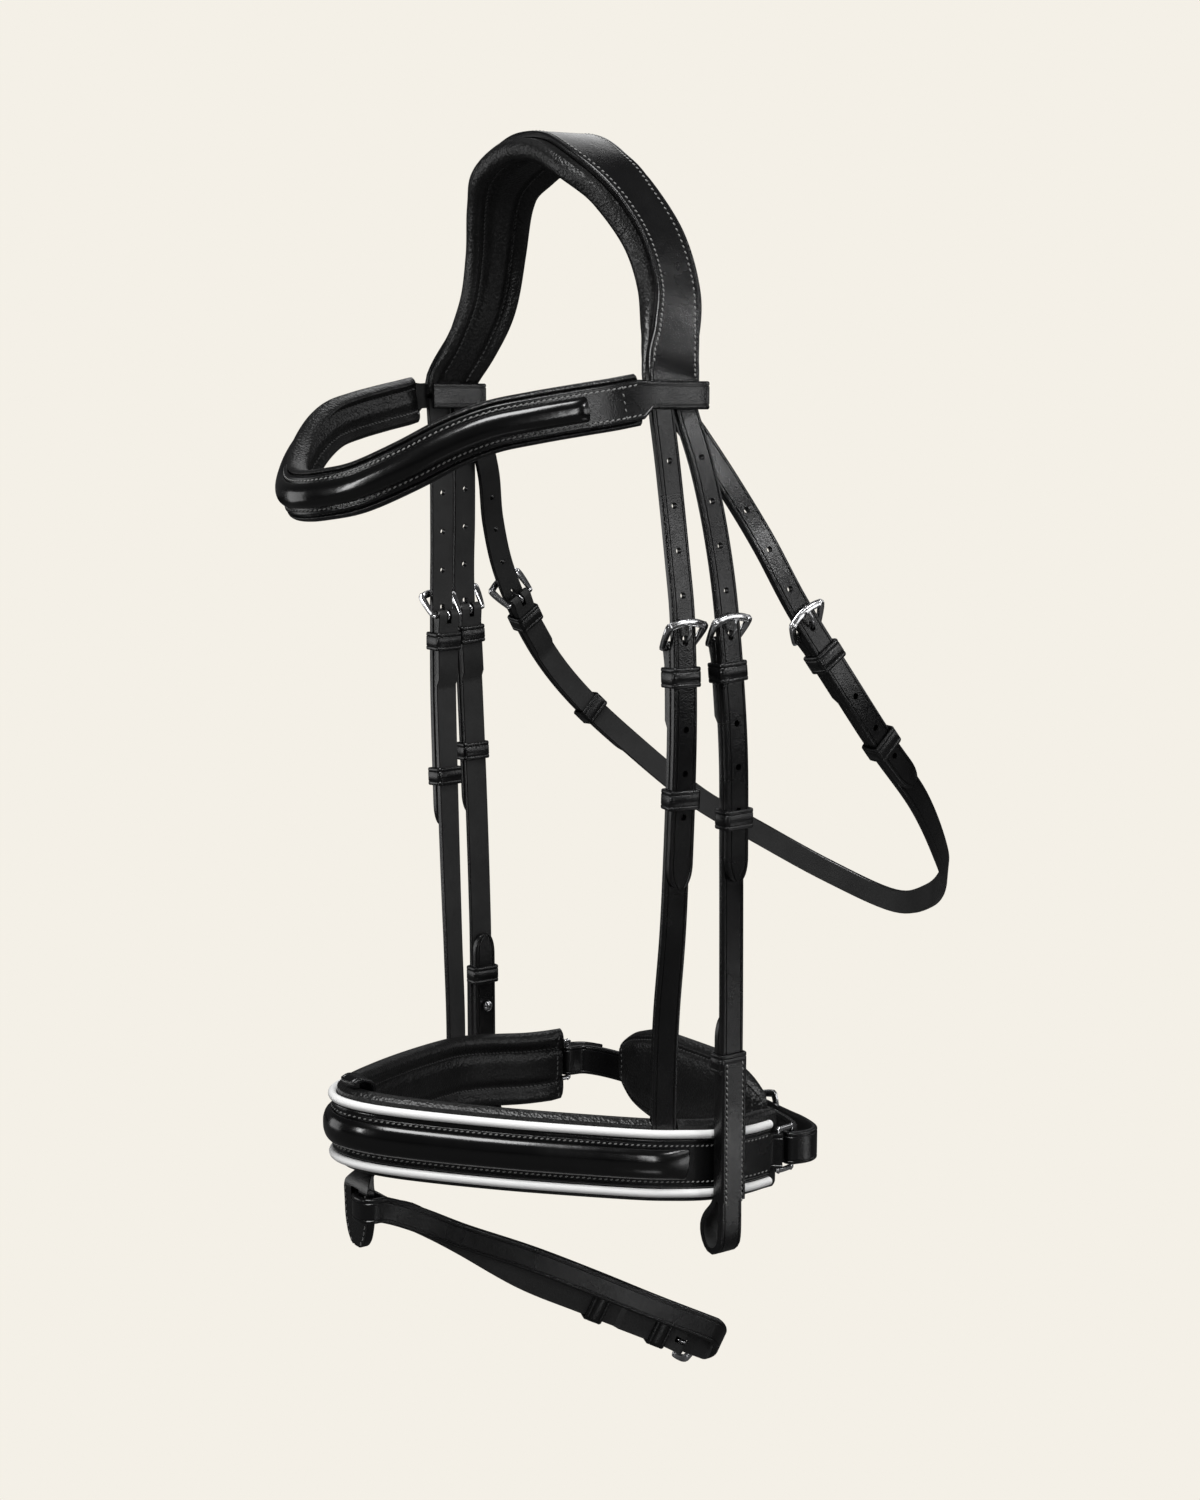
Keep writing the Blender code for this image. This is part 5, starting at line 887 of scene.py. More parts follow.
def cut(piece, cutter_meshes):
    """Take cutters, each given as points and faces, out of a piece."""
    points, faces = [], []
    for more, shape in cutter_meshes:
        faces += [tuple(i + len(points) for i in face) for face in shape]
        points += more
    cutter = mesh_object(piece.name + "_cutter", points, faces)
    modifier = piece.modifiers.new("cut", "BOOLEAN")
    modifier.operation = "DIFFERENCE"
    modifier.use_self = True
    modifier.object = cutter
    bpy.context.view_layer.update()
    shaped = piece.evaluated_get(bpy.context.evaluated_depsgraph_get())
    finished = bpy.data.meshes.new_from_object(shaped)
    piece.modifiers.clear()
    piece.data = finished
    finished.set_sharp_from_angle(angle=SHARP_ANGLE)
    bpy.data.objects.remove(cutter)


def tip_width(distance, half_width):
    """Half the width of a pointed end, this far from its tip."""
    if distance >= TIP_LENGTH:
        return half_width
    share = distance / TIP_LENGTH
    return half_width * (TIP_BLUNT + (1 - TIP_BLUNT) * (1 - (1 - share) ** 2) ** 0.5)


def stations(start, end, pointed=False, step=STRAP_STEP):
    """Places along a strap where its cross-section is set, closer together on a pointed end."""
    last = end - TIP_LENGTH if pointed else end
    grid = [k * step for k in range(int(start / step) + 1, int(last / step) + 1)]
    places = [start] + [s for s in grid if start + step / 4 < s < last - step / 4]
    return places + ([end - TIP_LENGTH * share for share in TIP_SHARES] if pointed else [end])


def next_step(route, s, step, least):
    """How far ahead the next cross-section lies, nearer where the line turns."""
    while step > least and route.bend(s, min(s + step, route.length)) > BEND_STEP:
        step *= STEP_SHARE
    return step


def prism(outline, matrix, low, high):
    """A cutter over an outline of (across, along) pairs, between two levels."""
    size = len(outline)
    points = [matrix @ Vector((u, v, n)) for n in (low, high) for u, v in outline]
    faces = [tuple(range(size - 1, -1, -1)), tuple(range(size, 2 * size))]
    for k in range(size):
        n = (k + 1) % size
        faces.append((k, n, size + n, size + k))
    return points, faces


def circle(radius, sides, stretch=0.0):
    """An outline round the middle, stretched along by a length."""
    outline = []
    for k in range(sides):
        angle = 2 * pi * (k + 0.5) / sides
        shift = stretch / 2 if sin(angle) > 0 else -stretch / 2
        outline.append((radius * cos(angle), radius * sin(angle) + shift))
    return outline


def box_outline(half_across, start, end):
    return [(-half_across, start), (half_across, start), (half_across, end), (-half_across, end)]


def side_turned(frame, along, out):
    """The frame of a bore that runs across the strap, at a place along and above it."""
    across = frame.col[0].to_3d()
    place = frame @ Vector((0.0, along, out))
    return placed(frame.col[1].to_3d(), frame.col[2].to_3d(), across, place)


def wire(name, points, radius, surface):
    """A round bar through points, kept from twisting."""
    points = smooth_path(points, PROFILE_STEPS)
    turns = [2 * pi * k / WIRE_SIDES for k in range(WIRE_SIDES)]
    side = None
    rings = []
    for point, run in zip(points, runs(points)):
        along = run.normalized()
        if side is None:
            side = along.orthogonal().normalized()
        side = (side - along * side.dot(along)).normalized()
        up = along.cross(side)
        rings.append([point + (side * cos(turn) + up * sin(turn)) * radius for turn in turns])
    return loft(name, rings, surface)


def squared(angle):
    """A point on an outline between a circle and a square."""
    c, s = cos(angle), sin(angle)
    return copysign(abs(c) ** BUCKLE_SQUARE, c), copysign(abs(s) ** BUCKLE_SQUARE, s)


def planar_wire(name, matrix, path, radius):
    """A closed flat-sided steel bar round a path of (across, along, out) points that faces out."""
    points = smooth_path(path, PROFILE_STEPS, True)
    centre = sum(points, Vector()) / len(points)
    low = min(point.z for point in points)
    rise = max(max(point.z for point in points) - low, radius)
    outline = [squared(2 * pi * k / WIRE_SIDES) for k in range(WIRE_SIDES)]
    rings = []
    for i, point in enumerate(points):
        share = min(1.0, (point.z - low) / rise * BUCKLE_BROADENING)
        broad = radius * (1 + (BUCKLE_BROAD - 1) * share)
        along = (points[(i + 1) % len(points)] - points[i - 1]).normalized()
        side = along.cross(Vector((0.0, 0.0, 1.0))).normalized()
        if side.dot(point - centre) < 0:
            side = -side
        up = side.cross(along).normalized()
        rings.append([matrix @ (point + side * wide * broad + up * thick * radius * BUCKLE_FLAT)
                      for wide, thick in outline])
    return loft(name, rings, "polished_steel", closed=True)


def keeper(name, route, s, half_width, low, high, clearance):
    """A creased leather band round the layers between two levels, centred along a route."""
    frame = route.frame(s)
    inner_u = half_width + clearance
    inner_low = low - clearance
    inner_high = high + clearance
    rings = []
    for index, (su, sn) in enumerate(((1, 1), (-1, 1), (-1, -1), (1, -1))):
        centre_u = su * (inner_u - KEEPER_CORNER)
        centre_n = inner_high - KEEPER_CORNER if sn > 0 else inner_low + KEEPER_CORNER
        for step in range(KEEPER_STEPS + 1):
            angle = (index + step / KEEPER_STEPS) * pi / 2
            ring = []
            for grow, along in KEEPER_PROFILE:
                reach = KEEPER_CORNER + grow * KEEPER_THICKNESS
                ring.append(frame @ Vector((centre_u + reach * cos(angle), along * KEEPER_WIDTH / 2,
                                            centre_n + reach * sin(angle))))
            rings.append(ring)
    return loft(name, rings, "strap_leather", closed=True)


class Buckling:
    """A buckle on a strap's folded end, with the strap that goes through it above.

    The route runs between the two layers. Along is towards the folded strap, out is towards the
    strap that goes through the buckle, and the hole that the prong uses is at hole.
    """

    def __init__(self, route, hole, width=STRAP_WIDTH, thickness=STRAP_THICKNESS):
        self.route = route
        self.hole = hole
        self.width = width
        self.thickness = thickness
        self.over = (SEAT / 2, SEAT / 2 + thickness)
        self.under = (-SEAT / 2 - thickness, -SEAT / 2)
        self.knuckle = BAR_RADIUS + SEAT + SKIVED_THICKNESS
        self.bar_out = -SEAT / 2 - self.knuckle
        self.frame = route.frame(hole)

    def bar_place(self):
        return self.frame @ Vector((0.0, BAR_BELOW_HOLE, self.bar_out))

    def buckle(self, name):
        """The metal frame: a pivot bar inside the fold and a crowned top bar over the strap."""
        low = self.width / 2 + BUCKLE_SIDE_GAP + BAR_RADIUS
        high = low + BUCKLE_FLARE
        over = self.over[1] + SEAT + BAR_RADIUS
        crest = over + BAR_RADIUS / 4
        top = -TOP_BAR_ABOVE_HOLE
        bar = BAR_BELOW_HOLE
        corner = BAR_RADIUS
        foot = self.bar_out + (over - self.bar_out) * corner / bar / 4
        right = [(low - corner, bar, self.bar_out), (low, bar - corner, foot),
                 (high, top + corner, over - corner / 2), (high - corner, top, over),
                 (high / 2, top - BUCKLE_CROWN * BUCKLE_CROWN_SHARE, crest)]
        left = [(-across, along, out) for across, along, out in reversed(right)]
        path = (left[-1:] + [(0.0, bar, self.bar_out)] + right + [(0.0, top - BUCKLE_CROWN, crest)]
                + left[:-1])
        return planar_wire(name, self.frame, path, BAR_RADIUS)

    def prong(self, name):
        """The tongue: an eye round the pivot bar, then through the hole and onto the top bar."""
        eye = BAR_RADIUS + PRONG_CLEARANCE + PRONG_RADIUS
        rest = self.over[1] + SEAT * 2 + BAR_RADIUS * PRONG_REST + PRONG_RADIUS
        rise = rest - self.bar_out
        reach = TOP_BAR_ABOVE_HOLE + BAR_BELOW_HOLE
        path = []
        for step in range(EYE_STEPS + 1):
            angle = -EYE_START * pi - step / EYE_STEPS * EYE_TURN * pi
            path.append((0.0, BAR_BELOW_HOLE - eye * sin(angle), self.bar_out + eye * cos(angle)))
        for above, out in PRONG_SHARES:
            path.append((0.0, BAR_BELOW_HOLE - above * reach, self.bar_out + out * rise))
        return wire(name, [self.frame @ Vector(p) for p in path], PRONG_RADIUS, "polished_steel")

    def fold_section(self, below_bar):
        """The folded strap's lower and upper level, this far below the pivot bar."""
        full = self.knuckle * 2
        folded = self.thickness + FOLD_THICKNESS
        places = (0.0, self.knuckle * FOLD_NECK, FOLD_LENGTH, FOLD_LENGTH + self.thickness)
        deep = np.interp(below_bar, places, (full, folded, folded, self.thickness))
        return -SEAT / 2 - float(deep), -SEAT / 2

    def fold_places(self, start):
        """Places below the pivot bar where the folded strap's thickness changes."""
        neck = self.knuckle * FOLD_NECK
        return [start + neck, start + (neck + FOLD_LENGTH) / 2, start + FOLD_LENGTH,
                start + FOLD_LENGTH + self.thickness]

    def fold_rings(self, place):
        """Rings from the fold's rounded top down to its bar; place gives a frame for a distance."""
        rings = []
        for step in range(FOLD_STEPS + 1):
            angle = pi / 2 * step / FOLD_STEPS
            up = self.knuckle * cos(angle)
            deep = max(self.knuckle * sin(angle), self.knuckle * FOLD_BLUNT)
            section = flat_section(self.width / 2, self.bar_out - deep, self.bar_out + deep)
            rings.append(ring_at(place(self.hole + BAR_BELOW_HOLE - up), section))
        return rings

    def fold_cutters(self):
        """The bore for the pivot bar and the slot for the prong."""
        half = self.width / 2 + CUT_OVERRUN
        bore = prism(circle(BAR_RADIUS + SEAT, BORE_SIDES),
                     side_turned(self.frame, BAR_BELOW_HOLE, self.bar_out), -half, half)
        reach = BAR_RADIUS + PRONG_CLEARANCE + PRONG_RADIUS * 2 + SEAT * 3
        outline = box_outline(PRONG_RADIUS + SEAT * 2, BAR_BELOW_HOLE - self.knuckle - CUT_OVERRUN,
                              BAR_BELOW_HOLE + reach)
        return [bore, prism(outline, self.frame, self.bar_out - self.knuckle - CUT_OVERRUN, 0.0)]

    def hole_cutters(self, start, end, low):
        """The round holes between two places, and the longer one that the prong goes through."""
        high = self.over[1] + CUT_OVERRUN
        slot = circle(HOLE_RADIUS, HOLE_SIDES, PRONG_SLOT - HOLE_RADIUS * 2)
        cutters = [prism(slot, self.frame, low, high)]
        first = int((start - self.hole) / HOLE_PITCH)
        final = int((end - self.hole) / HOLE_PITCH)
        for k in range(first, final + 1):
            s = self.hole + k * HOLE_PITCH
            if k and start < s < end:
                outline = circle(HOLE_RADIUS, HOLE_SIDES)
                cutters.append(prism(outline, self.route.frame(s), low, high))
        return cutters

    def steel_parts(self, name):
        self.buckle(name + "_buckle")
        self.prong(name + "_prong")

    def keepers(self, name, fixed_below, slider_below):
        """The keeper sewn to the folded strap, round both layers, and the one that slides."""
        folded = -SEAT / 2 - self.thickness - FOLD_THICKNESS
        kinds = (("fixed", fixed_below, folded, SEAT),
                 ("sliding", slider_below, self.under[0], SLIDE_CLEARANCE))
        for kind, below, low, clearance in kinds:
            keeper(f"{name}_{kind}_keeper", self.route, self.hole + below, self.width / 2, low,
                   self.over[1], clearance)


def point_strap(name, route, drop, tail_below, holes_above):
    """A buckle on a line, and the strap with holes that comes down through it from the crown."""
    buckling = Buckling(route, drop)
    tail = drop + tail_below
    rings = strap_rings(route, stations(0.0, tail, True),
                        lambda s: (tip_width(tail - s, STRAP_WIDTH / 2), *buckling.over))
    holes = buckling.hole_cutters(drop - HOLE_PITCH * holes_above, tail - TAIL_PLAIN,
                                  buckling.over[0] - CUT_OVERRUN)
    cut(strap_loft(name, rings), holes)
    return buckling


def both_halves(half):
    """A symmetric line's points from its far end to its near end, from its near half."""
    return [Vector((-p.x, p.y, p.z)) for p in reversed(half[1:])] + half


def facing(points, turned):
    """Each point's direction, which turned gives from the way the line runs there."""
    return [Vector(turned(run)).normalized() for run in runs(points)]


def symmetric_route(half):
    """A line over the middle of the head from its near half, facing away from the head."""
    points = both_halves(half)
    return Route(points, facing(points, lambda run: (run.y, -run.x, 0.0)))


def noseband_route():
    """The line between the noseband's padding and its outer leather, from end to end."""
    return symmetric_route([
        Vector((side * NOSEBAND_HALF_WIDTH, NOSEBAND_FRONT + along * NOSEBAND_LENGTH,
                -POLL_TO_BROWBAND - NOSEBAND_DROP - drop * NOSEBAND_SLOPE))
        for side, along, drop in NOSEBAND_LINE_SHARES])


def noseband_place(noseband, back):
    """How far along the noseband its near half lies this far back."""
    near = noseband.points[:, 0] > 0
    return float(np.interp(back, noseband.points[near, 1], noseband.lengths[near]))


def leaning_line(shares, top, bottom, bow, drift, end_out):
    """A strap's line from the browband down, with its face turning towards end_out."""
    points, outs = [], []
    for down, over, out, back in shares:
        point = top.lerp(bottom, over)
        point.z = top.z + (bottom.z - top.z) * down
        points.append(point + Vector((out * bow, back * drift, 0.0)))
        turn = min(1.0, down / LEAN_SHARE) ** 2
        outs.append(Vector((1.0, 0.0, 0.0)).lerp(end_out, turn))
    return Route(points, outs)


def nose_line(noseband):
    """Between the two layers of the strap that carries the noseband."""
    meet = noseband.frame(noseband_place(noseband, HANGER_BACK))
    out = meet.col[2].to_3d()
    bottom = meet.translation - out * HANGER_SINK
    bottom.z += HANGER_END_RISE
    top = Vector((HEAD_HALF_WIDTH, NOSE_TOP_BACK, -POLL_TO_BROWBAND))
    return leaning_line(NOSE_LINE_SHARES, top, bottom, NOSE_BOW, NOSE_DRIFT, out)


def cheek_line(noseband):
    """Between the two layers of the cheek strap, outside the noseband."""
    meet = noseband.frame(noseband_place(noseband, CHEEK_BACK))
    out = meet.col[2].to_3d()
    layers = PIPING_RADIUS * 2 + STRAP_THICKNESS * 2 + SEAT * 5
    bottom = meet.translation + out * layers
    bottom.z = -POLL_TO_BROWBAND - BIT_DROP
    top = Vector((HEAD_HALF_WIDTH, CHEEK_TOP_BACK, -POLL_TO_BROWBAND))
    return leaning_line(CHEEK_LINE_SHARES, top, bottom, CHEEK_BOW, CHEEK_DRIFT, out)


def throat_route():
    """The whole throatlatch from its near top round to its far top."""
    top = HEAD_HALF_WIDTH - STRAP_THICKNESS - SEAT
    half = [Vector((inner * top + flare * THROAT_FLARE, THROAT_TOP_BACK + back * THROAT_BACK,
                    -POLL_TO_BROWBAND - down * THROAT_DROP))
            for inner, flare, back, down in reversed(THROAT_LINE_SHARES)]
    points = both_halves(half)[::-1]
    outs = []
    for p in points:
        behind = max(0.0, (p.y - THROAT_TOP_BACK) / THROAT_BACK - THROAT_TWIST_SHARE)
        outs.append(Vector((p.x / HEAD_HALF_WIDTH, behind / THROAT_TWIST_SHARE, 0.0)).normalized())
    return Route(points, outs)


def crown_route():
    """The line between the crown's lining and its outer strap, from the far end to the near end."""
    top = CROWN_PAD_THICKNESS * CROWN_REST_SHARE + SEAT
    low = -POLL_TO_BROWBAND + CROWN_END_RISE
    points = both_halves([Vector((out * (HEAD_HALF_WIDTH + SEAT / 2), bow * CROWN_BOW,
                                  low + up * (top - low))) for out, up, bow in CROWN_LINE_SHARES])
    return Route(points, facing(points, lambda run: (-run.z, 0.0, run.x)))


def crown_place(route, share):
    """The crown's frame and both cross-sections, with their half widths, at a share of its half."""
    def between(low, high, table):
        return low + table_value(table, abs(share)) * (high - low)

    half = route.length / 2
    turn = copysign(CROWN_TURN * table_value(CROWN_TURN_SHARES, abs(share)), share)
    frame = route.frame(half + share * half) @ Matrix.Rotation(turn, 4, "Y")
    wide = between(CROWN_WAIST_WIDTH, CROWN_WIDTH, CROWN_WIDTH_SHARES)
    pad_wide = between(CROWN_PAD_END_WIDTH, CROWN_PAD_WIDTH, CROWN_PAD_SHARES)
    deep = between(CROWN_PAD_END_THICKNESS, CROWN_PAD_THICKNESS, CROWN_PAD_DEPTH_SHARES)
    strap = flat_section(wide / 2, 0.0, CROWN_THICKNESS)
    pad = both_sides(PAD_BACK_SHARES, pad_wide / 2, deep, -SEAT)
    return frame, strap, pad, wide / 2, pad_wide / 2


def crown():
    """The outer strap over the poll, stitched near its edges, and the quilted lining under it."""
    route = crown_route()
    places = [crown_place(route, share) for share in np.linspace(-1.0, 1.0, BAND_STATIONS)]
    strap_loft("crown_strap", [ring_at(frame, strap) for frame, strap, _, _, _ in places])
    loft("crown_lining", rounded_end([ring_at(frame, pad) for frame, _, pad, _, _ in places]),
         "lining_leather")
    count = round(route.length * CROWN_STITCH_SHARE / STITCH_PITCH)
    for share in np.linspace(-CROWN_STITCH_SHARE, CROWN_STITCH_SHARE, count):
        frame, _, pad, wide, pad_wide = crown_place(route, share)
        for side in (-1, 1):
            across = side * (wide - CROWN_STITCH_IN)
            stitch("crown_strap", frame, across, CROWN_THICKNESS, "pale_thread")
            across = side * pad_wide * PAD_CHANNEL_SHARE
            stitch("crown_lining", frame, across, surface_at(pad, across), "dark_thread")


def browband_half():
    """The browband's outer line from its middle, back along the near loop and round it."""
    outer = HEAD_HALF_WIDTH + SEAT / 2 + STRAP_THICKNESS + SWING_CLEARANCE
    inner = HEAD_HALF_WIDTH - STRAP_THICKNESS - SEAT * 1.5 - SEAT * 3
    front = min(NOSE_TOP_BACK - STRAP_WIDTH / 2, -CROWN_PAD_END_WIDTH / 2) - SEAT * 2
    back = max(CHEEK_TOP_BACK + STRAP_WIDTH / 2, CROWN_PAD_END_WIDTH / 2) + SEAT * 2
    level = -POLL_TO_BROWBAND
    wall = BROWBAND_THICKNESS / 2
    out_x = outer + wall
    in_x = inner - wall
    turn = (out_x - in_x) / 2
    half = [(side * HEAD_HALF_WIDTH, -reach * BROWBAND_REACH, level - dip * BROWBAND_DIP)
            for side, reach, dip in BROWBAND_LINE_SHARES]
    half += [(out_x, front, level), (out_x, (front + back) / 2, level)]
    for step in range(LOOP_TURN_STEPS + 1):
        angle = pi / 2 - step * pi / LOOP_TURN_STEPS
        half.append(((out_x + in_x) / 2 + turn * sin(angle),
                     back + turn * cos(angle) * LOOP_TURN_SHARE, level))
    half += [(in_x, (front + back) / 2, level), (in_x, front + wall, level)]
    return [Vector(p) for p in half]


def browband():
    """The flat band with its folded end loops, the padding behind it and the raised strip on it."""
    half = browband_half()
    route = symmetric_route(half)
    middle = route.length / 2
    corner = len(BROWBAND_LINE_SHARES) * SMOOTH_STEPS
    centre = len(route.points) // 2
    loop_start = float(route.lengths[corner + centre]) - middle
    high = BROWBAND_THICKNESS / 2
    end = loop_start - BROWBAND_PAD_END_GAP
    strip_end = end - BROWBAND_STRIP_END
    straight = list(np.linspace(-end, end, BAND_STATIONS))
    bends = range(corner, (len(half) - 1) * SMOOTH_STEPS + 1, SMOOTH_STEPS // LOOP_STEPS)
    ends = list(np.linspace(end, loop_start, LOOP_STEPS + 1))[1:-1]
    ends += [float(route.lengths[bend + centre]) - middle for bend in bends]
    rings = []
    for s in [-place for place in reversed(ends)] + straight + ends:
        into = min(1.0, max(0.0, (abs(s) - end) / (loop_start - end)))
        tall = BROWBAND_HEIGHT + (LOOP_HEIGHT - BROWBAND_HEIGHT) * into
        frame = route.frame(middle + s)
        frame.translation.z += LOOP_RISE * into
        rings.append(ring_at(frame, flat_section(tall / 2, -high, high)))
    strap_loft("browband_band", rings)

    def padding(s):
        fade = faded(end - abs(s - middle), BROWBAND_PAD_THICKNESS, BROWBAND_PAD_END_SHARE)
        return both_sides(ROLL_BACK_SHARES, BROWBAND_PAD_HEIGHT / 2, BROWBAND_PAD_THICKNESS * fade,
                          -high - SEAT)

    pad_rings = [ring_at(route.frame(middle + s), padding(middle + s)) for s in straight]
    loft("browband_padding", rounded_end(pad_rings), "lining_leather")
    raised_strip("browband_raised_strip", route, straight, strip_end, BROWBAND_STRIP_WIDTH,
                 BROWBAND_STRIP_THICKNESS, BROWBAND_STRIP_WIDTH / 2, high + SEAT)
    reach = end - STITCH_PITCH
    stitch_rows("browband_band", route, middle - reach, middle + reach, BROWBAND_STITCH,
                lambda s: high, "pale_thread")
    for sign in (-1, 1):
        cross_seam("browband_band", route.frame(middle + sign * (strip_end + STRIP_SEAM_OUT)),
                   BROWBAND_STITCH, lambda across: high, "pale_thread")
    channel = PAD_CHANNEL_SHARE * BROWBAND_PAD_HEIGHT / 2
    stitch_rows("browband_padding", route, middle - reach, middle + reach, channel,
                lambda s: surface_at(padding(s), channel), "dark_thread")


def nose_straps(side, sign, line):
    """The strap with holes from the crown, and the folded one that carries the noseband."""
    route = on_side(line, sign)
    buckling = point_strap(side + "_noseband_point", route, BUCKLE_DROP, TAIL_BELOW, HOLES_ABOVE)
    start = BUCKLE_DROP + BAR_BELOW_HOLE
    fold = buckling.fold_places(start)
    rings = buckling.fold_rings(route.frame)
    rings += strap_rings(route, fold + stations(fold[-1], route.length)[1:],
                         lambda s: (STRAP_WIDTH / 2, *buckling.fold_section(s - start)))
    cut(strap_loft(side + "_noseband_hanger", rings), buckling.fold_cutters())
    buckling.steel_parts(side + "_noseband")
    buckling.keepers(side + "_noseband", FIXED_KEEPER_BELOW, NOSE_SLIDER_BELOW[side])
    return route


def billet_route(route):
    """The cheek strap from its buckle down, round the bit loop and up inside itself."""
    level = -SEAT / 2 - STRAP_THICKNESS / 2
    straight = route.length - BIT_LOOP_DEPTH
    points, outs = route.moved(BUCKLE_DROP, straight, level)
    bottom = route.frame(route.length, level)
    out = bottom.col[2].to_3d()
    up = -bottom.col[1].to_3d()
    for inward, rise, turn in BIT_LOOP_SHARES:
        points.append(bottom.translation - out * inward * BIT_LOOP_THICKNESS
                      + up * rise * BIT_LOOP_DEPTH)
        outs.append(out * cos(pi * turn) - up * sin(pi * turn))
    more, faces = route.moved(straight - BILLET_START, billet_place(route, BILLET_TIP_DROP),
                              level - STRAP_THICKNESS - SEAT)
    return Route(points + more, outs + [-face for face in faces])


def billet_place(route, drop):
    """How far along a strap's line it lies this far below the straps' tops."""
    return float(np.interp(drop, -route.points[:, 2] - POLL_TO_BROWBAND, route.lengths))


def cheek_straps(side, sign, line):
    """The cheek strap with its bit loop, billet, stud and keepers, and the strap above it."""
    route = on_side(line, sign)
    buckling = point_strap(side + "_cheek_point", route, BUCKLE_DROP, TAIL_BELOW, HOLES_ABOVE)
    path = on_side(billet_route(line), sign)
    patch_end = route.length - BIT_LOOP_DEPTH - BUCKLE_DROP
    patch_start = patch_end - LINING_LENGTH
    shift = SEAT / 2 + STRAP_THICKNESS / 2

    def sizes(s):
        half = tip_width(path.length - s, STRAP_WIDTH / 2)
        low, high = buckling.fold_section(s - BAR_BELOW_HOLE)
        if patch_start <= s <= patch_end:
            half += LINING_OVERHANG
            high += LINING_THICKNESS
        return half, low + shift, high + shift

    places = cheek_stations(path, buckling.fold_places(BAR_BELOW_HOLE), patch_start, patch_end)
    rings = buckling.fold_rings(route.frame) + strap_rings(path, places, sizes)
    cut(strap_loft(side + "_cheek_strap", rings), buckling.fold_cutters() + [stud_well(route)])
    stitch_rows(side + "_cheek_strap", path, patch_start, patch_end, PATCH_STITCH,
                lambda s: STRAP_THICKNESS / 2 + LINING_THICKNESS, "pale_thread")
    billet_keeper(side, route)
    hook_stud(side, route)
    buckling.steel_parts(side + "_cheek")
    buckling.keepers(side + "_cheek", FIXED_KEEPER_BELOW, CHEEK_SLIDER_BELOW[side])


def cheek_stations(path, fold, patch_start, patch_end):
    """Places along the cheek strap, with both ends of its patch set off from it."""
    steps = [patch_start - SEAT, patch_start, patch_end, patch_end + SEAT]
    places = stations(fold[-1], path.length, True, STRAP_STEP / 2)[1:]
    clear = [s for s in places if min(abs(s - step) for step in steps) > SEAT]
    return fold + sorted(clear + steps)


def billet_keeper(side, route):
    """The keeper for the billet's tip, sewn under the patch."""
    place = billet_place(route, BILLET_TIP_DROP + BILLET_KEEPER_BELOW)
    inner = -SEAT * 1.5 - STRAP_THICKNESS * 2
    outer = -SEAT / 2 + LINING_THICKNESS - KEEPER_THICKNESS - SEAT * 1.5
    return keeper(side + "_billet_keeper", route, place, STRAP_WIDTH / 2, inner, outer, SEAT)


def stud_levels():
    """The stud's foot inside the billet, the billet's face, and the head's two faces."""
    face = -SEAT * 1.5 - STRAP_THICKNESS * 2
    neck = face - STUD_NECK_LENGTH
    return face + STRAP_THICKNESS * STUD_SINK, face, neck, neck - STUD_HEAD_THICKNESS


def stud_well(route):
    """The hole in the billet for the hook stud's neck."""
    foot, face, _, _ = stud_levels()
    frame = route.frame(billet_place(route, BILLET_TIP_DROP + STUD_BELOW))
    outline = circle(STUD_NECK_RADIUS + SEAT, BORE_SIDES)
    return prism(outline, frame, face - CUT_OVERRUN, foot + SEAT)


def hook_stud(side, route):
    """The steel stud that the billet hooks onto."""
    foot, _, neck, head = stud_levels()
    frame = route.frame(billet_place(route, BILLET_TIP_DROP + STUD_BELOW))
    profile = ((foot, STUD_NECK_RADIUS), (neck, STUD_NECK_RADIUS), (neck, STUD_HEAD_RADIUS),
               ((neck + head) / 2, STUD_HEAD_RADIUS * STUD_BULGE),
               (head, STUD_HEAD_RADIUS * STUD_TOP))
    rings = [[frame @ Vector((u, v, level)) for u, v in circle(radius, BORE_SIDES)]
             for level, radius in profile]
    loft(side + "_hook_stud", rings, "polished_steel")


def throatlatch():
    """The strap under the throat, folded round a buckle at both ends, and its point straps."""
    route = throat_route()
    ends = []
    for side, sign in SIDES:
        buckling = point_strap(side + "_throat_point", on_side(route, sign), THROAT_BUCKLE_DROP,
                               THROAT_TAIL_BELOW[side], THROAT_HOLES_ABOVE)
        buckling.steel_parts(side + "_throat")
        buckling.keepers(side + "_throat", FIXED_KEEPER_BELOW, THROAT_SLIDER_BELOW[side])
        ends.append(buckling)
    near, far = ends
    start = THROAT_BUCKLE_DROP + BAR_BELOW_HOLE
    fold = near.fold_places(start)
    places = fold + stations(fold[-1], route.length - fold[-1])[1:-1]
    places += [route.length - place for place in reversed(fold)]
    rings = near.fold_rings(route.frame)
    rings += strap_rings(route, places, lambda s: (
        STRAP_WIDTH / 2, *near.fold_section(min(s, route.length - s) - start)))
    rings += reversed(near.fold_rings(lambda s: route.frame(route.length - s)))
    cut(strap_loft("throat_strap", rings), near.fold_cutters() + far.fold_cutters())


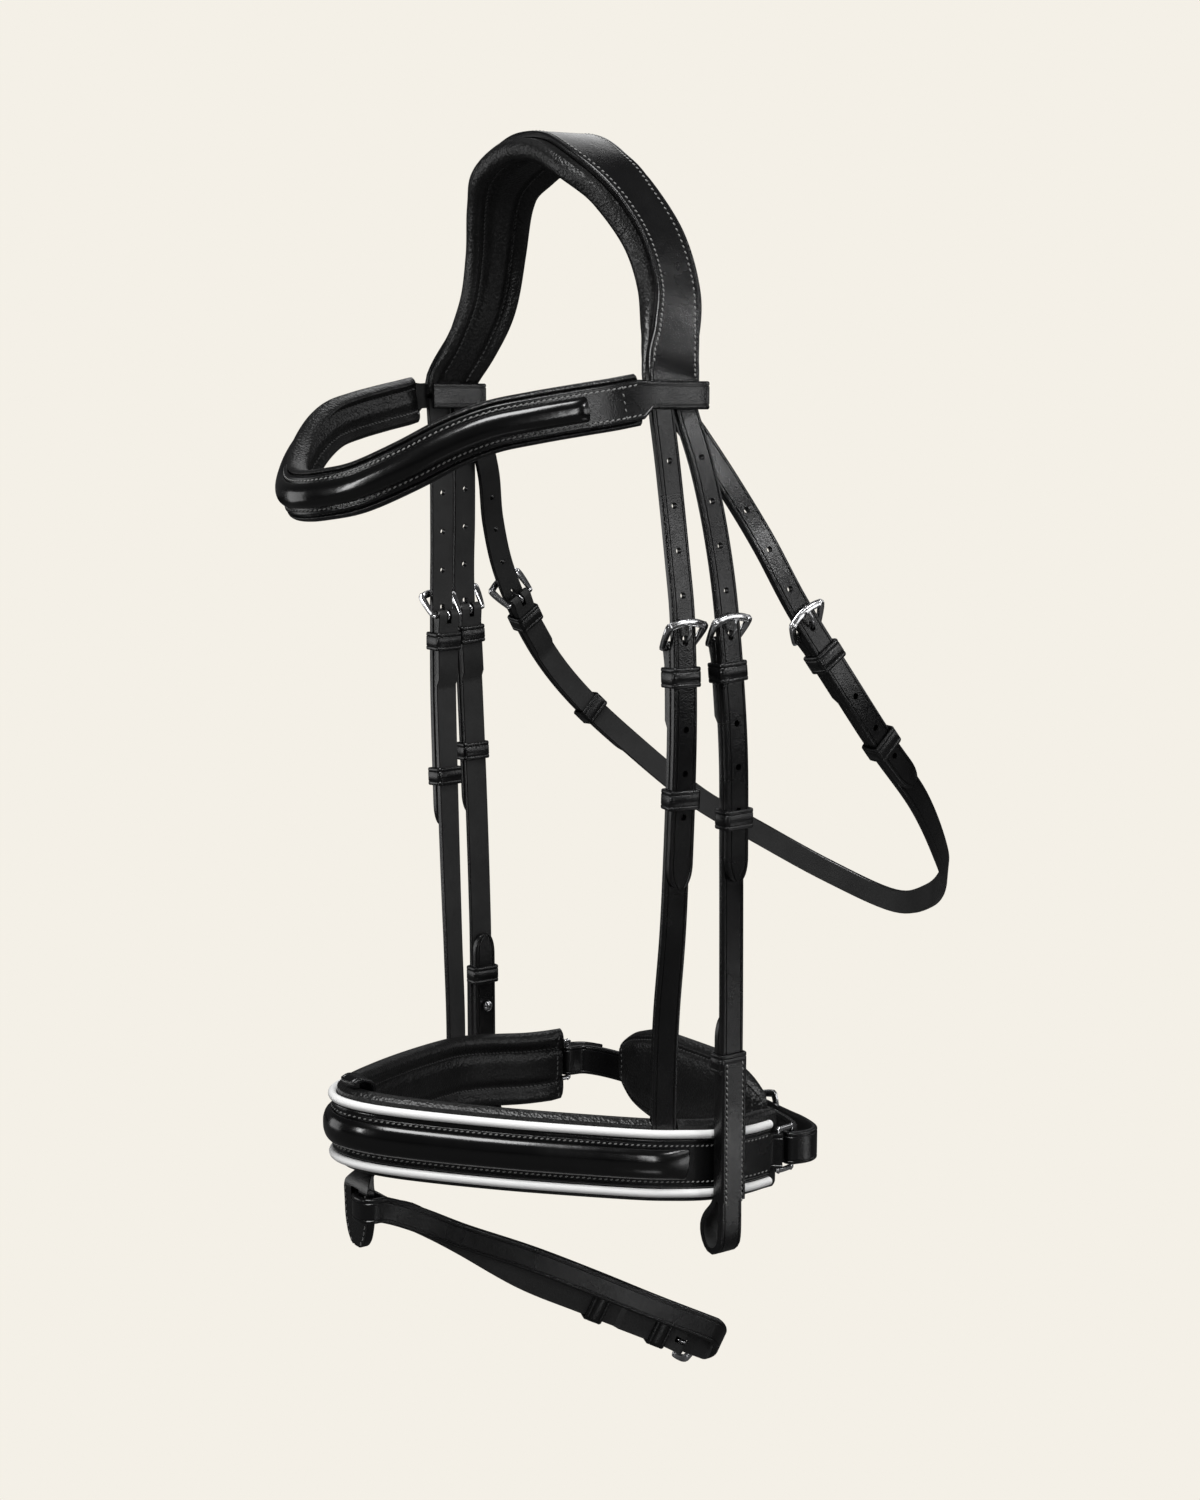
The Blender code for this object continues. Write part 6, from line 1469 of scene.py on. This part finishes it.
def noseband(route, hangers):
    """The outer band, its raised strip and piping, and the padding with its pockets."""
    middle = route.length / 2
    end = middle - CHAPE_LENGTH
    chape_half = CRANK_WIDTH / 2 + SWING_CLEARANCE - SEAT
    low, high = SEAT / 2, NOSEBAND_THICKNESS
    places = [end * share for share in np.linspace(-1.0, 1.0, BAND_STATIONS)]
    rings = strap_rings(route, [middle + s for s in places],
                        lambda s: (NOSEBAND_HEIGHT / 2, low, high))
    chape = ((end + SEAT * 2, low, high), (middle - RING_KNUCKLE * 2, low, high),
             (middle - RING_KNUCKLE, RING_STAND - RING_KNUCKLE + SEAT, RING_STAND + RING_KNUCKLE),
             (middle - RING_KNUCKLE * CHAPE_BLUNT, RING_STAND - RING_KNUCKLE / 2,
              RING_STAND + RING_KNUCKLE / 2))
    far, near = [[ring_at(route.frame(middle + sign * along),
                          flat_section(chape_half, max(under, low), over))
                  for along, under, over in chape] for sign in (-1, 1)]
    band = strap_loft("noseband_band", far[::-1] + rings + near)
    reach = chape_half + CUT_OVERRUN
    bore = circle(RING_BAR_RADIUS + SEAT, BORE_SIDES)
    cut(band, [prism(bore, side_turned(ring_frame(route, sign), 0.0, 0.0), -reach, reach)
               for sign in (NEAR, FAR)])

    def padding(s):
        fade = faded(middle - abs(s - middle), CHAPE_LENGTH, NOSEBAND_PAD_END_SHARE)
        return both_sides(PAD_BACK_SHARES, NOSEBAND_PAD_HEIGHT / 2, NOSEBAND_PAD_THICKNESS * fade,
                          -SEAT / 2)

    pad_rings = [ring_at(route.frame(middle + s), padding(middle + s))
                 for s in [-middle] + places + [middle]]
    pad = loft("noseband_padding", rounded_end(pad_rings), "lining_leather")
    cut(pad, [hanger_pocket(hanger) for hanger in hangers])
    raised_strip("noseband_raised_strip", route, places, middle - NOSEBAND_STRIP_END,
                 NOSEBAND_STRIP_WIDTH, NOSEBAND_STRIP_THICKNESS, NOSEBAND_STRIP_WIDTH,
                 high + SEAT)
    for name, where in (("upper", -1), ("lower", 1)):
        across = where * (NOSEBAND_HEIGHT / 2 + SEAT + PIPING_RADIUS)
        place = Vector((across, 0.0, max(high / 2, PIPING_RADIUS + SEAT / 2)))
        wire("noseband_" + name + "_piping", [route.frame(middle + s) @ place for s in places],
             PIPING_RADIUS, "piping_leather")
    stitch_rows("noseband_band", route, middle - end + STITCH_PITCH, middle + end - STITCH_PITCH,
                NOSEBAND_STITCH, lambda s: high, "pale_thread")
    channel = PAD_CHANNEL_SHARE * NOSEBAND_PAD_HEIGHT / 2
    stitch_rows("noseband_padding", route, SEAM_IN, route.length - SEAM_IN, channel,
                lambda s: surface_at(padding(s), channel), "dark_thread")
    for s in (SEAM_IN, route.length - SEAM_IN):
        section = padding(s)
        cross_seam("noseband_padding", route.frame(s), NOSEBAND_PAD_HEIGHT * SEAM_SHARE / 2,
                   lambda across: surface_at(section, across), "dark_thread")


def hanger_pocket(route):
    """The room in the padding for the end of a hanging strap."""
    outline = box_outline(STRAP_WIDTH / 2 + SEAT, -NOSEBAND_PAD_HEIGHT, SEAT)
    return prism(outline, route.frame(route.length), -SEAT * 1.5 - STRAP_THICKNESS, CUT_OVERRUN)


def ring_frame(route, sign):
    """Where a ring's front bar goes through the noseband's end; along is towards the back."""
    middle = route.length / 2
    frame = route.frame(middle + sign * (middle - RING_KNUCKLE), RING_STAND)
    if sign < 0:
        across, along, out = [frame.col[k].to_3d() for k in range(3)]
        return placed(across, -along, out, frame.translation)
    return frame


def noseband_rings(route):
    """The rectangular rings at the noseband's ends."""
    half = CRANK_WIDTH / 2 + SWING_CLEARANCE + RING_BAR_RADIUS
    corner = RING_BAR_RADIUS
    inner = half - corner
    back = RING_LENGTH - corner
    path = [(-inner, 0.0, 0.0), (inner, 0.0, 0.0), (half, corner, 0.0), (half, back, 0.0),
            (inner, RING_LENGTH, 0.0), (-inner, RING_LENGTH, 0.0), (-half, back, 0.0),
            (-half, corner, 0.0)]
    for side, sign in SIDES:
        planar_wire(side + "_noseband_ring", ring_frame(route, sign), path, RING_BAR_RADIUS)


def crank_line(route):
    """The crank strap's level line from its tip, round both rings, to its sewn far end."""
    bar = ring_frame(route, NEAR) @ Vector((0.0, RING_LENGTH, 0.0))
    wrap = RING_BAR_RADIUS + SWING_CLEARANCE + CRANK_THICKNESS / 2

    def loop(shares):
        return [(bar.x + across * wrap, bar.y + back * CHIN_REACH)
                for across, back in ((1.0, 0.0), *shares)]

    inner, outer = [], []
    for across, back, apart in CRANK_LINE_SHARES:
        x = across * (NOSEBAND_HALF_WIDTH - CRANK_INSET)
        inner.append((x, bar.y + back * CHIN_REACH))
        if apart:
            outer.append((x, bar.y + back * CHIN_REACH + apart * CRANK_SPACING))
    inner.append((bar.x - wrap, bar.y))
    turn = [(bar.x + wrap * cos(a), bar.y + wrap * sin(a)) for a in (-3 * pi / 4, -pi / 2, -pi / 4)]
    near = outer + loop(CRANK_LOOP_SHARES)[::-1] + turn[::-1] + inner[::-1]
    far = inner[1:] + turn + loop(CRANK_FAR_SHARES)
    points = [Vector((x, y, bar.z)) for x, y in near + [(-x, y) for x, y in far]]
    return Route(points, facing(points, lambda run: (-run.y, run.x, 0.0)))


def crank(route):
    """The crank strap with its buckle and keeper, and the chin pad inside it."""
    line = crank_line(route)
    half = CRANK_THICKNESS / 2
    upper = line.first(np.linspace(0.0, line.length, CRANK_BUCKLE_STEPS),
                       lambda frame: frame.translation.x > CRANK_BUCKLE)
    base = Route(*line.moved(upper + CRANK_WIDTH, 0.0, -half - SEAT / 2, CRANK_THICKNESS * 2))
    buckling = Buckling(base, base.length - upper, CRANK_WIDTH, CRANK_THICKNESS)
    bar = buckling.bar_place().x
    low = line.first(np.linspace(0.0, line.length, CRANK_RUN_STEPS),
                     lambda frame: frame.col[2].y < 0 and frame.translation.x < bar)
    knuckle = buckling.knuckle
    alongs, heights = zip(*CRANK_CHAPE_SHARES)
    chape = [low + along * knuckle for along in alongs]

    def sizes(s):
        raised = float(np.interp((s - low) / knuckle, alongs, heights))
        raised *= knuckle * 2 - CRANK_THICKNESS
        return tip_width(s, CRANK_WIDTH / 2), -half - raised, half

    places = sorted(crank_stations(line, chape) + chape)
    holes = buckling.hole_cutters(TIP_LENGTH, base.length - TAIL_PLAIN, HOLE_CUT_LOW)
    cut(strap_loft("crank_strap", strap_rings(line, places, sizes)),
        buckling.fold_cutters() + holes)
    buckling.steel_parts("crank")
    keeper("crank_keeper", base, buckling.hole + FIXED_KEEPER_BELOW, CRANK_WIDTH / 2,
           *buckling.over, SEAT)
    chin_pad(line)


def crank_stations(line, chape):
    """Places along the crank strap, closer together round the rings and clear of the chape's."""
    tip = [TIP_LENGTH * share for share in reversed(TIP_SHARES[1:])]
    places = [TIP_LENGTH]
    while places[-1] < line.length - CRANK_THICKNESS:
        s = places[-1]
        places.append(min(s + next_step(line, s, STRAP_STEP / 2, CRANK_THICKNESS / 2), line.length))
    low, high = chape[0] - CRANK_THICKNESS / 2, chape[-1] + CRANK_THICKNESS / 2
    return tip + [s for s in places if not low < s < high]


def chin_pad(line):
    """The cushion under the jaw, on the crank strap's inner run, with a seam inside its edge."""
    middle = line.first(np.linspace(line.length, 0.0, CRANK_RUN_STEPS),
                        lambda frame: frame.col[2].y < 0 and frame.translation.x > 0)
    base = CRANK_THICKNESS / 2 + SEAT * 2

    def place(share):
        tall = table_value(CHIN_PAD_SHARES, share) * CHIN_PAD_HEIGHT / 2
        deep = table_value(CHIN_PAD_CROWN_SHARES, share) * CHIN_PAD_THICKNESS
        frame = line.frame(middle + (share - 0.5) * CHIN_PAD_LENGTH)
        frame.translation.z += CHIN_PAD_RISE
        return frame, both_sides(CHIN_SECTION_SHARES, tall, deep, base), tall * CHIN_SEAM_SHARE

    rings = [ring_at(*place(share)[:2]) for share in np.linspace(0.0, 1.0, CHIN_STATIONS)]
    loft("chin_pad", rounded_end(rings), "lining_leather")
    inset = CHIN_SEAM_IN / CHIN_PAD_LENGTH
    for share in np.linspace(inset, 1.0 - inset, round(CHIN_PAD_LENGTH / STITCH_PITCH)):
        frame, section, seam = place(share)
        for across in (-seam, seam):
            stitch("chin_pad", frame, across, surface_at(section, across), "dark_thread")
    for share in (inset, 1.0 - inset):
        frame, section, seam = place(share)
        cross_seam("chin_pad", frame, seam, lambda across: surface_at(section, across),
                   "dark_thread")


def flash_loop(route):
    """The loop in front: a neck over the noseband's padding and a tab with a slot below it."""
    _, front, level = route.frame(route.length / 2).translation
    thick = FLASH_NECK_THICKNESS
    inner = front + (NOSEBAND_PAD_THICKNESS + FLASH_NECK_STAND + thick / 2)
    half_pad = NOSEBAND_PAD_HEIGHT / 2
    above = level + half_pad + thick
    tab_y = front + (inner - front) * FLASH_TAB_SET
    tip = level - FLASH_TAB_DROP
    slot = level - FLASH_SLOT_DROP
    tab_top = slot + FLASH_SLOT_HEIGHT / 2 + FLASH_TAB_THICKNESS
    back = Vector((0.0, 1.0, 0.0))
    down = Vector((0.0, 0.0, -1.0))
    points = [(front + thick, above + thick * 0.3), ((inner + front) / 2, above + thick),
              (inner - thick * 0.4, above - thick * 0.4), (inner, level + half_pad * 0.7),
              (inner, level), (inner, level - half_pad * 0.75),
              (inner - thick * 0.2, level - half_pad - thick),
              ((inner + tab_y) / 2, (tab_top + level - half_pad) / 2 - thick),
              (tab_y, tab_top - FLASH_TAB_THICKNESS), (tab_y, slot), (tab_y, tip)]
    faces = [-down, -down, back - down, back, back, back, back, back - down * 0.3, back, back, back]
    line = Route([(0.0, y, z) for y, z in points], faces)
    tab_length = tab_top - tip

    def halves(s):
        into = (line.length - s) / tab_length
        narrow = FLASH_NECK_WIDTH / 2, thick / 2
        broad = table_value(FLASH_TAB_SHARES, into) * FLASH_TAB_WIDTH / 2, FLASH_TAB_THICKNESS / 2
        share = min(1.0, max(0.0, (into - TAB_NECK_START) / TAB_NECK_LENGTH))
        return [wide + (slim - wide) * share for wide, slim in zip(broad, narrow)]

    rings = []
    for s in np.linspace(0.0, line.length, TAB_STATIONS):
        half, deep = halves(s)
        rings.append(ring_at(line.frame(s), flat_section(half, -deep, deep)))
    piece = loft("flash_loop", rounded_end(rings), "strap_leather")
    frame = placed(Vector((1.0, 0.0, 0.0)), -down, -back, Vector((0.0, tab_y, slot)))
    web = FLASH_SLOT_WIDTH * FLASH_WEB_SHARE
    half_slot = FLASH_SLOT_HEIGHT / 2
    outline = [(web - FLASH_SLOT_WIDTH, -half_slot), (web, -half_slot), (web, half_slot),
               (web - FLASH_SLOT_WIDTH, half_slot)]
    cut(piece, [prism(outline, frame, -FLASH_TAB_THICKNESS, FLASH_TAB_THICKNESS)])
    start = line.length - tab_length * TAB_STITCH_SHARE
    end = line.length - TAB_STITCH_END
    for s in np.linspace(start, end, round((end - start) / STITCH_PITCH)):
        half, deep = halves(s)
        for side in (-1, 1):
            across = side * (half - TAB_STITCH_IN)
            for out in (-deep, deep):
                stitch("flash_loop", line.frame(s), across, out, "pale_thread")
    return Vector((0.0, tab_y, slot))


def flash(slot):
    """The long strap through the flash loop, buckled into a ring of its own, with its keepers."""
    reach = Vector((FLASH_SIDE, FLASH_BACK, 0.0))
    aside = Vector((FLASH_BACK, -FLASH_SIDE, 0.0)).normalized()

    def place(along, apart, down):
        beside = aside * (apart * FLASH_OPEN)
        return slot + reach * along + beside - Vector((0.0, 0.0, down * FLASH_DROP))

    level = SEAT / 2 + FLASH_THICKNESS / 2
    inward = [place(*row) - aside * level for row in FLASH_REAR_SHARES]
    base = Route(inward, [-aside] * len(inward))
    hole = (FLASH_REAR_SHARES[0][0] - FLASH_HOLE_SHARE) * reach.length
    buckling = Buckling(base, hole, FLASH_WIDTH, FLASH_THICKNESS)
    start = hole + BAR_BELOW_HOLE
    fold = buckling.fold_places(start)
    rings = buckling.fold_rings(base.frame)
    rings += strap_rings(base, fold + stations(fold[-1], base.length - FLASH_WIDTH)[1:],
                         lambda s: (FLASH_WIDTH / 2, *buckling.fold_section(s - start)))
    path = flash_outer_route(slot, base, level, place)
    size = FLASH_WIDTH / 2, -FLASH_THICKNESS / 2, FLASH_THICKNESS / 2
    rings += strap_rings(path, turning_stations(path, FLASH_THICKNESS / 2)[1:], lambda s: size)
    rings += [ring_at(frame, flat_section(*size))
              for frame in turn_frames(path.frame(path.length), base.frame(0.0, level))]
    tail = hole + FLASH_TAIL
    rings += strap_rings(base, stations(0.0, tail, True),
                         lambda s: (tip_width(tail - s, FLASH_WIDTH / 2), *buckling.over))
    cut(strap_loft("flash_strap", rings),
        buckling.fold_cutters() + buckling.hole_cutters(0.0, tail - TAIL_PLAIN, HOLE_CUT_LOW))
    buckling.steel_parts("flash")
    buckling.keepers("flash", FLASH_FIXED_KEEPER, FLASH_SLIDER)


def flash_outer_route(slot, base, level, place):
    """From the inner run's end round the tab's web and out along the outer run."""
    points, faces = base.moved(base.length - FLASH_WIDTH, base.length, -level)
    web = FLASH_SLOT_WIDTH * FLASH_WEB_SHARE
    stand = FLASH_TAB_THICKNESS / 2 + FLASH_ROOM + FLASH_THICKNESS / 2
    for x, y, out_x, out_y, down in FLASH_WRAP_SHARES:
        points.append(slot + Vector((web + x * stand, y * stand, -down * FLASH_DROP)))
        faces.append(Vector((out_x, out_y, 0.0)).normalized())
    points += [place(*row) for row in FLASH_FORE_SHARES]
    faces += [-base.frame(0.0).col[2].to_3d()] * len(FLASH_FORE_SHARES)
    return Route(points, faces)


def turn_frames(first, last):
    """Frames of a strap that turns back on itself between two frames that face opposite ways."""
    across = last.col[0].to_3d()
    ahead = -last.col[1].to_3d()
    face = -last.col[2].to_3d()
    radius = (first.translation - last.translation).dot(face) / 2
    frames = []
    for step in range(1, TURN_STEPS):
        angle = pi * step / TURN_STEPS
        out = face * cos(angle) + ahead * sin(angle)
        centre = first.translation.lerp(last.translation, (1 - cos(angle)) / 2)
        centre += ahead * sin(angle) * radius
        frames.append(placed(across, out.cross(across), out, centre))
    return frames


def turning_stations(path, least):
    """Places along a strap, closer together where it turns."""
    places = [0.0]
    while places[-1] < path.length:
        s = places[-1]
        ahead = next_step(path, s, STRAP_STEP, least)
        places.append(path.length if path.length - s - ahead < least else s + ahead)
    return places


def dress():
    """Every visible piece of the bridle."""
    crown()
    browband()
    nose_route = noseband_route()
    nose = nose_line(nose_route)
    cheek = cheek_line(nose_route)
    hangers = []
    for side, sign in SIDES:
        hangers.append(nose_straps(side, sign, nose))
        cheek_straps(side, sign, cheek)
    throatlatch()
    noseband(nose_route, hangers)
    noseband_rings(nose_route)
    crank(nose_route)
    flash(flash_loop(nose_route))
    sew()


def stand_in():
    """Each look rides on its solid's body and stands for it."""
    for node, solid in frame["nodes"].items():
        look = bpy.data.objects[node + "_look"]
        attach(look, body_of(solid)[0])
        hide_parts(node)
    for side, _ in SIDES:
        sewn = bpy.data.objects[side + "_billet_keeper_look"]
        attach(sewn, body_of(frame["nodes"][side + "_cheek_strap"])[0])


def two_sided_light(owner, output, seen, unseen):
    """A shader and colour for what the camera sees, and others for what lights the object."""
    owner.use_nodes = True
    tree = owner.node_tree
    tree.nodes.clear()
    mix = tree.nodes.new("ShaderNodeMixShader")
    tree.links.new(tree.nodes.new("ShaderNodeLightPath").outputs["Is Camera Ray"], mix.inputs[0])
    for socket, (kind, colour) in ((1, unseen), (2, seen)):
        shader = tree.nodes.new(kind)
        shader.inputs["Color"].default_value = (*colour, 1.0)
        tree.links.new(shader.outputs[0], mix.inputs[socket])
    tree.links.new(mix.outputs[0], tree.nodes.new(output).inputs["Surface"])


def backdrop():
    """The room's soft light, and the photograph's plain ground behind and below."""
    bpy.context.scene.world = bpy.data.worlds.new("room")
    two_sided_light(bpy.context.scene.world, "ShaderNodeOutputWorld",
                    ("ShaderNodeBackground", BACKDROP), ("ShaderNodeBackground", ROOM_LIGHT))


def floor():
    """A plain pale floor below the bridle."""
    low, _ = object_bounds()
    half = FLOOR_SIZE / 2
    level = low.z - FLOOR_DROP
    corners = [(x * half, y * half, level) for x, y in ((-1, -1), (1, -1), (1, 1), (-1, 1))]
    made = mesh_object("floor", corners, [(0, 1, 2, 3)])
    ground = bpy.data.materials.new("floor")
    two_sided_light(ground, "ShaderNodeOutputMaterial", ("ShaderNodeEmission", BACKDROP),
                    ("ShaderNodeBsdfDiffuse", FLOOR_BOUNCE))
    made.data.materials.append(ground)
    made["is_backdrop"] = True


def lamps():
    """Soft rectangular lamps, each looking at a point."""
    for name, (place, target, size, power) in LAMPS.items():
        data = bpy.data.lights.new(name, "AREA")
        data.shape = "RECTANGLE"
        data.size, data.size_y = size
        data.energy = power
        made = bpy.data.objects.new(name, data)
        bpy.context.collection.objects.link(made)
        made.location = place
        made.rotation_euler = (Vector(target) - Vector(place)).to_track_quat("-Z", "Y").to_euler()


def camera():
    """The photograph's viewing angle."""
    data = bpy.data.cameras.new("camera")
    data.lens = CAMERA_LENS
    data.sensor_width = SENSOR
    data.sensor_fit = "AUTO"
    made = bpy.data.objects.new("camera", data)
    bpy.context.collection.objects.link(made)
    made.location = CAMERA_PLACE
    made.rotation_euler = (pi / 2 - CAMERA_PITCH, 0.0, CAMERA_AZIMUTH)
    bpy.context.scene.camera = made
    bpy.context.scene.view_settings.view_transform = "Standard"


for old in list(bpy.data.objects):
    bpy.data.objects.remove(old)
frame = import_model()
camera()
dress()
stand_in()
backdrop()
floor()
lamps()
